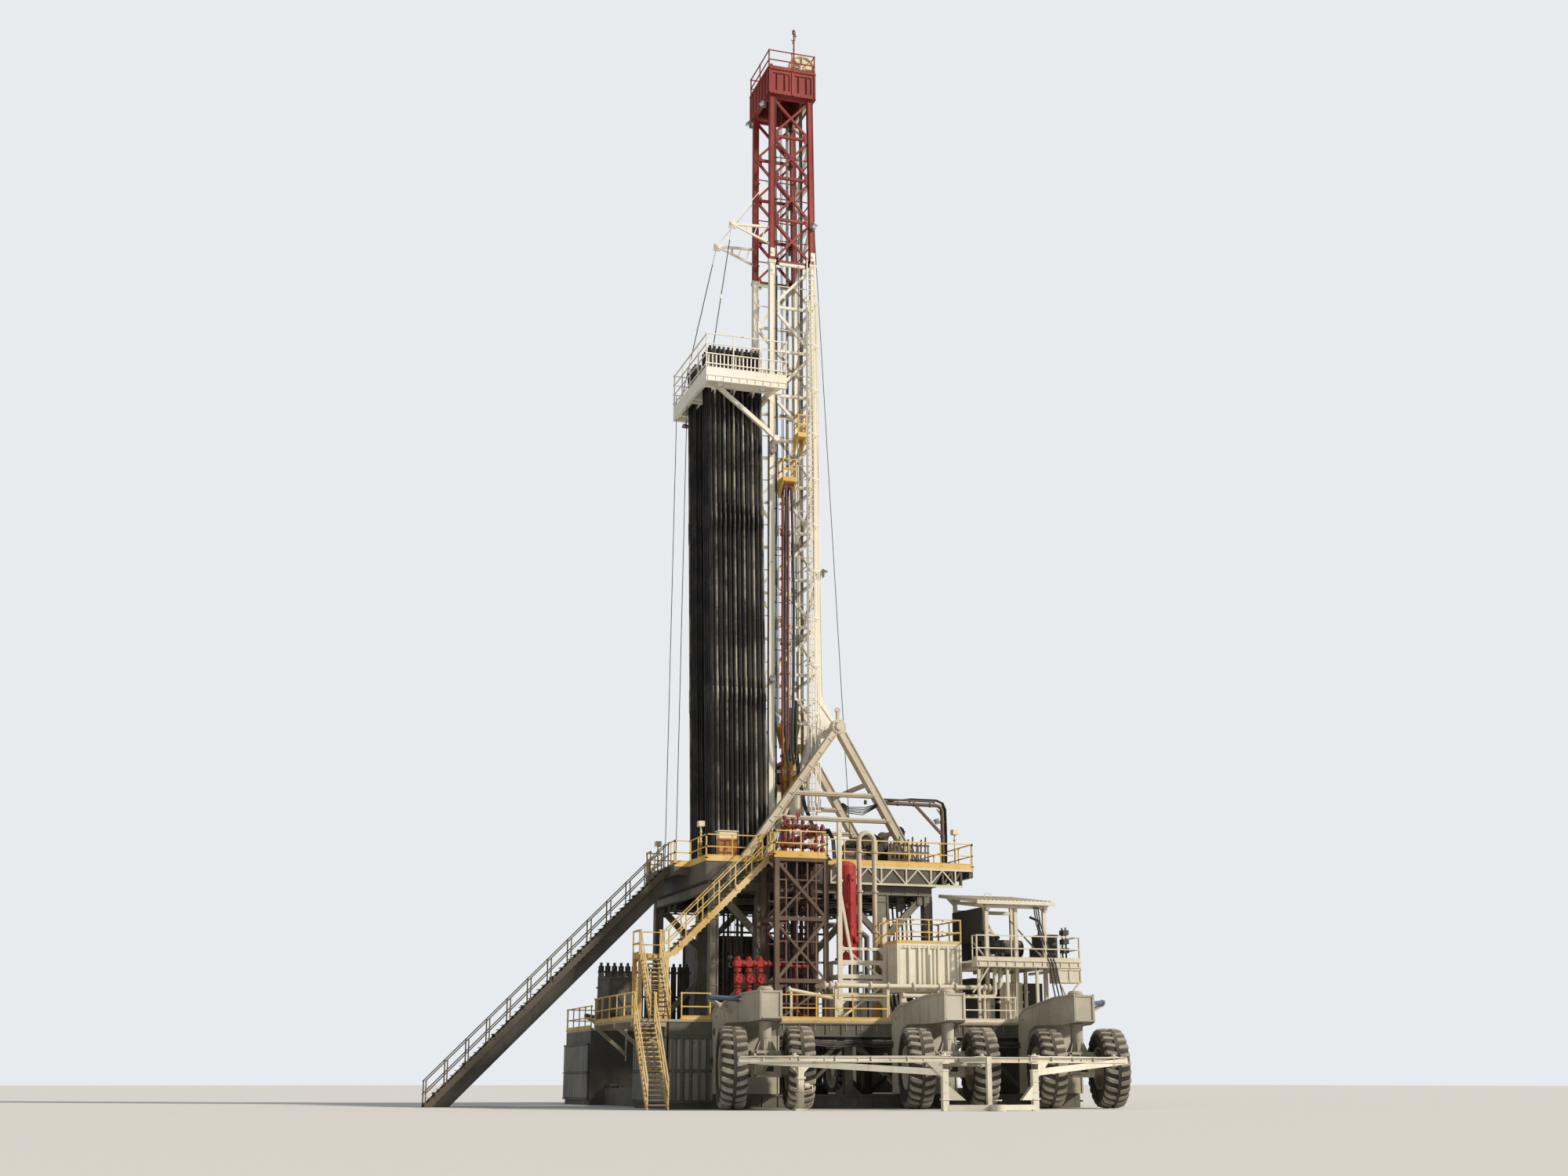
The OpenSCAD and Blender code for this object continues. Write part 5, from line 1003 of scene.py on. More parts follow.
for y in (-0.6, -0.545):
    hub = (guide_x, y, guide_z)
    pipe_run(work, ring_line(hub, Y, 0.36, 36), 0.026, 8)
    spokes(work, hub, Y, 0.35, 8, 0.02, 0.07)
disc(work, (guide_x, -0.572, guide_z), Y, 0.345, 0.02, 36)
disc(work, (guide_x, -0.572, guide_z), Y, 0.08, 0.16, 24)
for x in (0.02, 0.42):
    beam(work, (x, -0.66, crown_top + 0.01), (0.22, -0.66, 27.04), 0.03, 0.06)
piece("line_guide_wheel", work, sheave_cream, "crown_sheaves")
work = bmesh.new()
for z in (26.9, 27.2, 27.5):
    disc(work, (pole_x, pole_y, z), Z, 0.028, 0.05, 16)
for s in (-1, 1):
    pipe_run(work,
             [(pole_x, pole_y, 27.72), (pole_x, pole_y + s * 0.13, 27.72), (pole_x, pole_y + s * 0.13, 27.8)],
             0.008, 6)
disc(work, (-0.06, -0.86, 27.81), Z, 0.035, 0.02, 12)
gusset(work, (-0.06, -0.6, 27.8), (0.1, 0, 0.03), (-0.06, 0, 0.05), (0, 0.006, 0))
disc(work, (pole_x, pole_y, 27.955), Z, 0.052, 0.02, 20)
rows(work, slat(0.003, 0.003, 0.085), lamp_grey, 2, (0.09, 0, 0), (-0.105, -0.73, 27.96), 1)
piece("beacon_and_wind_gauge", work, lamp_grey, "crown_rails")

# Hoist
# Yellow travelling block and top drive with scarred paint. Cheek plates are bolted round
# the sheave pin; the drive hangs below with its motor, gear case, pipe handler and hoses.
hoist_yellow = paint("hoist_yellow", (0.66, 0.4, 0.06), (0.78, 0.55, 0.2), dirt=0.6, rust=0.2)
coat("travelling_block", hoist_yellow)
coat("top_drive", hoist_yellow)
wire_rope = paint("wire_rope", (0.06, 0.055, 0.05), (0.12, 0.11, 0.1), rust=0.1, dust=0.1, metal=0.6,
                  grain=4)
coat("drilling_lines", wire_rope)
coat("hoist_lines", wire_rope)
block_z = 9.1
work = bmesh.new()
for s in (-1, 1):
    y = s * 0.378
    cheek = [ring_spot((0, y, block_z), Y, 0.195, math.radians(a)) for a in range(-10, 191, 12)]
    outline(work, [(0.09, y, 8.66), *cheek, (-0.09, y, 8.66)], 0.02, 0.02)
    disc(work, (0, s * 0.385, block_z), Y, 0.075, 0.03, 24)
    bolt_circle(work, (0, s * 0.395, block_z), Y, 0.058, 10, 0.008, 0.03)
    for x, z in ((-0.06, 8.72), (0.06, 8.72), (-0.12, 9.0), (0.12, 9.0), (-0.1, 9.22), (0.1, 9.22)):
        disc(work, (x, s * 0.38, z), Y, 0.018, 0.025, 6)
for z in (8.61, 8.67):
    for x in (-0.117, 0.117):
        bar(work, x, (-0.35, 0.35), z, 0.014, 0.014)
piece("block_cheeks", work, hoist_yellow, "travelling_block", "hoist")
motor_x = -0.06
work = bmesh.new()
rows(work, one(slab, (-0.228, -0.006, -0.19), (0.188, 0.006, 0.19)), hoist_yellow, 9, (0, 0.058, 0),
     (0, -0.232, 7.94))
for z in (7.71, 8.17):
    slab(work, (-0.23, -0.268, z - 0.015), (0.19, 0.268, z + 0.015))
bolt_circle(work, (0, 0, 8.3), Z, 0.13, 16, 0.012, 0.26)
bolt_circle(work, (motor_x, 0, 7.6), Z, 0.14, 16, 0.011, 0.2)
for s in (-1, 1):
    pipe_run(work, [(motor_x, s * 0.15, 7.72), (motor_x, s * 0.19, 7.62), (motor_x, s * 0.19, 7.25),
                    (motor_x, s * 0.14, 7.12)], 0.018, 10)
    disc(work, (motor_x, s * 0.15, 7.66), X, 0.045, 0.05, 16)
    pipe_run(work, [(0.1, s * 0.14, 8.2), (0.15, s * 0.2, 8.3), (0.13, s * 0.16, 8.44),
                    (0.06, s * 0.08, 8.55)], 0.03, 12)
    for z in (7.78, 8.44):
        disc(work, (0.18, s * 0.505, z + 0.1), X, 0.03, 0.15, 12)
for z, r in ((7.33, 0.085), (7.24, 0.075)):
    disc(work, (motor_x, 0, z), Z, r, 0.05, 24)
piece("top_drive_fittings", work, hoist_yellow, "top_drive", "hoist")
work = bmesh.new()
for k in range(4):
    y = -0.11 + 0.05 * k
    pipe_run(work, [(-0.22, y, 8.1), (-0.27, y, 8.06), (-0.3, y, 7.9), (-0.29, y, 7.72), (-0.24, y, 7.64),
                    (-0.21, y, 7.66)], 0.013, 8)
piece("top_drive_hoses", work, black_rubber, "top_drive", "hoist")

# A-frames
# Two tall A-frames of box section hold the mast at its knees. Flange lips stiffen each
# leg, big pins with keeper plates sit at the apex, and the feet are bolted to the floor.
beige_steel = paint("beige_steel", (0.5, 0.43, 0.31), (0.62, 0.56, 0.44), dirt=0.45, rust=0.2)
coat("a_frames", beige_steel)
work = bmesh.new()
apex = Vector((knee_x, 0, knee_z))
for side in (-1, 1):
    for foot, half in ((Vector((2.875, 0, floor_z + 0.02)), 0.095),
                       (Vector((-1.65, 0, floor_z + 0.02)), 0.08)):
        along = (foot - apex).normalized()
        across = Vector((-along.z, 0, along.x))
        start, end = apex + along * 0.2, foot - along * 0.08
        for y in (side * 1.2, side * 1.4):
            depth = Vector((0, y, 0))
            for s in (-1, 1):
                beam(work, start + across * s * (half - 0.01) + depth,
                     end + across * s * (half - 0.01) + depth, 0.045, 0.022, up=across)
            web = bmesh.new()
            beam(web, across * (0.01 - half), across * (half - 0.01), 0.03, 0.014, up=along)
            count = int((end - start).length / 0.42)
            rows(work, web, beige_steel, count, along * 0.42, start + along * 0.2 + depth)
    for y in (side * 1.41, side * 1.19):
        disc(work, (knee_x, y, knee_z), Y, 0.175, 0.025, 36)
        bolt_circle(work, (knee_x, y, knee_z), Y, 0.15, 14, 0.012, 0.045)
    disc(work, (knee_x, side * 1.44, knee_z), Y, 0.09, 0.06, 28)
    slab(work, (0.78, side * 1.46 - 0.01, 8.985), (0.92, side * 1.46 + 0.01, 9.02))
    # Ties: end gussets and clamps
    for z in (7.25, 6.65):
        fall = (knee_z - z) / (knee_z - floor_z)
        x0, x1 = knee_x - 2.5 * fall, knee_x + 2.025 * fall
        for y in (side * 1.205, side * 1.395):
            for x, s in ((x0, 1), (x1, -1)):
                gusset(work, (x + s * 0.06, y, z - 0.02), (s * 0.22, 0, 0), (s * 0.07, 0, 0.13),
                       (0, 0.016, 0))
        for y in (side * 1.41, side * 1.19):
            bar(work, (x0, x1), y, z, 0.02, 0.016)
    for x, wide in ((2.875, 0.26), (-1.65, 0.21)):
        pad(work, x, side * 1.3, wide, 0.15, floor_z, floor_z + 0.03)
        rows(work, stud(Z, 0.018, 0.05, 6), beige_steel, 4, (wide * 0.58, 0, 0),
             (x - wide * 0.87, side * 1.3 - 0.125, floor_z + 0.05), 2, (0, 0.25, 0))
        for s in (-1, 1):
            gusset(work, (x + s * 0.11, side * 1.3, floor_z + 0.03), (s * 0.12, 0, 0), (0, 0, 0.2),
                   (0, 0.02, 0))
    # Apex bracket with the line guide and the small sheave
    bar(work, knee_x, side * 1.3, (9.06, 9.3), 0.1, 0.06)
    disc(work, (knee_x, side * 1.3, 9.32), Y, 0.07, 0.05, 20)
for y0, y1 in ((-1.2, -0.8), (0.8, 1.2)):
    disc(work, (knee_x, (y0 + y1) / 2, knee_z), Y, 0.112, 0.1, 28)
for x, z in ((1.62, 7.55), (2.31, 6.4)):
    bar(work, x, (-1.2, 1.2), z, 0.09, 0.09)
piece("a_frame_plates", work, beige_steel, "a_frames")
chrome = paint("chrome", (0.45, 0.44, 0.42), (0.55, 0.54, 0.52), dirt=0.3, rust=0.05, dust=0.1, rough=0.28,
               metal=0.9)
ram_work, rod_work = bmesh.new(), bmesh.new()
for side in (-1, 1):
    low, high = Vector((-0.95, side * 1.05, 5.62)), Vector((0.42, side * 0.95, 8.55))
    along = (high - low).normalized()
    pipe_run(ram_work, [low, low + along * 1.7], 0.055, 20)
    for d, r in ((0.0, 0.07), (1.68, 0.068), (0.85, 0.06)):
        disc(ram_work, low + along * d, along, r, 0.06, 20)
    disc(ram_work, low - along * 0.06, Y, 0.05, 0.12, 16)
    pad(ram_work, low.x, low.y, 0.12, 0.08, floor_z, floor_z + 0.05)
    gusset(ram_work, (low.x - 0.09, low.y, floor_z + 0.03), (0.18, 0, 0), (0.09, 0, 0.16), (0, 0.1, 0))
    pipe_run(ram_work,
             [low + along * 0.1 + Vector((-0.07, 0, 0)), low + along * 1.6 + Vector((-0.07, 0, 0))], 0.012,
             8)
    pipe_run(rod_work, [low + along * 1.7, high], 0.034, 16)
    disc(ram_work, high, Y, 0.06, 0.14, 16)
    beam(ram_work, high + Vector((0, -0.02, 0)), (0.52, side * 0.79, 8.66), 0.08, 0.06)
piece("mast_rams", ram_work, beige_steel, "a_frames")
piece("mast_ram_rods", rod_work, chrome, "a_frames")

# Racking board
# The board hangs on the front legs: railed walkways of grating, fingers with hinged
# latches, the diving board, lamps below, and outriggers whose rope stays hold its corners.
for name in ("racking_board", "racking_rails"):
    coat(name, cream_paint)
# The struts are cream, the rope stays between the board and the outriggers dark
coat("board_struts", paint("strut_paint", (0.8, 0.74, 0.61), (0.86, 0.82, 0.73), rust=0.18, dust=0.3,
                           split=("Z", 17.75, (0.09, 0.085, 0.075), 21.62)))
board_z = box_of("racking_board")[1][2]
work = bmesh.new()
for side in (-1, 1):
    rows(work, slat(1.0, 0.004, 0.012), cream_paint, 11, (0, 0.042, 0),
         (-1.59, side * 1.36 - 0.21, board_z))
    for y in (side * 1.6, side * 1.12):
        for z in (17.395, 17.535):
            bar(work, (-2.65, -0.55), y, z, 0.035, 0.016)
        rows(work, block(0.006, 0.016, 0.065), cream_paint, 11, (0.205, 0, 0), (-2.6, y, 17.465))
    latch = bmesh.new()
    slab(latch, (-0.012, -0.02, 0), (0.012, 0.02, 0.03))
    beam(latch, (0, 0, 0.03), (0.07, 0, 0.036), 0.02, 0.008)
    rows(work, latch, cream_paint, 12, (0.12, 0, 0),
         (-2.44, side * 0.37 - (0.65 if side < 0 else 0), board_z), 5, (0, 0.1625, 0))
    for i in range(13):
        x = -2.44 + 0.12 * i
        bar(work, x, (side * 0.28, side * 1.12), board_z + 0.005, 0.014, 0.012)
    # Brackets below the walkway and the tie back to the leg
    for x in (-2.3, -1.8, -1.3, -0.9):
        gusset(work, (x, side * 1.12, 17.39), (0, side * 0.3, 0), (0, 0, -0.16), (0.014, 0, 0))
        bar(work, x, (side * 0.17, side * 1.12), 17.42, 0.03, 0.05)
    gusset(work, (-0.745, side * 1.16, 17.4), (-0.3, 0, 0), (0, 0, -0.3), (0, 0.02, 0))
for x in (-2.62, -2.45):
    bar(work, x, (-1.55, 1.55), board_z + 0.003, 0.02, 0.012)
rows(work, slat(0.1, 0.004, 0.012), cream_paint, 70, (0, 0.045, 0), (-2.535, -1.55, board_z))
rows(work, slat(0.006, 0.16, 0.012), cream_paint, 40, (0.042, 0, 0), (-2.42, 0, board_z))
for y in (-0.165, 0.165):
    bar(work, (-2.41, -0.75), y, board_z + 0.02, 0.012, 0.05)
piece("board_grating_and_latches", work, cream_paint, "racking_board")
work = bmesh.new()
for a, b in (((-2.65, -1.5875), (-0.55, -1.5875)), ((-2.65, 1.5875), (-0.55, 1.5875)),
             ((-2.6375, -1.57), (-2.6375, 1.57))):
    a, b = Vector((*a, 0)), Vector((*b, 0))
    count = max(1, round((b - a).length / 0.75))
    for i in range(count + 1):
        p = a + (b - a) * i / count
        for z in (17.86, 18.12, 18.38, 18.645):
            beam(work, p + over(z - 0.022), p + over(z + 0.018), 0.036, 0.036)
    beam(work, a + over(17.75), b + over(17.75), 0.034, 0.012)
# Half-height wind screens of thin upright strips
for side in (-1, 1):
    for i in range(20):
        x = -2.58 + 0.1 * i
        bar(work, x, side * 1.575, (17.75, 18.09), 0.006, 0.03)
piece("board_rail_clips", work, cream_paint, "racking_rails")
work = bmesh.new()
for side in (-1, 1):
    y = side * 1.16
    disc(work, (-0.69, y, 16.2), Y, 0.075, 0.15, 20)
    disc(work, (-2.32, y, 17.4), Y, 0.06, 0.14, 20)
    disc(work, (-1.75, side * mast_y, 22.12), Y, 0.05, 0.14, 16)
    disc(work, (-1.75, side * mast_y, 22.02), X, 0.03, 0.18, 12)
    for i in range(4):
        t = (i + 0.5) / 4.5
        x = -0.745 - t * 1.0
        beam(work, (x, side * mast_y, 22.14 + 0.01 * i), (x - 0.1, side * mast_y, 21.72 + 0.4 * t), 0.02,
             0.02)
    high, low = Vector((-1.75, side * mast_y, 22.14)), Vector((-2.56, side * 1.49, board_z + 0.02))
    for t in (0.02, 0.5, 0.97):
        p = high * (1 - t) + low * t
        disc(work, p, (-0.17, side * 0.16, -0.97), 0.02, 0.12, 12)
piece("strut_pins_and_clamps", work, cream_paint, "board_struts")
lamp_work, lens_work = bmesh.new(), bmesh.new()
for side in (-1, 1):
    for x in (-2.3, -1.2):
        floodlight(lamp_work, lens_work, (x, side * 1.66, 17.3), (-0.2, side * 0.6, -1), 0.09)
        beam(lamp_work, (x, side * 1.62, 17.34), (x, side * 1.58, 17.42), 0.03, 0.03)
piece("board_lamps", lamp_work, lamp_grey, "racking_board")
piece("board_lamp_lenses", lens_work, lens_pale, "racking_board")

# Drill pipe
# Stands of drill pipe lean in the fingers of the racking board, three lengths screwed end
# to end. The pipe is dark rolled steel with thicker tool joints, polished and rust-streaked;
# some stands are given a lighter grey-tan as a painted highlight of the sun on them.
lean = math.radians(1.0)
stand_len = board_z + 0.95 - floor_z
stand_outline = [(0.0, 0.0), (0.0, 0.03), (0.05, 0.0348), (0.28, 0.0348), (0.32, 0.026)]
for joint_z in (4.35, 8.72):
    stand_outline += [(joint_z - 0.34, 0.026), (joint_z - 0.29, 0.0348), (joint_z - 0.012, 0.0348),
                      (joint_z - 0.008, 0.032), (joint_z + 0.008, 0.032), (joint_z + 0.012, 0.0348),
                      (joint_z + 0.24, 0.0348), (joint_z + 0.29, 0.026)]
stand_outline += [(stand_len - 0.36, 0.026), (stand_len - 0.3, 0.0348), (stand_len, 0.0348),
                  (stand_len, 0.0)]


def turned(work, profile, sides, closed=True):
    """Revolves an outline of (x, radius) about the X axis."""
    rings = []
    for i in range(sides):
        a = math.tau * i / sides
        rings.append([work.verts.new((x, r * math.sin(a), r * math.cos(a))) for x, r in profile])
    count = len(profile)
    for i in range(sides):
        here, there = rings[i], rings[(i + 1) % sides]
        for j in range(count if closed else count - 1):
            k = (j + 1) % count
            work.faces.new((here[j], here[k], there[k], there[j]))
    bmesh.ops.remove_doubles(work, verts=work.verts, dist=1e-5)


pipe_steel = paint("pipe_steel", (0.02, 0.018, 0.016), (0.062, 0.054, 0.045), dirt=0.6, rust=0.25,
                   dust=0.03, rough=0.4, metal=0.5, grain=2.4)
# Lighter grey-tan copies of the pipe finish for some near and far stands: painted highlight where the sun
# catches them.
worn_pipe = paint("worn_pipe", (0.04, 0.035, 0.029), (0.37, 0.33, 0.27), dirt=0.7, rust=0.3, dust=0.05,
                  rough=0.45, metal=0.4, grain=2.4)
first_row, last_row = 0.37, 1.12 - 0.1
row_pitch = (last_row - first_row) / 4
finger_pitch = 0.12
first_x = box_of("racking_board")[0][0] + 0.27 + math.tan(lean) * (board_z - floor_z)
stand_foot = floor_z + 0.035 * math.sin(lean)
outer_y, far_y = -first_row - 4 * row_pitch, first_row
# Name, finish, columns, first column, columns skipped each time, rows, first row's place
stand_groups = (("near", pipe_steel, 12, 0, 1, 4, outer_y + row_pitch),
                ("near_outer", pipe_steel, 6, 0, 2, 1, outer_y),
                ("near_worn", worn_pipe, 6, 1, 2, 1, outer_y), ("far", pipe_steel, 12, 0, 1, 4, far_y),
                ("far_outer", worn_pipe, 4, 0, 3, 1, far_y + 4 * row_pitch),
                ("far_second", pipe_steel, 4, 1, 3, 1, far_y + 4 * row_pitch),
                ("far_third", pipe_steel, 4, 2, 3, 1, far_y + 4 * row_pitch))
for where, finish, columns, start, skip, lines, y in stand_groups:
    stand = bmesh.new()
    turned(stand, stand_outline, 10, closed=False)
    bmesh.ops.recalc_face_normals(stand, faces=stand.faces)
    bmesh.ops.transform(stand, matrix=Matrix.Rotation(-math.pi / 2 - lean, 4, "Y"), verts=stand.verts)
    stands = bmesh.new()
    rows(stands, stand, finish, columns, (finger_pitch * skip, 0, 0),
         (first_x + finger_pitch * start, y, stand_foot), lines, (0, row_pitch, 0))
    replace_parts(piece("pipe_stands_" + where, stands, finish, "drill_pipe_stands"), "drill_pipe_stands")

# Pipe portal
# A brown pipe frame carries the power loops out from the near A-frame and down to the
# floor. Saddles clamp it, hoses run along its tray, and a floodlight is fixed inside the corner.
post_x, portal_y = 3.55, -1.3
brown_steel = paint("brown_steel", (0.1, 0.06, 0.038), (0.2, 0.145, 0.1), rust=0.3, dust=0.3)
coat("pipe_portal", brown_steel)
work = bmesh.new()
rows(work, stud(X, 0.056, 0.045, 20), brown_steel, 5, (0.42, 0, 0), (1.55, portal_y, 7.1))
rows(work, stud(Z, 0.056, 0.045, 20), brown_steel, 4, (0, 0, 0.36), (post_x, portal_y, 5.62))
flange(work, (post_x, portal_y, floor_z + 0.02), Z, 0.1, 0.03, 8)
bar(work, (2.0, 3.36), portal_y, 7.19, 0.16, 0.03)
for x in (2.05, 2.7, 3.34):
    bar(work, x, portal_y, (7.13, 7.2), 0.03, 0.03)
gusset(work, (post_x, portal_y, 6.93), (-0.16, 0, 0.1), (0, 0, -0.14), (0, 0.012, 0))
piece("portal_clamps_and_tray", work, brown_steel, "pipe_portal")
work = bmesh.new()
for k in range(5):
    y = -1.36 + 0.03 * k
    pipe_run(work, [(0.95, y * 0.98, 7.05), (1.1, y, 6.95 - 0.03 * k), (1.5, y, 6.96 - 0.04 * k),
                    (2.1, y, 7.14), (2.7, y, 7.23), (3.38, y, 7.23), (3.56, y, 7.16), (3.63, y, 7.0),
                    (3.64, y, 6.3), (3.62, y, floor_z + 0.01)], 0.013, 6)
piece("portal_cables", work, black_rubber, "pipe_portal")
lamp_work, lens_work = bmesh.new(), bmesh.new()
floodlight(lamp_work, lens_work, (3.4, portal_y, 6.72), (-1, -0.2, -0.5), 0.085)
bar(lamp_work, (3.4, 3.53), portal_y, 6.68, 0.03, 0.03)
piece("portal_lamp", lamp_work, lamp_grey, "pipe_portal")
piece("portal_lamp_lens", lens_work, lens_pale, "pipe_portal")

# Drawworks
# A black winch on a skid: grooved drum wound with wire rope, band brakes, gear cases, and
# two motors with finned bodies and blowers. Ribs stiffen the skid, and a brake lever stands on it.
black_paint = paint("black_paint", (0.025, 0.024, 0.022), (0.06, 0.056, 0.05), rust=0.08, dust=0.35)
coat("drawworks", black_paint)
drum_x, drum_z, motor_z = 1.95, 6.05, 5.97
work = bmesh.new()
rows(work, one(pipe_run, ring_line((0, 0, 0), Y, 0.312, 40), 0.0125, 6), wire_rope, 32, (0, 0.026, 0),
     (drum_x, -0.403, drum_z))
piece("drum_rope_wraps", work, wire_rope, "drawworks")
work = bmesh.new()
for s in (-1, 1):
    y = s * 0.56
    for r in (0.4, 0.33):
        disc(work, (drum_x, s * 0.455, drum_z), Y, r, 0.03 if r < 0.35 else 0.016, 40)
    disc(work, (drum_x, s * 0.63, drum_z), Y, 0.15, 0.05, 28)
    bolt_circle(work, (drum_x, s * 0.66, drum_z), Y, 0.125, 12, 0.013, 0.025)
    rows(work, stud(X, 0.243, 0.012, 32), black_paint, 11, (0.046, 0, 0), (2.48, y, motor_z))
    disc(work, (2.99, y, motor_z), X, 0.2, 0.06, 28)
    bolt_circle(work, (3.02, y, motor_z), X, 0.165, 8, 0.012, 0.03, start=0.5)
    for z in (6.28, 6.5):
        disc(work, (2.7, y, z), Z, 0.155, 0.02, 28)
    rows(work, slat(0.13, 0.003, 0.014), black_paint, 8, (0, 0.032, 0), (2.7, y - 0.112, 6.51))
    slab(work, (2.55, y - 0.1, 6.19), (2.85, y + 0.1, 6.24))
    for x in (2.55, 2.9):
        for t in (-1, 1):
            gusset(work, (x, y + t * 0.23, floor_z + 0.12), (0, t * -0.15, 0), (0, 0, 0.25), (0.02, 0, 0))
    for z in (5.46, 5.56):
        bar(work, (1.53, 3.15), s * 0.95, z, 0.03, 0.018)
    rows(work, block(0.008, 0.012, 0.05), black_paint, 9, (0.2, 0, 0), (1.55, s * 0.95, floor_z + 0.06))
for z in (5.9, 6.2):
    pipe_run(work, [(1.53, -0.6, z), (1.53, 0.6, z)], 0.02, 8)
pipe_run(work, [(1.75, -0.72, floor_z + 0.12), (1.75, -0.72, 5.95), (1.66, -0.72, 6.24)], 0.016, 8)
disc(work, (1.66, -0.72, 6.25), Y, 0.03, 0.05, 12)
for k in range(4):
    pipe_run(work, [(2.2 + 0.05 * k, -0.9, floor_z + 0.12), (2.2 + 0.05 * k, -0.88, 5.9),
                    (2.3 + 0.05 * k, -0.78, 5.98)], 0.012, 6)
piece("drawworks_fittings", work, black_paint, "drawworks")

# Floor equipment
# An orange control cabinet with a cream top stands at the floor's edge. Beside it are lamp
# poles, two winches, mats round the rotary, a mud box, and a ladder-back tool rack of flat bar.
orange_paint = paint("orange_paint", (0.46, 0.17, 0.04), (0.6, 0.33, 0.15), rust=0.2,
                     split=("Z", 5.93, (0.74, 0.66, 0.5)))
coat("floor_equipment", orange_paint)
work = bmesh.new()
for x in (-2.49, -2.29, -2.09):
    bar(work, x, -2.605, (floor_z + 0.02, 5.91), 0.012, 0.014)
for z in (5.5, 5.89):
    bar(work, (-2.49, -2.09), -2.605, z, 0.012, 0.014)
for x in (-2.33, -2.13):
    bar(work, x, -2.615, (5.66, 5.74), 0.016, 0.022)
rows(work, slat(0.07, 0.008, 0.008), orange_paint, 6, (0, 0, 0.02), (-2.39, -2.605, 5.76), 2, (0.2, 0, 0))
slab(work, (-2.53, -2.625, 6.085), (-2.05, -2.33, 6.105))
piece("cabinet_doors", work, orange_paint, "floor_equipment")
mat_steel = paint("mat_steel", (0.11, 0.075, 0.05), (0.22, 0.17, 0.12), dirt=0.6, rust=0.4, dust=0.5,
                  grain=3)
work = bmesh.new()
for y0, y1 in ((-1.0, -0.36), (0.36, 1.0)):
    rows(work, one(slab, (-0.006, y0, 0), (0.006, y1, 0.02)), mat_steel, 20, (0.06, 0, 0),
         (-0.57, 0, floor_z))
    for y in (y0, y1):
        bar(work, (-0.6, 0.6), y, floor_z + 0.01, 0.03, 0.025)
for x, y in ((-1.35, -2.3), (-1.0, -2.3), (-0.3, -2.35)):
    disc(work, (x, y, floor_z + 0.11), Z, 0.13, 0.22, 24)
    for z in (5.47, 5.56, 5.65):
        disc(work, (x, y, z), Z, 0.138, 0.016, 24)
bar(work, 0.9, (-2.35, -1.85), 5.63, 0.5, 0.36)
for y in (-2.36, -1.84):
    for x in (0.66, 0.9, 1.14):
        bar(work, x, y, (floor_z + 0.01, 5.81), 0.016, 0.014)
slab(work, (0.63, -2.38, 5.81), (1.17, -1.82, 5.83))
for i in range(5):
    bar(work, 1.75 + 0.25 * i, -2.3, (floor_z + 0.01, 5.98), 0.03, 0.03)
for z in (5.62, 5.8, 5.97):
    bar(work, (1.72, 2.78), -2.3, z, 0.02, 0.05)
for i in range(9):
    pipe_run(work,
             [(1.8 + 0.11 * i, -2.25, floor_z + 0.01), (1.8 + 0.11 * i, -2.33, 6.05 + 0.06 * (i % 3))],
             0.022, 8)
piece("floor_mats_and_racks", work, mat_steel, "floor_equipment")
work = bmesh.new()
for x, y in ((-1.9, 2.2), (2.6, 1.75)):
    pad(work, x, y, 0.3, 0.2, floor_z, floor_z + 0.05)
    disc(work, (x, y, 5.68), Y, 0.12, 0.3, 24)
    for s in (-1, 1):
        disc(work, (x, y + s * 0.16, 5.68), Y, 0.17, 0.02, 28)
        gusset(work, (x - 0.17, y + s * 0.19, floor_z + 0.05), (0.34, 0, 0), (0.17, 0, 0.2), (0, 0.016, 0))
    disc(work, (x, y + 0.26, 5.68), Y, 0.08, 0.12, 20)
    rows(work, stud(Y, 0.128, 0.014, 24), hoist_yellow, 12, (0, 0.023, 0), (x, y - 0.127, 5.68))
for x, y in ((-2.77, -2.0), (-2.77, 2.0), (3.4, -2.4), (3.4, 2.4)):
    for z in (5.62, 5.9, 6.12):
        disc(work, (x, y, z), Z, 0.036, 0.03, 16)
    pad(work, x, y, 0.07, 0.07, floor_z, floor_z + 0.025)
piece("air_winches_and_pole_clamps", work, hoist_yellow, "floor_equipment")
lamp_work, lens_work = bmesh.new(), bmesh.new()
for x, y, aim in ((-2.77, -2.0, (-0.6, -1, -0.6)), (-2.77, 2.0, (-0.6, 1, -0.6)),
                  (3.4, -2.4, (0.4, -1, -0.6)), (3.4, 2.4, (0.4, 1, -0.6))):
    floodlight(lamp_work, lens_work, (x, y, 6.3), aim, 0.07)
piece("pole_lamps", lamp_work, lamp_grey, "floor_equipment")
piece("pole_lamp_lenses", lens_work, lens_pale, "floor_equipment")

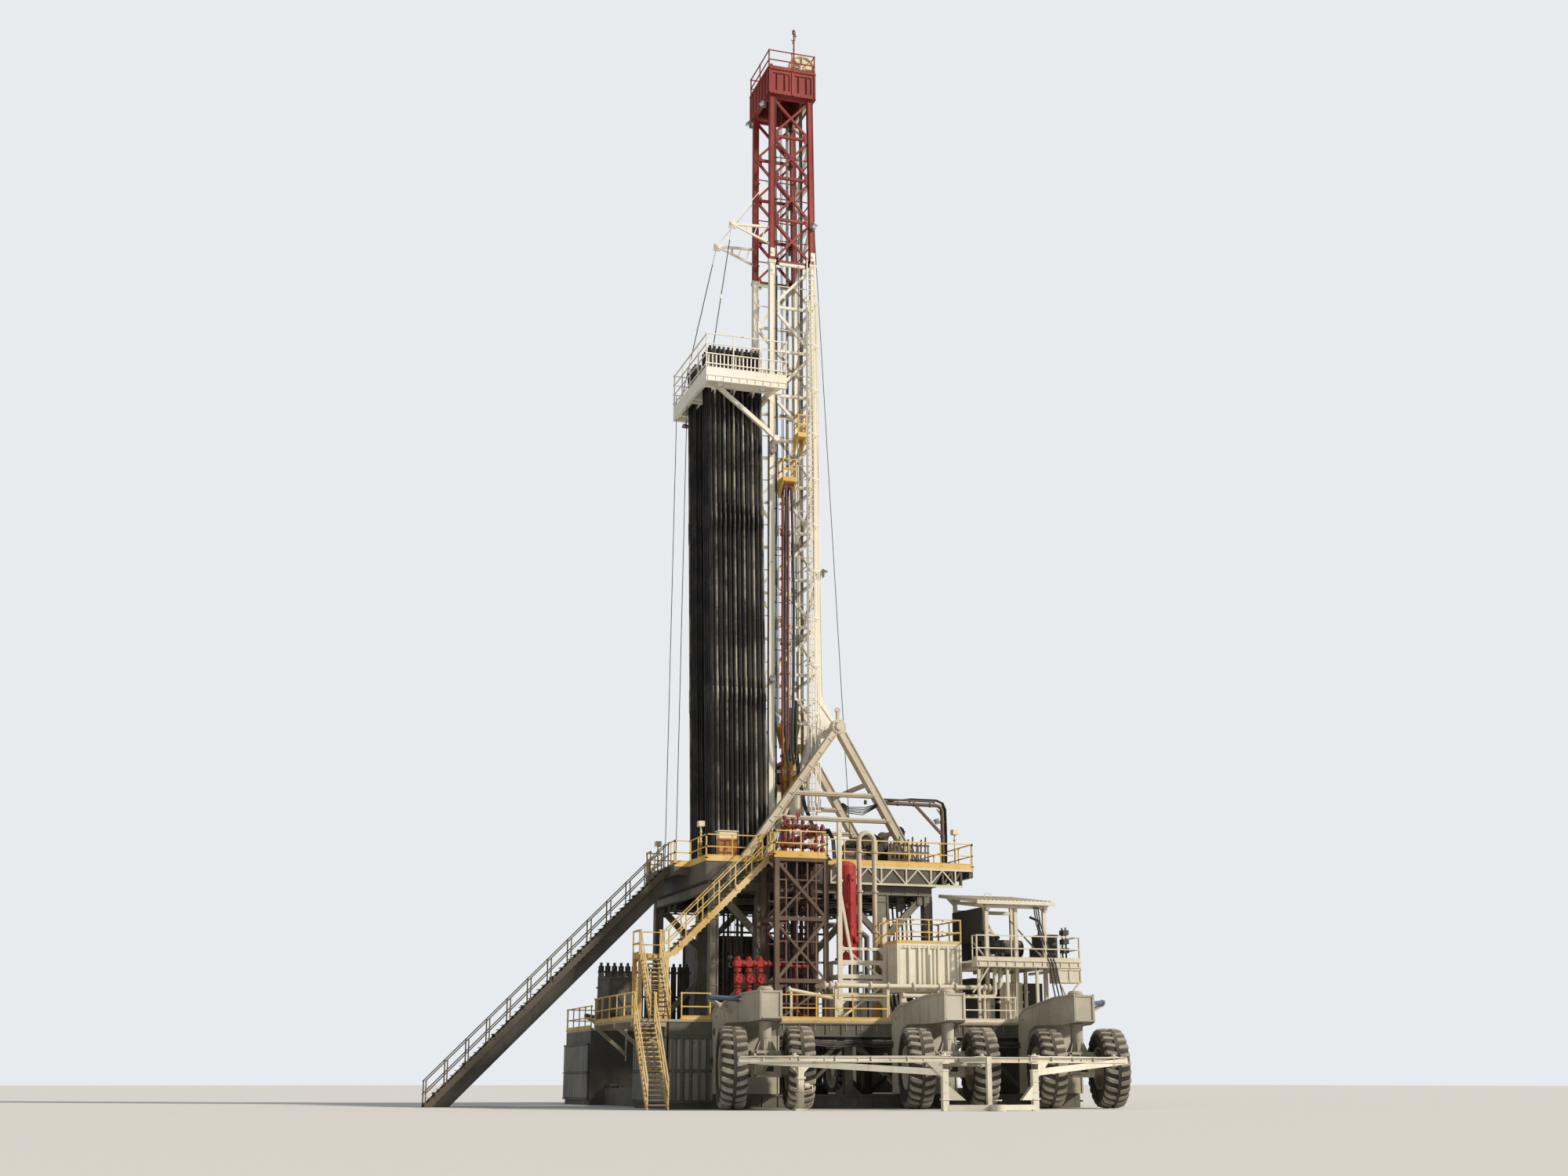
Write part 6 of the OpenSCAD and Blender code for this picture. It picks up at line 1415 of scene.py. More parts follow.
# Manifold tower
# A brown frame of wide-flange beams stands outside the substructure. Inside it red mud
# lines climb to the floor through hammer-union valves; the frame is gusseted and bolted.
vessel_red = paint("vessel_red", (0.33, 0.014, 0.012), (0.42, 0.035, 0.028), dirt=0.4, rust=0.1, dust=0.2,
                   rough=0.45)
manifold_red = paint("manifold_red", (0.17, 0.022, 0.016), (0.3, 0.09, 0.065), dirt=0.55, rust=0.3,
                     dust=0.25)
coat("manifold_tower", brown_steel)
coat("standpipes", manifold_red)
work = bmesh.new()
for x in (-1.525, -0.375):
    for y0 in (-3.9, -2.9):
        for y in (y0 + 0.004, y0 + 0.086):
            beam(work, (x, y, deck_z + 0.04), (x, y, 5.38), 0.104, 0.014, up=Y)
        slab(work, (x - 0.1, y0 - 0.045, deck_z), (x + 0.1, y0 + 0.135, deck_z + 0.025))
        for i in (-1, 1):
            for j in (-1, 1):
                disc(work, (x + i * 0.078, y0 + 0.045 + j * 0.07, deck_z + 0.035), Z, 0.012, 0.025, 6)
        for z in (2.65, 4.0, 5.31):
            for s in (-1, 1):
                gusset(work, (x + s * 0.045, y0 + 0.045, z - 0.045), (s * 0.16, 0, 0), (0, 0, -0.16),
                       (0, 0.014, 0))
                gusset(work, (x + s * 0.045, y0 + 0.045, z + 0.045), (s * 0.12, 0, 0), (0, 0, 0.12),
                       (0, 0.014, 0))
for y in (-3.88, -2.85):
    for z, (a, b) in ((1.85, (-1.5, -0.4)), (2.72, (-0.4, -1.5)), (4.08, (-1.5, -0.4))):
        beam(work, (a, y, z), (b, y, z + (0.75 if z < 2 else 1.18)), 0.02, 0.05)
for x in (-1.3, -1.05, -0.8, -0.6):
    bar(work, x, -3.84, (deck_z + 0.04, 5.3), 0.035, 0.035)
for z in (2.2, 3.1, 3.55, 4.5, 4.9):
    bar(work, (-1.5, -0.4), -3.84, z, 0.03, 0.03)
    bar(work, (-1.5, -0.4), -2.86, z, 0.03, 0.03)
piece("tower_plates", work, brown_steel, "manifold_tower")


def valve(work, at, along, out, size=0.1, wheel=True):
    """A gate valve in a pipe: body, two flanges, bonnet, stem and spoked handwheel."""
    at, along, out = Vector(at), Vector(along).normalized(), Vector(out).normalized()
    disc(work, at, along, size * 0.72, size * 1.3, 16)
    for s in (-1, 1):
        flange(work, at + along * s * size * 0.95, along, size, size * 0.3, 8)
    disc(work, at + out * size * 0.75, out, size * 0.5, size * 0.9, 16)
    flange(work, at + out * size * 1.2, out, size * 0.72, size * 0.22, 6)
    disc(work, at + out * size * 1.7, out, size * 0.14, size * 1.0, 10)
    if wheel:
        hub = at + out * size * 2.15
        rise = along.cross(out).normalized()
        turns = [math.tau * i / 24 for i in range(25)]
        ring = [hub + (along * math.cos(a) + rise * math.sin(a)) * size * 1.05 for a in turns]
        pipe_run(work, ring, size * 0.09, 6)
        disc(work, hub, out, size * 0.2, size * 0.22, 12)
        for k in range(4):
            a = math.tau * k / 4 + 0.4
            pipe_run(work, [hub, hub + (along * math.cos(a) + rise * math.sin(a)) * size * 1.03],
                     size * 0.06, 6)


work = bmesh.new()
for i, (x, y) in enumerate(((-1.32, -3.35), (-1.12, -3.2), (-0.92, -3.35), (-0.72, -3.2), (-0.55, -3.35))):
    top = 5.3 if i % 2 else 5.24
    pipe_run(work, [(x, y, deck_z + 0.06), (x, y, top)], 0.032 if i % 2 else 0.045, 14)
    for z in (2.4 + 0.2 * i, 3.3, 4.2 - 0.1 * i, 4.95):
        flange(work, (x, y, z), Z, 0.075, 0.03, 8)
    valve(work, (x, y, 2.95 + 0.22 * (i % 3)), Z, (-0.2, -1, 0), 0.085)
    valve(work, (x, y, 4.55 - 0.2 * (i % 2)), Z, (0.2, -1, 0), 0.075, i % 2 == 0)
for z in (2.15, 5.05):
    pipe_run(work, [(-1.42, -3.3, z), (-0.46, -3.3, z)], 0.035, 12)
    for x in (-1.42, -0.46):
        flange(work, (x, -3.3, z), X, 0.07, 0.03, 8)
line_brown = paint("line_brown", (0.085, 0.022, 0.017), (0.16, 0.06, 0.045), dirt=0.55, rust=0.35, dust=0.2)
piece("tower_mud_lines", work, line_brown, "manifold_tower")

# Standpipes
# Two red standpipes climb the near mast leg. They are clamped at every bay, flanged into
# the floor manifold with its valves, and each ends in a gooseneck union for the mud hose.
standpipe_y, manifold_y, run_z = -0.855, -3.35, 6.07
work = bmesh.new()
for x in (-0.42, -0.27):
    for i in range(7):
        z = floor_z + 1.17 + pitch * i
        disc(work, (x, standpipe_y, z), Z, 0.046, 0.05, 16)
        bar(work, x, (standpipe_y, -0.8), z, 0.07, 0.03)
        for s in (-1, 1):
            disc(work, (x + s * 0.042, -0.875, z), Y, 0.009, 0.02, 6)
    for z in (8.2, 11.0, 13.8):
        flange(work, (x, standpipe_y, z), Z, 0.058, 0.045, 8)
    flange(work, (x, -1.1, 14.97), Y, 0.056, 0.03, 8)
    for y in (-1.4, -2.1, -2.8):
        flange(work, (x, y, run_z), Y, 0.055, 0.04, 8)
    valve(work, (x, -1.75, run_z), Y, Z, 0.06)
    valve(work, (x, -2.5, run_z), Y, Z, 0.06)
for z in (5.71, 6.15):
    for x in (-1.1, -0.86, -0.62):
        valve(work, (x, manifold_y, z), X, (0, -1, 0.15), 0.062)
    for x in (-1.24, -0.98, -0.74, -0.5):
        flange(work, (x, manifold_y, z), X, 0.065, 0.035, 8)
for i, x in enumerate((-1.18, -0.98, -0.74)):
    pipe_run(work, [(x, manifold_y, floor_z + 0.01), (x, manifold_y, 6.34 - 0.05 * i)], 0.026, 12)
    disc(work, (x, manifold_y, 6.36 - 0.05 * i), Z, 0.045, 0.06, 16)
disc(work, (-0.86, manifold_y, 6.3), Z, 0.016, 0.14, 8)
disc(work, (-0.86, -3.37, 6.42), Y, 0.055, 0.03, 24)
piece("standpipe_flanges_and_valves", work, manifold_red, "standpipes")
work = bmesh.new()
# Each hose hangs in a long loop from its gooseneck and comes back up to the mast
for x, dx in ((-0.42, -0.02), (-0.27, 0.02)):
    pipe_run(work, [(x, -1.115, 14.93), (x, -1.14, 14.7), (x + dx, -1.16, 13.6), (x + dx * 2, -1.17, 12.0),
                    (x + dx * 2, -1.16, 10.2), (x + dx, -1.13, 8.9), (x + 0.03, -1.08, 8.3),
                    (x + 0.1, -0.99, 8.02), (x + 0.18, -0.92, 8.12), (x + 0.2, -0.875, 8.45),
                    (x + 0.2, -0.86, 9.4)], 0.034, 12)
piece("mud_hoses", work, black_rubber, "standpipes")

# Gas separator
# A tall red vessel stands in its beige frame with a level pipe beside it. The pale vent
# pipe rises past the floor, loops over and comes back down; every nozzle is flanged.
vessel_x, vessel_y, gauge_y = 0.17, -3.7, -3.985
separator_paint = paint("separator_paint", (0.33, 0.014, 0.012), (0.42, 0.035, 0.028), dirt=0.4, rust=0.1,
                        dust=0.2, rough=0.45, split=("X", 0.42, (0.52, 0.45, 0.34)))
coat("gas_separator", separator_paint)
work = bmesh.new()
for z in (3.3, 4.02, 4.64, 5.22):
    disc(work, (vessel_x, vessel_y, z), Z, 0.2305, 0.02, 48)
for a, z in ((-100, 4.35), (-55, 3.62), (-140, 3.62), (-70, 5.0)):
    a = math.radians(a)
    way = Vector((math.cos(a), math.sin(a), 0))
    at = Vector((vessel_x, vessel_y, z))
    pipe_run(work, [at + way * 0.21, at + way * 0.27], 0.045, 16)
    flange(work, at + way * 0.275, way, 0.072, 0.025, 8)
for z in (3.35, 5.05):
    pipe_run(work, [(vessel_x, -3.92, z), (vessel_x, gauge_y, z)], 0.026, 12)
for z in (3.42, 3.9, 4.4, 4.95):
    flange(work, (vessel_x, gauge_y, z), Z, 0.05, 0.03, 8)
valve(work, (vessel_x, gauge_y, 3.66), Z, (0.8, -0.5, 0), 0.045)
disc(work, (vessel_x, vessel_y, 5.345), Z, 0.1, 0.03, 28)
bolt_circle(work, (vessel_x, vessel_y, 5.365), Z, 0.08, 10, 0.009, 0.018)
piece("vessel_nozzles_and_bands", work, vessel_red, "gas_separator")
work = bmesh.new()
for x in (0.485, 0.85):
    for z in (2.9, 3.8, 4.7, 5.6):
        flange(work, (x, vessel_y, z), Z, 0.09, 0.03, 8)
    for z in (3.4, 5.2):
        bar(work, x, (vessel_y, -3.55), z, 0.03, 0.05)
piece("vent_pipe_flanges", work, beige_steel, "gas_separator")
pale_pipe = paint("pale_pipe", (0.6, 0.54, 0.42), (0.72, 0.67, 0.56), dirt=0.4, rust=0.15)
coat("separator_frame", pale_pipe)
work = bmesh.new()
for x in (-0.13, 0.93):
    bar(work, x, -4.09, (deck_z + 0.04, 4.1), 0.018, 0.09)
for z, (a, b) in ((1.9, (-0.1, 0.9)), (2.75, (0.9, -0.1))):
    beam(work, (a, -4.06, z), (b, -4.06, z + 0.72), 0.02, 0.045)
for z in (2.3, 2.68, 3.08, 3.4):
    bar(work, (-0.13, 0.94), -4.085, z, 0.02, 0.06)
    for x in (-0.1, 0.9):
        gusset(work, (x, -4.07, z - 0.03), (0.12 if x < 0 else -0.12, 0, 0), (0, 0, -0.12), (0, 0.012, 0))
for z in (4.3, 4.9, 5.5, 6.1):
    bar(work, (-0.17, -0.04), -4.06, z, 0.02, 0.05)
for x in (0.15, 0.42, 0.68):
    bar(work, x, -4.07, (2.3, 3.1), 0.03, 0.03)
piece("separator_frame_plates", work, pale_pipe, "separator_frame")

# Choke manifold
# The red choke manifold hangs at the near edge: a studded header with cross fittings, and
# three branches of flanged gate valves, each turned by a wheel facing out.
choke_y, header_z, branch_y = -3.8, 3.05, -3.58
coat("choke_manifold", vessel_red)
work = bmesh.new()
for x in (-2.4, -2.15, -1.9):
    slab(work, (x - 0.065, -3.865, 2.985), (x + 0.065, -3.735, 3.115))
    flange(work, (x, choke_y, 3.135), Z, 0.075, 0.03, 8)
    for z in (2.92, 2.56, 2.3):
        flange(work, (x, choke_y, z), Z, 0.08, 0.035, 8)
    valve(work, (x, choke_y, 2.72), Z, (0, -1, 0), 0.088)
    valve(work, (x, choke_y, 2.42), Z, (0, -1, 0), 0.075, False)
    disc(work, (x, choke_y, 3.17), Z, 0.05, 0.06, 16)
for x in (-2.46, -2.275, -2.025, -1.8, -1.69):
    flange(work, (x, choke_y, header_z), X, 0.075, 0.03, 8)
for x in (-2.275, -2.025):
    disc(work, (x, choke_y, header_z), X, 0.062, 0.16, 16)
pipe_run(work, [(-1.7, choke_y, header_z), (-1.62, choke_y, header_z), (-1.35, -3.62, 3.02),
                (-0.95, branch_y, 3.02), (-0.7, branch_y, 3.02)], 0.042, 14)
flange(work, (-0.7, branch_y, 3.02), X, 0.075, 0.03, 8)
pipe_run(work, [(-1.0, branch_y, 3.02), (-1.0, branch_y, 2.1), (-0.85, branch_y, 1.95),
                (-0.55, branch_y, 1.95)], 0.036, 14)
for z in (2.8, 2.35):
    flange(work, (-1.0, branch_y, z), Z, 0.07, 0.03, 8)
valve(work, (-1.42, -3.66, 3.03), (1, 0.6, 0), (0, -0.3, 1), 0.07)
piece("choke_valves", work, vessel_red, "choke_manifold")

# Flow line
# The pale flow line runs along the near edge on saddle feet and turns up at its end. Its
# flanges are studded, and a second line drops from it between the two left-hand arms.
flow_y, flow_z, drop_y = -4.84, 2.56, -4.8
coat("flow_line", pale_pipe)
work = bmesh.new()
for x in (-0.62, 0.3, 1.3, 2.3, 3.1):
    flange(work, (x, flow_y, flow_z), X, 0.09, 0.035, 10)
for x in (-0.5, 0.7, 1.9, 2.98):
    disc(work, (x, flow_y, flow_z), X, 0.06, 0.05, 20)
    slab(work, (x - 0.07, -4.9, deck_z), (x + 0.07, -4.78, deck_z + 0.02))
    for s in (-1, 1):
        disc(work, (x + s * 0.02, -4.91, flow_z), Y, 0.01, 0.03, 6)
flange(work, (3.38, flow_y, 2.9), Z, 0.085, 0.03, 10)
flange(work, (-0.755, flow_y, flow_z), X, 0.085, 0.03, 10)
line_drop = [(-1.55, drop_y, 2.46), (-0.75, drop_y, 2.32)]
line_drop += bend((-0.75, drop_y, 2.32), (-0.45, drop_y, 2.27), (-0.45, drop_y, 1.6), 0.12)
line_drop += bend((-0.45, drop_y, 1.7), (-0.45, drop_y, 1.42), (-0.1, -4.86, 1.15), 0.1)
line_drop += bend((-0.3, -4.82, 1.3), (-0.02, -4.88, 1.08), (0.5, -4.88, 1.08), 0.1)
line_drop += [(0.62, -4.88, 1.08)]
pipe_run(work, line_drop, 0.042, 14)
flange(work, (0.62, -4.88, 1.08), X, 0.075, 0.03, 8)
flange(work, (-0.45, drop_y, 1.95), Z, 0.07, 0.03, 8)
flange(work, (-1.55, drop_y, 2.46), (1, 0, -0.17), 0.07, 0.03, 8)
bar(work, -1.5, drop_y, (2.42, deck_z + 0.02), 0.05, 0.05)
bar(work, 0.3, (-4.88, -4.66), 1.04, 0.05, 0.05)
piece("flow_line_flanges_and_drop", work, pale_pipe, "flow_line")

# Ribbed tank
# A cream tank with pressed ribs stands on the lower deck. A railed walkway crosses its top,
# with hatches, a gauge glass, a drain valve, lifting lugs and a short ladder at its end.
tank_left, tank_right, tank_front, tank_back = 1.0, 2.49, -4.7, -3.44
tank_paint = paint("tank_paint", (0.66, 0.6, 0.47), (0.76, 0.72, 0.6), dirt=0.4, rust=0.15,
                   split=("Z", 3.495, (0.62, 0.42, 0.14)))
coat("ribbed_tank", tank_paint)
work = bmesh.new()
for z in (2.47, 3.43):
    bar(work, (tank_left, tank_right), tank_front, z, 0.03, 0.05)
    for x in (tank_left, tank_right):
        bar(work, x, (tank_front, tank_back), z, 0.03, 0.05)
for x in (tank_left, tank_right):
    for y in (tank_front, tank_back):
        bar(work, x, y, (2.45, 3.45), 0.05, 0.05)
rows(work, stud(Y, 0.01, 0.02, 6), tank_paint, 16, (0.092, 0, 0), (1.055, -4.72, 3.43))
for x in (1.18, 2.3):
    for y in (-4.5, -3.62):
        bar(work, x, y, (3.49, 3.56), 0.06, 0.02)
for x in (1.45, 2.02):
    slab(work, (x - 0.2, -4.25, 3.49), (x + 0.2, -3.85, 3.515))
    for s in (-1, 1):
        disc(work, (x + s * 0.13, -4.26, 3.51), X, 0.02, 0.08, 10)
    bar(work, (x - 0.08, x + 0.08), -3.9, 3.53, 0.016, 0.016)
pipe_run(work, [(1.2, -4.72, 2.55), (1.2, -4.8, 2.55)], 0.04, 14)
flange(work, (1.2, -4.79, 2.55), Y, 0.07, 0.03, 8)
valve(work, (2.25, -4.8, 2.62), Y, Z, 0.05)
pipe_run(work, [(1.75, -4.725, 2.62), (1.75, -4.745, 2.66), (1.75, -4.745, 3.24), (1.75, -4.725, 3.28)],
         0.011, 8)
for x in (1.62, 1.88):
    bar(work, x, -4.715, (2.5, 3.4), 0.012, 0.03)
piece("tank_edges_and_hatches", work, tank_paint, "ribbed_tank")
work = bmesh.new()
for z in (3.77, 4.02):
    for a, b in (((1.04, -4.66), (2.45, -4.66)), ((1.04, -4.66), (1.04, -3.47)),
                 ((2.45, -4.66), (2.45, -3.47))):
        for i in range(5):
            t = i / 4
            disc(work, (a[0] + (b[0] - a[0]) * t, a[1] + (b[1] - a[1]) * t, z), Z, 0.026, 0.04, 10)
for x in (0.9, 0.98):
    bar(work, x, -3.62, (deck_z + 0.05, 4.05), 0.03, 0.016)
rows(work, stud(Y, 0.01, 0.3, 8), yellow_rail, 9, (0, 0, 0.2), (0.94, -3.77, 2.0))
for y in (-3.92, -3.62):
    bar(work, 0.94, y, (deck_z + 0.05, 3.75), 0.03, 0.03)
piece("tank_rail_joints_and_ladder", work, yellow_rail, "ribbed_tank")

# Shelter
# A light frame of channel carries a sloped roof of ribbed sheet over a power unit. The deck
# is plate on small beams; below hang a mixing hopper and a drain, and cables run up a post.
coat("shelter_frame", pale_pipe)
coat("shelter_deck", pale_pipe)
work = bmesh.new()
rows(work, one(beam, (0, -4.9, 4.488), (0, -2.65, 4.788), 0.03, 0.022), pale_pipe, 19, (0.1, 0, 0),
     (2.87, 0, 0))
bar(work, (2.82, 4.73), -4.93, 4.43, 0.06, 0.07)
for x in (3.08, 3.79, 4.5):
    for y in (-4.78, -3.03):
        z = 4.42 + 0.3 * (y + 4.9) / 2.25
        pad(work, x, y, 0.075, 0.075, 3.15, 3.17)
        for s in (-1, 1):
            gusset(work, (x + s * 0.035, y, z), (s * 0.16, 0, 0), (0, 0, -0.16), (0, 0.012, 0))
            for t in (-1, 1):
                disc(work, (x + s * 0.055, y + t * 0.055, 3.18), Z, 0.01, 0.025, 6)
for y, z in ((-4.78, 4.4), (-3.03, 4.62)):
    bar(work, (3.08, 4.5), y, z - 0.04, 0.05, 0.06)
for x in (3.08, 4.5):
    beam(work, (x, -4.78, 4.35), (x, -3.03, 4.58), 0.05, 0.06)
    beam(work, (x, -4.78, 3.2), (x, -3.03, 4.2), 0.02, 0.04)
for a, b in (((3.1, 3.18), (3.77, 4.28)), ((4.48, 3.18), (3.81, 4.28))):
    beam(work, (a[0], -3.03, a[1]), (b[0], -3.03, b[1]), 0.02, 0.045)
# Lifting eye on the roof
lifting_eye = [ring_spot((3.55, -3.9, 4.65), Y, 0.09, math.pi * i / 8) for i in range(9)]
outline(work, lifting_eye, 0.016, 0.016, up=Y)
piece("shelter_roof_ribs", work, pale_pipe, "shelter_frame")
work = bmesh.new()
for a, b in (((2.7, -5.13), (5.23, -5.13)), ((5.24, -5.12), (5.24, -3.1))):
    for z in (3.012, 3.138):
        beam(work, (*a, z), (*b, z), 0.03, 0.02)
rows(work, block(0.008, 0.016, 0.06), pale_pipe, 12, (0.22, 0, 0), (2.76, -5.125, 3.075))
rows(work, slat(0.28, 0.004, 0.012), pale_pipe, 44, (0, 0.045, 0), (4.94, -5.08, 3.15))
rows(work, slat(0.14, 0.004, 0.012), pale_pipe, 44, (0, 0.045, 0), (2.88, -5.08, 3.15))
for x in (2.8, 3.5, 4.2, 4.9):
    bar(work, x, (-5.08, -3.12), 2.97, 0.05, 0.06)
for x in (2.9, 4.75):
    gusset(work, (x, -4.75, 2.99), (0, -0.3, 0), (0, 0, -0.35), (0.02, 0, 0))
for z in (2.7, 2.97):
    bar(work, (4.64, 5.23), -5.13, z, 0.02, 0.03)
for x in (4.66, 4.935, 5.21):
    bar(work, x, -5.13, (2.7, 2.98), 0.02, 0.02)
for a, b in (((4.7, 2.69), (4.88, 2.4)), ((5.18, 2.69), (4.95, 2.4)), ((2.98, 2.98), (2.62, 2.44))):
    beam(work, (a[0], -5.11, a[1]), (b[0], -5.06, b[1]), 0.035, 0.035)
piece("shelter_deck_edges", work, pale_pipe, "shelter_deck")
dark_machine = paint("dark_machine", (0.05, 0.047, 0.04), (0.13, 0.12, 0.1), rust=0.1, dust=0.4,
                     split=("Z", 2.72, (0.055, 0.052, 0.046)))
coat("shelter_machinery", dark_machine)
work = bmesh.new()
for z in (3.17, 3.24):
    for y in (-4.16, -3.59):
        bar(work, (3.25, 4.35), y, z, 0.02, 0.02)
rows(work, block(0.005, 0.02, 0.14), dark_machine, 9, (0.06, 0, 0), (3.335, -4.14, 3.45))
rows(work, stud(X, 0.2, 0.014, 28), dark_machine, 7, (0.065, 0, 0), (3.9, -3.875, 3.49))
for y in (-4.05, -3.95, -3.85, -3.75):
    disc(work, (3.57, y, 3.69), Z, 0.035, 0.06, 14)
pipe_run(work, [(3.42, -4.1, 3.72), (3.72, -4.1, 3.72)], 0.03, 12)
disc(work, (3.3, -3.875, 3.45), X, 0.17, 0.04, 32)
spokes(work, (3.275, -3.875, 3.45), X, 0.15, 6, 0.01, 0.05)
for x in (3.45, 3.6, 3.75):
    disc(work, (x, -4.17, 3.34), Y, 0.035, 0.06, 14)
slab(work, (4.55, -4.55, 3.15), (4.95, -4.05, 3.75))
slab(work, (4.53, -4.57, 3.75), (4.97, -4.03, 3.78))
for z in (3.28, 3.4, 3.52, 3.64):
    bar(work, (4.58, 4.92), -4.56, z, 0.016, 0.03)
disc(work, (4.92, -3.5, 3.35), Z, 0.16, 0.4, 28)
for z in (3.2, 3.35, 3.5):
    disc(work, (4.92, -3.5, z), Z, 0.168, 0.02, 28)
disc(work, (4.92, -3.5, 3.6), Z, 0.03, 0.12, 12)
piece("power_unit", work, dark_machine, "shelter_machinery")
# A ribbed screen closes the left end; crates stand under the deck, and a dark louvred box fills the shade
# under the deck's right end as painted shade
work = bmesh.new()
slab(work, (3.03, -4.7, 3.6), (3.05, -3.03, 4.34))
rows(work, block(0.012, 0.02, 0.37), dark_machine, 12, (0, 0.145, 0), (3.03, -4.66, 3.97))
slab(work, (2.84, -4.55, deck_z + 0.03), (3.36, -3.6, 2.74))
slab(work, (2.82, -4.57, 2.74), (3.38, -3.58, 2.78))
for z in (1.92, 2.2, 2.48, 2.68):
    bar(work, (2.84, 3.36), -4.56, z, 0.03, 0.03)
# Dark louvred box under the deck's right end: a near-black block standing in for the shade there, painted
# shade.
slab(work, (4.24, -4.3, deck_z + 0.03), (4.66, -3.6, 2.7))
rows(work, block(0.19, 0.012, 0.012), dark_machine, 11, (0, 0, 0.07), (4.45, -4.31, deck_z + 0.12))
slab(work, (3.16, -3.5, 3.16), (3.62, -3.12, 3.92))
for z in (3.3, 3.5, 3.7):
    disc(work, (3.39, -3.52, z), Y, 0.06, 0.04, 16)
pipe_run(work, [(4.62, -4.3, 3.78), (4.62, -4.3, 4.1), (4.5, -4.1, 4.2)], 0.03, 12)
for y in (-4.9, -4.72):
    bar(work, 4.99, y, (3.2, 3.92), 0.03, 0.03)
for z in (3.35, 3.55, 3.75):
    slab(work, (4.93, -4.92, z), (5.06, -4.7, z + 0.11))
piece("screen_crates_and_pump_box", work, dark_machine, "shelter_machinery")
work = bmesh.new()
duct = [(3.7, -4.1, 3.76)] + bend((3.7, -4.1, 3.76), (3.7, -4.1, 4.12), (3.48, -4.3, 4.12), 0.1)
duct += bend((3.6, -4.2, 4.12), (3.38, -4.42, 4.12), (3.38, -4.42, 3.5), 0.1)
pipe_run(work, [*duct, (3.38, -4.42, 3.2)], 0.055, 16)
for z in (3.3, 3.8):
    disc(work, (3.38, -4.42, z), Z, 0.066, 0.03, 20)
# The drain runs along the foot of the tank and turns up to the deck
drain = [(1.02, -4.9, 2.36), (2.4, -4.9, 2.36)]
drain += bend((2.4, -4.9, 2.36), (3.22, -4.9, 2.36), (3.22, -4.9, 2.99), 0.12)
pipe_run(work, [*drain, (3.22, -4.9, 2.99)], 0.045, 16)
for x in (1.04, 1.72, 2.4, 2.86):
    disc(work, (x, -4.9, 2.36), X, 0.062, 0.05, 18)
flange(work, (3.22, -4.9, 2.96), Z, 0.085, 0.03, 8)
piece("power_unit_duct_and_drain", work, pale_pipe, "shelter_machinery")
hopper_cream = paint("hopper_cream", (0.66, 0.6, 0.47), (0.76, 0.72, 0.6), dirt=0.4, rust=0.15, dust=0.3)
work = bmesh.new()
for z in (1.86, 2.27, 2.66):
    for a, b in (((3.48, -4.52), (4.07, -4.52)), ((3.48, -4.52), (3.48, -3.78)),
                 ((4.07, -4.52), (4.07, -3.78))):
        beam(work, (*a, z), (*b, z), 0.03, 0.05)
rows(work, block(0.012, 0.014, 0.4), hopper_cream, 6, (0.105, 0, 0), (3.52, -4.51, 2.26))
slab(work, (3.505, -4.505, deck_z + 0.04), (4.045, -4.49, 2.68))
pipe_run(work, [(4.2, -4.4, 2.95), (4.2, -4.4, 2.3), (4.2, -4.4, deck_z + 0.1)], 0.045, 14)
flange(work, (4.2, -4.4, 2.5), Z, 0.075, 0.03, 8)
piece("hopper_panels", work, hopper_cream, "shelter_machinery")
lamp_work, lens_work = bmesh.new(), bmesh.new()
for x, turn in ((4.5, 0.2), (3.08, -0.2)):
    floodlight(lamp_work, lens_work, (x, -4.9, 4.3), (turn, -1, -0.6), 0.06)
piece("shelter_lamps", lamp_work, lamp_grey, "shelter_frame")
piece("shelter_lamp_lenses", lens_work, lens_pale, "shelter_frame")
work = bmesh.new()
for k in range(3):
    pipe_run(work, [(4.25 + 0.05 * k, -4.85, 4.36), (4.28 + 0.05 * k, -4.88, 4.0),
                    (4.36 + 0.06 * k, -5.0, 3.5), (4.45 + 0.07 * k, -5.155, 3.1),
                    (4.52 + 0.09 * k, -5.14, 2.6), (4.66 + 0.1 * k, -5.05, 2.15),
                    (4.7 + 0.1 * k, -4.95, deck_z + 0.04)], 0.016, 8)
piece("shelter_cables", work, black_rubber, "shelter_frame")

# Deck cabinet and hose reel
# The blowout-preventer control cabinet closes off the left end: doors, a bank of
# cylinders, and a reel wound with hose between two spoked plates.
cabinet_dark = paint("cabinet_dark", (0.07, 0.065, 0.055), (0.15, 0.135, 0.11), rust=0.15, dust=0.4)
coat("deck_cabinet", cabinet_dark)
reel_x, reel_z = -4.73, 2.22
work = bmesh.new()
for x in (-4.96, -4.675, -4.39):
    bar(work, x, -2.61, (deck_z + 0.04, 2.72), 0.014, 0.02)
for z in (1.86, 2.3, 2.72):
    bar(work, (-4.97, -4.38), -2.61, z, 0.014, 0.02)
slab(work, (-5.01, -2.63, 2.75), (-4.34, -1.73, 2.78))
for s in (-1, 1):
    disc(work, (reel_x, -2.63 + s * 0.09, reel_z), Y, 0.285, 0.016, 36)
    spokes(work, (reel_x, -2.63 + s * 0.1, reel_z), Y, 0.27, 6, 0.014, 0.03)
rows(work, one(pipe_run, ring_line((0, 0, 0), Y, 0.2, 28), 0.017, 8), cabinet_dark, 5, (0, 0.032, 0),
     (reel_x, -2.694, reel_z))
for i in range(5):
    for j in range(2):
        x, y = -4.9 + 0.17 * i, -1.55 + 0.18 * j
        disc(work, (x, y, 2.35), Z, 0.07, 1.0, 20)
        disc(work, (x, y, 2.88), Z, 0.035, 0.1, 14)
for z in (2.0, 2.6):
    bar(work, (-4.99, -4.13), -1.46, z, 0.36, 0.03)
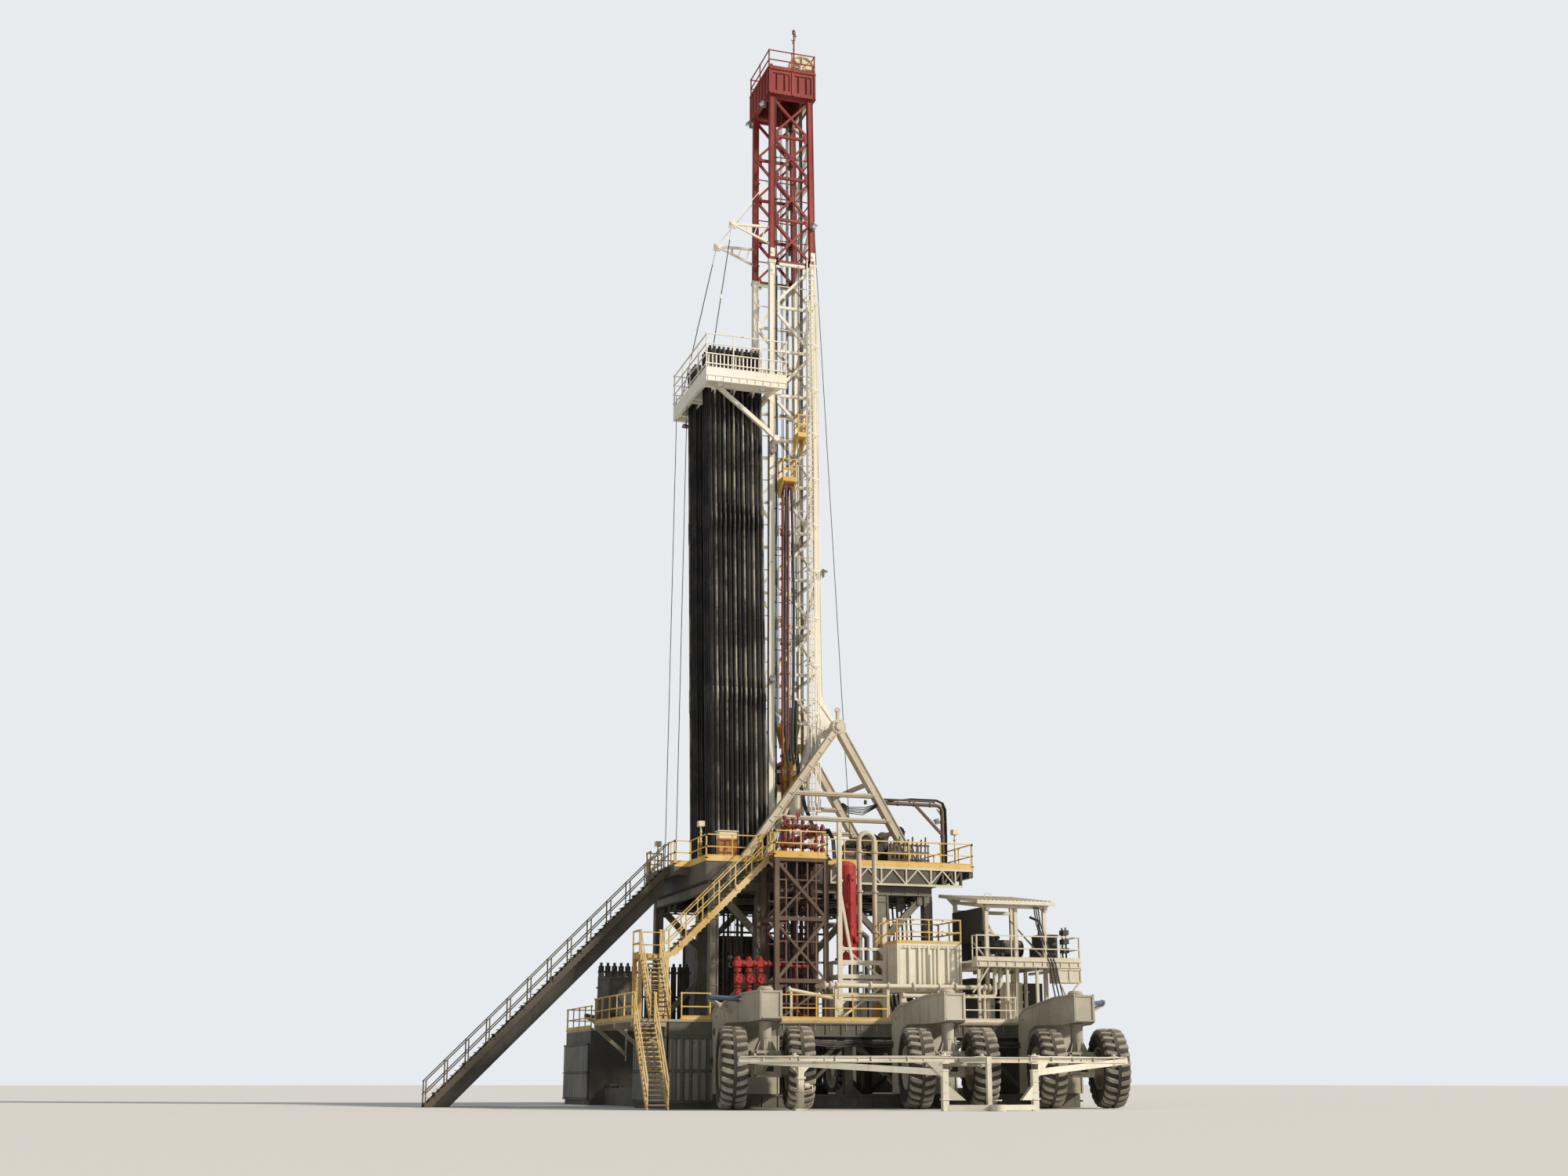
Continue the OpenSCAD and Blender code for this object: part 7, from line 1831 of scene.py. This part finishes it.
piece("control_doors_reel_and_bottles", work, cabinet_dark, "deck_cabinet")

# Stairs
# Steel stairs drop from the floor to the landing, to the lower deck and to the ground. The
# treads are grating with a checkered nosing; every post is bolted to the stringer.
stair_ochre = paint("stair_ochre", (0.52, 0.34, 0.09), (0.66, 0.5, 0.25), dirt=0.45, rust=0.2,
                    split=("Y", -2.0, (0.1, 0.078, 0.05)))
coat("stair_sides", stair_ochre)
coat("stair_landing", stair_ochre)
tread_brown = paint("tread_brown", (0.1, 0.075, 0.045), (0.2, 0.155, 0.1), dirt=0.5, rust=0.25)
coat("stair_treads", tread_brown)
work = bmesh.new()
for top, foot, count, run in (((-1.6, -3.3, floor_z), (-3.9, -3.3, 3.2), 22, 0),
                              ((-4.325, -3.62, 3.2), (-4.325, -4.6, deck_z), 14, 1),
                              ((-4.825, -5.2, deck_z), (-4.825, -6.46, 0.0), 18, 1),
                              ((-3.225, -0.685, floor_z), (-8.675, -0.685, 0.0), 54, 0)):
    top, foot = Vector(top), Vector(foot)
    step = (foot - top) / (count + 1)
    nose = bmesh.new()
    if run:
        slab(nose, (-0.21, -0.022, -0.014), (0.21, -0.006, 0.012))
        for x in (-0.215, 0.203):
            slab(nose, (x, 0.02, -0.05), (x + 0.012, 0.14, -0.012))
    else:
        slab(nose, (-0.022, -0.21, -0.014), (-0.006, 0.21, 0.012))
        for y in (-0.215, 0.203):
            slab(nose, (0.02, y, -0.05), (0.14, y + 0.012, -0.012))
    rows(work, nose, stair_ochre, count, step, top + step)
    # End plates, and the clips that hold the rail posts to the stringers
    along = (foot - top).normalized()
    across = Vector(X) if run else Vector(Y)
    for s in (-1, 1):
        for i in range(int((foot - top).length / 0.9) + 1):
            p = top + along * min(0.15 + 0.9 * i, (foot - top).length - 0.1) + across * s * 0.236
            beam(work, p - over(0.05), p + over(0.07), 0.05, 0.014, up=across)
        p = foot + across * s * 0.225
        if foot.z > 0.5:
            pad(work, p.x, p.y, 0.07, 0.05, foot.z, foot.z + 0.016)
piece("stair_nosings_and_clips", work, stair_ochre, "stair_treads")
work = bmesh.new()
rows(work, slat(0.33, 0.004, 0.012), stair_ochre, 14, (0, 0.044, 0), (-4.235, -3.595, 3.2))
for x in (-4.55, -3.92):
    for y in (-3.6, -3.02):
        pad(work, x, y, 0.05, 0.05, deck_z, deck_z + 0.02)
        gusset(work, (x, y, 3.14), (0.14 if x < -4.2 else -0.14, 0, 0), (0, 0, -0.14), (0, 0.012, 0))
piece("landing_grating", work, stair_ochre, "stair_landing")

# Pipe ramp
# The ramp slides pipe up to the floor: a long dark trough between two deep beams. Cross
# slats stiffen it, wear strips line the lips, and rollers sit at its head and foot.
ramp_steel = paint("ramp_steel", (0.09, 0.085, 0.07), (0.2, 0.18, 0.15), dirt=0.5, rust=0.2)
coat("pipe_ramp", ramp_steel)
work = bmesh.new()
top, foot = Vector((-3.225, 0, 5.15)), Vector((-8.375, 0, 0))
along = (foot - top).normalized()
rise = Vector((-along.z, 0, along.x))
rise = rise if rise.z > 0 else -rise
cross_slat = bmesh.new()
beam(cross_slat, (0, -0.44, 0), (0, 0.44, 0), 0.05, 0.02, up=rise)
rows(work, cross_slat, ramp_steel, 24, along * 0.29, top + along * 0.15 + rise * 0.008)
for s in (-1, 1):
    for y, lift, short, wide, deep in ((0.445, 0.02, 0.15, 0.05, 0.03), (0.462, 0.0, 0.35, 0.03, 0.022),
                                       (0.462, -0.2, 0.35, 0.03, 0.022)):
        edge = Vector((0, s * y, 0))
        beam(work, top + along * 0.05 + edge + rise * lift, foot - along * short + edge + rise * lift, wide,
             deep, up=rise)
rows(work, stud(Y, 0.05, 0.84, 20), ramp_steel, 2, along * 6.9, top + along * 0.2 + rise * 0.04)
piece("ramp_slats_and_rollers", work, ramp_steel, "pipe_ramp")

# Wheels
# Each bogie rolls on two earthmover tyres with heavy slanted lugs either side of a middle
# rib. The rubber is grey with sand; the steel rims are bolted to their hubs in a ring.
around_axle, ring_in, ring_out = rule("around_axle",
                                      {"Copies": int, "Start Turn": float, "Finish": bpy.types.Material})
ring_points = around_axle.nodes.new("GeometryNodePoints")
ring_index = around_axle.nodes.new("GeometryNodeInputIndex")
ring_step = around_axle.nodes.new("ShaderNodeMath")
ring_step.operation = "DIVIDE"
ring_step.inputs[0].default_value = math.tau
ring_turn = around_axle.nodes.new("ShaderNodeMath")
ring_turn.operation = "MULTIPLY_ADD"
ring_axis = around_axle.nodes.new("ShaderNodeCombineXYZ")
ring_copies = around_axle.nodes.new("GeometryNodeInstanceOnPoints")
for a, b in ((ring_in.outputs["Copies"], ring_points.inputs["Count"]),
             (ring_in.outputs["Copies"], ring_step.inputs[1]), (ring_index.outputs[0], ring_turn.inputs[0]),
             (ring_step.outputs[0], ring_turn.inputs[1]),
             (ring_in.outputs["Start Turn"], ring_turn.inputs[2]),
             (ring_turn.outputs[0], ring_axis.inputs["X"]),
             (ring_points.outputs["Points"], ring_copies.inputs["Points"]),
             (ring_in.outputs["Geometry"], ring_copies.inputs["Instance"]),
             (ring_axis.outputs[0], ring_copies.inputs["Rotation"])):
    around_axle.links.new(a, b)
close_rule(around_axle, ring_copies.outputs["Instances"], ring_in, ring_out)


def lug(side):
    """One slanted bar of tread from the middle rib out to the shoulder and down the sidewall."""
    work = bmesh.new()
    base = 0.775

    def spot(x, r, a):
        return (side * x, r * math.sin(a), r * math.cos(a))
    ribs = [(0.035, 0.822, 0.0), (0.15, 0.818, 0.028), (0.235, 0.8, 0.062), (0.264, 0.755, 0.075),
            (0.266, 0.7, 0.078)]
    foot = [(0.035, base), (0.15, base), (0.225, base - 0.015), (0.245, base - 0.04), (0.25, 0.69)]
    half_top, half_foot = 0.047, 0.062
    ring = []
    for (x, r, a), (fx, fr) in zip(ribs, foot):
        ring.append([work.verts.new(spot(fx, fr, a - half_foot)), work.verts.new(spot(x, r, a - half_top)),
                     work.verts.new(spot(x, r, a + half_top)), work.verts.new(spot(fx, fr, a + half_foot))])
    for here, there in zip(ring, ring[1:]):
        for j in range(4):
            work.faces.new((here[j], here[(j + 1) % 4], there[(j + 1) % 4], there[j]))
    work.faces.new(ring[0][::-1])
    work.faces.new(ring[-1])
    bmesh.ops.recalc_face_normals(work, faces=work.faces)
    return work


sandy_rubber = paint("sandy_rubber", (0.19, 0.17, 0.14), (0.42, 0.375, 0.3), dirt=0.3, rust=0.0, dust=0.35,
                     rough=0.85, grain=1.6)
dark_rubber = paint("dark_rubber", (0.028, 0.025, 0.021), (0.085, 0.072, 0.056), dirt=0.3, rust=0.0,
                    dust=0.2, rough=0.85, grain=1.6)
rim_paint = paint("rim_paint", (0.32, 0.28, 0.2), (0.44, 0.4, 0.3), dirt=0.6, rust=0.25, dust=0.2, grain=2)
lug_rows = [repeated("lug_row", lug(s), around_axle, copies=26, start_turn=0.06 if s > 0 else 0.0,
                     finish=sandy_rubber) for s in (-1, 1)]
carcass = bmesh.new()
turned(carcass, [(-0.2, 0.435), (-0.225, 0.47), (-0.262, 0.56), (-0.27, 0.64), (-0.262, 0.7),
                 (-0.24, 0.745), (-0.19, 0.775), (-0.036, 0.79), (-0.034, 0.815), (0.034, 0.815),
                 (0.036, 0.79), (0.19, 0.775), (0.24, 0.745), (0.262, 0.7), (0.27, 0.64), (0.262, 0.56),
                 (0.225, 0.47), (0.2, 0.435)], 72)
for fillet in ((0.262, 0.575), (0.255, 0.53)):
    for s in (-1, 1):
        x, r = s * fillet[0], fillet[1]
        turned(carcass, [(x, r - 0.006), (x + s * 0.009, r), (x, r + 0.006)], 72)
bmesh.ops.recalc_face_normals(carcass, faces=carcass.faces)

work = bmesh.new()
turned(work, [(-0.215, 0.432), (-0.225, 0.445), (-0.232, 0.44), (-0.222, 0.41), (-0.18, 0.395),
              (-0.12, 0.392), (-0.055, 0.3), (-0.06, 0.24), (-0.145, 0.205), (-0.15, 0.19), (-0.15, 0.092),
              (0.15, 0.092), (0.15, 0.19), (0.145, 0.205), (0.06, 0.24), (0.055, 0.3), (0.12, 0.392),
              (0.18, 0.395), (0.222, 0.41), (0.232, 0.44), (0.225, 0.445), (0.215, 0.432)], 48)
bmesh.ops.recalc_face_normals(work, faces=work.faces)


def hex_head(work, centre, along, size, tall):
    """A bolt head with its washer, standing along X."""
    for sides, r, x0, x1 in ((12, size * 0.8, 0, tall * 0.2), (6, size * 0.62, tall * 0.2, tall)):
        rings = []
        for x in (x0, x1):
            rings.append([work.verts.new((centre[0] + along * x,
                                          centre[1] + r * math.cos(math.tau * i / sides),
                                          centre[2] + r * math.sin(math.tau * i / sides)))
                          for i in range(sides)])
        for i in range(sides):
            j = (i + 1) % sides
            quad = (rings[0][i], rings[0][j], rings[1][j], rings[1][i])
            work.faces.new(quad if along > 0 else quad[::-1])
        work.faces.new(rings[1] if along > 0 else rings[1][::-1])


wheel_bolts = [repeated("wheel_bolts", one(hex_head, (s * 0.052, 0, 0.27), s, 0.022, 0.03), around_axle,
                        copies=20, start_turn=0.0, finish=rim_paint) for s in (-1, 1)]
carcass_mesh = bpy.data.meshes.new("carcass")
carcass.to_mesh(carcass_mesh)
carcass.free()
rim_mesh = bpy.data.meshes.new("rim")
work.to_mesh(rim_mesh)
work.free()
for joint in frame["joints"]:
    if not joint["name"].endswith("_roll"):
        continue
    wheel = joint["name"][:-5]
    axle = Vector(joint["axis"])
    place = Matrix.Translation(Vector(joint["pos_m"])) @ Matrix.Rotation(math.atan2(axle.y, axle.x), 4, "Z")
    for label, parts, finish in (("tyre", (carcass_mesh,), dark_rubber), ("lugs", lug_rows, sandy_rubber),
                                 ("rim", (rim_mesh, *wheel_bolts), rim_paint)):
        whole = bmesh.new()
        for part in parts:
            placed = part.copy()
            placed.transform(place)
            whole.from_mesh(placed)
            bpy.data.meshes.remove(placed)
        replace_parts(piece(wheel + "_" + label, whole, finish, wheel, joint["child"]), wheel)

# Gooseneck arms
# Six welded box arms reach out from the base frames over the wheels to their kingpins. A
# thick lip runs round each flank, the cap is bolted on, and a lifting eye sits on the back.
khaki_paint = paint("khaki_paint", (0.37, 0.34, 0.26), (0.56, 0.52, 0.42), dirt=0.5, rust=0.15)
coat("wheel_arms", khaki_paint)
coat("steering_yokes", khaki_paint)
kingpins, kingpin_y = (-2.65, 1.35, 4.325), 6.6
arm_line = [(1.4, 1.75), (1.34, 1.96), (1.17, 2.09), (0.2, 2.3), (-0.4, 2.33), (-0.4, 1.78), (0, 1.74),
            (0.84, 1.74), (1.01, 1.65), (1.1, 1.48), (1.1, 0.3)]
tip_half, root_half = 0.215, 0.715
eye_turns = [math.pi * k / 12 for k in range(13)]


def arm_half(y):
    """Half width of the tapering arm, from its tip to its root."""
    return tip_half + (root_half - tip_half) * (y + 0.4) / 1.8


for side, row_name in ((-1, "near"), (1, "far")):
    for number, x in enumerate(kingpins):
        arm = bmesh.new()

        def at(dx, dy, z):
            return Vector((x - side * dx, side * (kingpin_y - dy), z))
        for s in (-1, 1):
            outline(arm, [at(s * (arm_half(y) + 0.006), y, z) for y, z in arm_line], 0.034, 0.034)
            for y in (0.45, 0.95):
                low = 1.76 if y < 0.8 else 1.7
                high = 2.3 - (y - 0.2) * 0.216
                beam(arm, at(s * (arm_half(y) + 0.004), y, low), at(s * (arm_half(y) + 0.004), y, high),
                     0.05, 0.018, up=X)
        for s in (-1, 1):
            beam(arm, at(s * 0.2, -0.408, 1.8), at(s * 0.2, -0.408, 2.31), 0.03, 0.03, up=X)
        for z in (2.31, 1.8):
            beam(arm, at(-0.2, -0.408, z), at(0.2, -0.408, z), 0.03, 0.03)
        # Bolted cap ring round the kingpin
        centre = at(0, 0, 2.325)
        for k in range(16):
            a = math.tau * k / 16
            spot = centre + Vector((0.205 * math.cos(a), 0.205 * math.sin(a), 0))
            pipe_run(arm, [spot, spot + over(0.022)], 0.013, 6)
        pipe_run(arm, [centre + over(-0.01), centre + over(0.012)], 0.235, 40)
        # Lifting eye on the back
        eye = at(0, 0.75, 2.185)
        eye_line = [eye + Vector((0.06 * math.cos(a), 0, 0.075 * math.sin(a))) for a in eye_turns]
        outline(arm, eye_line, 0.02, 0.02, up=Y)
        piece("arm_edges_%s_%d" % (row_name, number + 1), arm, khaki_paint, "wheel_arms")

        hoses = bmesh.new()
        for k, dx in enumerate((-0.1, -0.06, 0.07)):
            pipe_run(hoses, [at(dx * 1.6, 1.33, 1.985), at(dx * 1.5, 1.19, 2.105), at(dx * 1.3, 0.9, 2.175),
                             at(dx, 0.5, 2.262), at(dx * 0.9, 0.27, 2.315)], 0.014, 8)
        piece("arm_hoses_%s_%d" % (row_name, number + 1), hoses, black_rubber, "wheel_arms")

# Steering yokes and rams
# Under each arm a yoke turns on the kingpin: round column, axle block between the wheels,
# and a flat nose out to the tow frame. Blue steering rams sit by the outer arms' tops.
yoke_work, recess_work = bmesh.new(), bmesh.new()
# A near-black flat plate on each axle block's front stands in for the shade in its recess: painted shade.
dark_gap = paint("dark_gap", (0.022, 0.026, 0.024), (0.05, 0.05, 0.045), rust=0.0, dust=0.1, rough=0.8)
for side in (-1, 1):
    for x in kingpins:
        y = side * kingpin_y
        for z, r in ((1.7, 0.15), (1.17, 0.17), (1.42, 0.138)):
            disc(yoke_work, (x, y, z), Z, r, 0.035, 36)
        for k in range(8):
            a = math.tau * (k + 0.5) / 8
            out = Vector((math.cos(a), math.sin(a), 0))
            disc(yoke_work, Vector((x, y, 1.2)) + out * 0.152, Z, 0.012, 0.04, 6)
            gusset(yoke_work, Vector((x, y, 1.155)) + out * 0.13, out * 0.1, (0, 0, 0.22),
                   out.cross(over(1)) * 0.016)
        disc(yoke_work, (x, y, 1.745), Z, 0.075, 0.04, 24)
        # Axle block: edge straps, bolted hub caps and the boxed front, whose recess is a near-black plate of
        # painted shade
        for s in (-1, 1):
            for z in (0.66, 1.13):
                bar(yoke_work, (x - 0.3, x + 0.3), y + s * 0.245, z, 0.025, 0.05)
            for dx in (-0.285, 0.285):
                beam(yoke_work, (x + dx, y + s * 0.245, 0.65), (x + dx, y + s * 0.245, 1.14), 0.05, 0.025,
                     up=Y)
            disc(yoke_work, (x + s * 0.31, y, 0.86), X, 0.19, 0.02, 32)
            bolt_circle(yoke_work, (x + s * 0.325, y, 0.86), X, 0.165, 10, 0.012, 0.02)
        face = y + side * 0.258
        gusset(recess_work, (x - 0.1, face, 0.74), (0.26, 0, 0), (0.2, 0, 0.34), (0, 0.012, 0))
        corners = [(x - 0.11, face, 0.73), (x + 0.17, face, 0.73), (x + 0.11, face, 1.09)]
        outline(yoke_work, [*corners, corners[0]], 0.03, 0.03)
        slab(yoke_work, (x - 0.26, face - 0.01, 1.1), (x + 0.02, face + 0.01, 1.155))
        if side < 0:
            lean_out = math.radians(-11)
            way = Vector((math.sin(-lean_out), -math.cos(lean_out), 0))
            wide = Vector((-way.y, way.x, 0))
            base = Vector((x, y, 0.89))
            for s in (-1, 1):
                beam(yoke_work, base + way * 0.3 + wide * s * 0.16, base + way * 1.22 + wide * s * 0.085,
                     0.022, 0.09)
                gusset(yoke_work, base + way * 0.26 + wide * s * 0.15 + over(0.03), way * 0.34,
                       (0, 0, 0.18), wide * 0.018)
            for r, tall, sides in ((0.075, 0.1, 24), (0.035, 0.15, 16)):
                disc(yoke_work, base + way * 1.19, Z, r, tall, sides)
piece("yoke_plates_and_hub_caps", yoke_work, khaki_paint, "steering_yokes")
piece("yoke_recesses", recess_work, dark_gap, "steering_yokes")
steering_blue = paint("steering_blue", (0.045, 0.085, 0.14), (0.12, 0.17, 0.23), dirt=0.35, rust=0.08,
                      dust=0.3, rough=0.4)
ram_work, rod_work = bmesh.new(), bmesh.new()
for side in (-1, 1):
    for x, way in ((kingpins[0], -1), (kingpins[2], 1)):
        back = Vector((x + way * 0.95, side * 5.98, 2.22))
        ahead = Vector((x + way * 0.2, side * 6.42, 2.16))
        along = (ahead - back).normalized()
        pipe_run(ram_work, [back, back + along * 0.55], 0.05, 18)
        for d in (0.0, 0.54):
            disc(ram_work, back + along * d, along, 0.062, 0.05, 18)
        disc(ram_work, back - along * 0.05, Z, 0.045, 0.09, 14)
        pipe_run(rod_work, [back + along * 0.55, ahead], 0.026, 14)
        disc(ram_work, ahead, Z, 0.05, 0.13, 16)
        beam(ram_work, ahead, ahead - Vector((way * 0.06, 0, 0)), 0.09, 0.05)
        # Bracket that carries the ram's back end off the arm's flank
        bracket = bmesh.new()
        rear_pin = back - along * 0.05 + over(-0.05)
        beam(bracket, rear_pin, (x + way * 0.45, side * 5.7, 2.0), 0.09, 0.05)
        beam(bracket, rear_pin, (x + way * 0.42, side * 5.9, deck_z + 0.08), 0.05, 0.05)
        piece("ram_bracket_%s_%s" % ("near" if side < 0 else "far", "left" if way < 0 else "right"),
              bracket, khaki_paint, "wheel_arms")
piece("steering_rams", ram_work, steering_blue, "wheel_arms")
piece("steering_ram_rods", rod_work, chrome, "wheel_arms")

# Tow frame
# The cream tow frame ties the near yokes together in plan: a rear beam, two beams running
# out to the drop posts, and low bars that meet at the eye. Corners are gusseted and pinned.
def post_plate(work, x, y, z, half, thick):
    """A square plate about an upright leg."""
    slab(work, (x - half, y - half, z - thick / 2), (x + half, y + half, z + thick / 2))


tow_cream = paint("tow_cream", (0.6, 0.55, 0.43), (0.74, 0.7, 0.6), dirt=0.4, rust=0.2)
coat("tow_frame", tow_cream)
work = bmesh.new()
rear, post_y = -7.778, -9.25
for z in (0.928, 1.022):
    bar(work, (-3.55, 4.83), rear, z, 0.17, 0.02)
rows(work, block(0.008, 0.075, 0.045), tow_cream, 12, (0.7, 0, 0), (-3.2, rear, 0.975))
for x in kingpins:
    head = x + 1.33 * math.sin(math.radians(11))
    disc(work, (head - 0.02, rear, 1.04), Z, 0.085, 0.03, 24)
    disc(work, (head - 0.02, rear, 1.065), Z, 0.04, 0.06, 16)
    slab(work, (head - 0.2, rear - 0.075, 1.03), (head + 0.16, rear + 0.075, 1.042))
for x0, x1, way in ((-3.5, 0.15, 1), (4.78, 2.05, -1)):
    a, b = Vector((x0, rear - 0.05, 0.975)), Vector((x1, post_y, 0.975))
    along = (b - a).normalized()
    for z in (-0.05, 0.05):
        beam(work, a + over(z), b + over(z), 0.13, 0.018)
    rows(work, block(0.006, 0.06, 0.045), tow_cream, 5, along * 0.7, a + along * 0.4)
    # Drop post: knee gussets above and below, end plate and pin
    for s in (-1, 1):
        y = post_y + s * 0.05
        gusset(work, (x1 - way * 0.06, y, 0.93), (-way * 0.3, 0.12, 0), (0, 0, -0.3), (0, 0.016, 0))
        gusset(work, (x1 + way * 0.06, y, 0.2), (way * 0.3, -0.12, 0), (0, 0, 0.28), (0, 0.016, 0))
    for z, half, thick in ((0.22, 0.078, 0.03), (0.9, 0.078, 0.03), (0.35, 0.07, 0.016),
                           (0.55, 0.07, 0.016), (0.75, 0.07, 0.016), (1.04, 0.09, 0.02)):
        post_plate(work, x1, post_y, z, half, thick)
    disc(work, (x1, post_y, 1.06), Z, 0.04, 0.04, 16)
for z in (0.1, 0.2):
    disc(work, (1.1, -9.55, z), Z, 0.1, 0.02, 28)
# Jack leg at the left end: sleeve, screw, foot and crank
jack_x = -2.29
for z, half, thick in ((0.62, 0.085, 0.04), (0.315, 0.085, 0.03), (0.015, 0.14, 0.03)):
    post_plate(work, jack_x, rear, z, half, thick)
for s in (-1, 1):
    gusset(work, (jack_x + s * 0.06, rear, 0.92), (s * 0.22, 0, 0), (0, 0, -0.22), (0, 0.016, 0))
    gusset(work, (jack_x + s * 0.06, rear, 0.03), (s * 0.08, 0, 0), (0, 0, 0.12), (0, 0.016, 0))
disc(work, (jack_x + 0.12, rear - 0.03, 0.47), X, 0.05, 0.1, 18)
pipe_run(work, [(jack_x + 0.17, rear - 0.03, 0.47), (jack_x + 0.24, rear - 0.03, 0.47),
                (jack_x + 0.24, rear - 0.03, 0.36)], 0.012, 8)
piece("tow_frame_plates", work, tow_cream, "tow_frame")
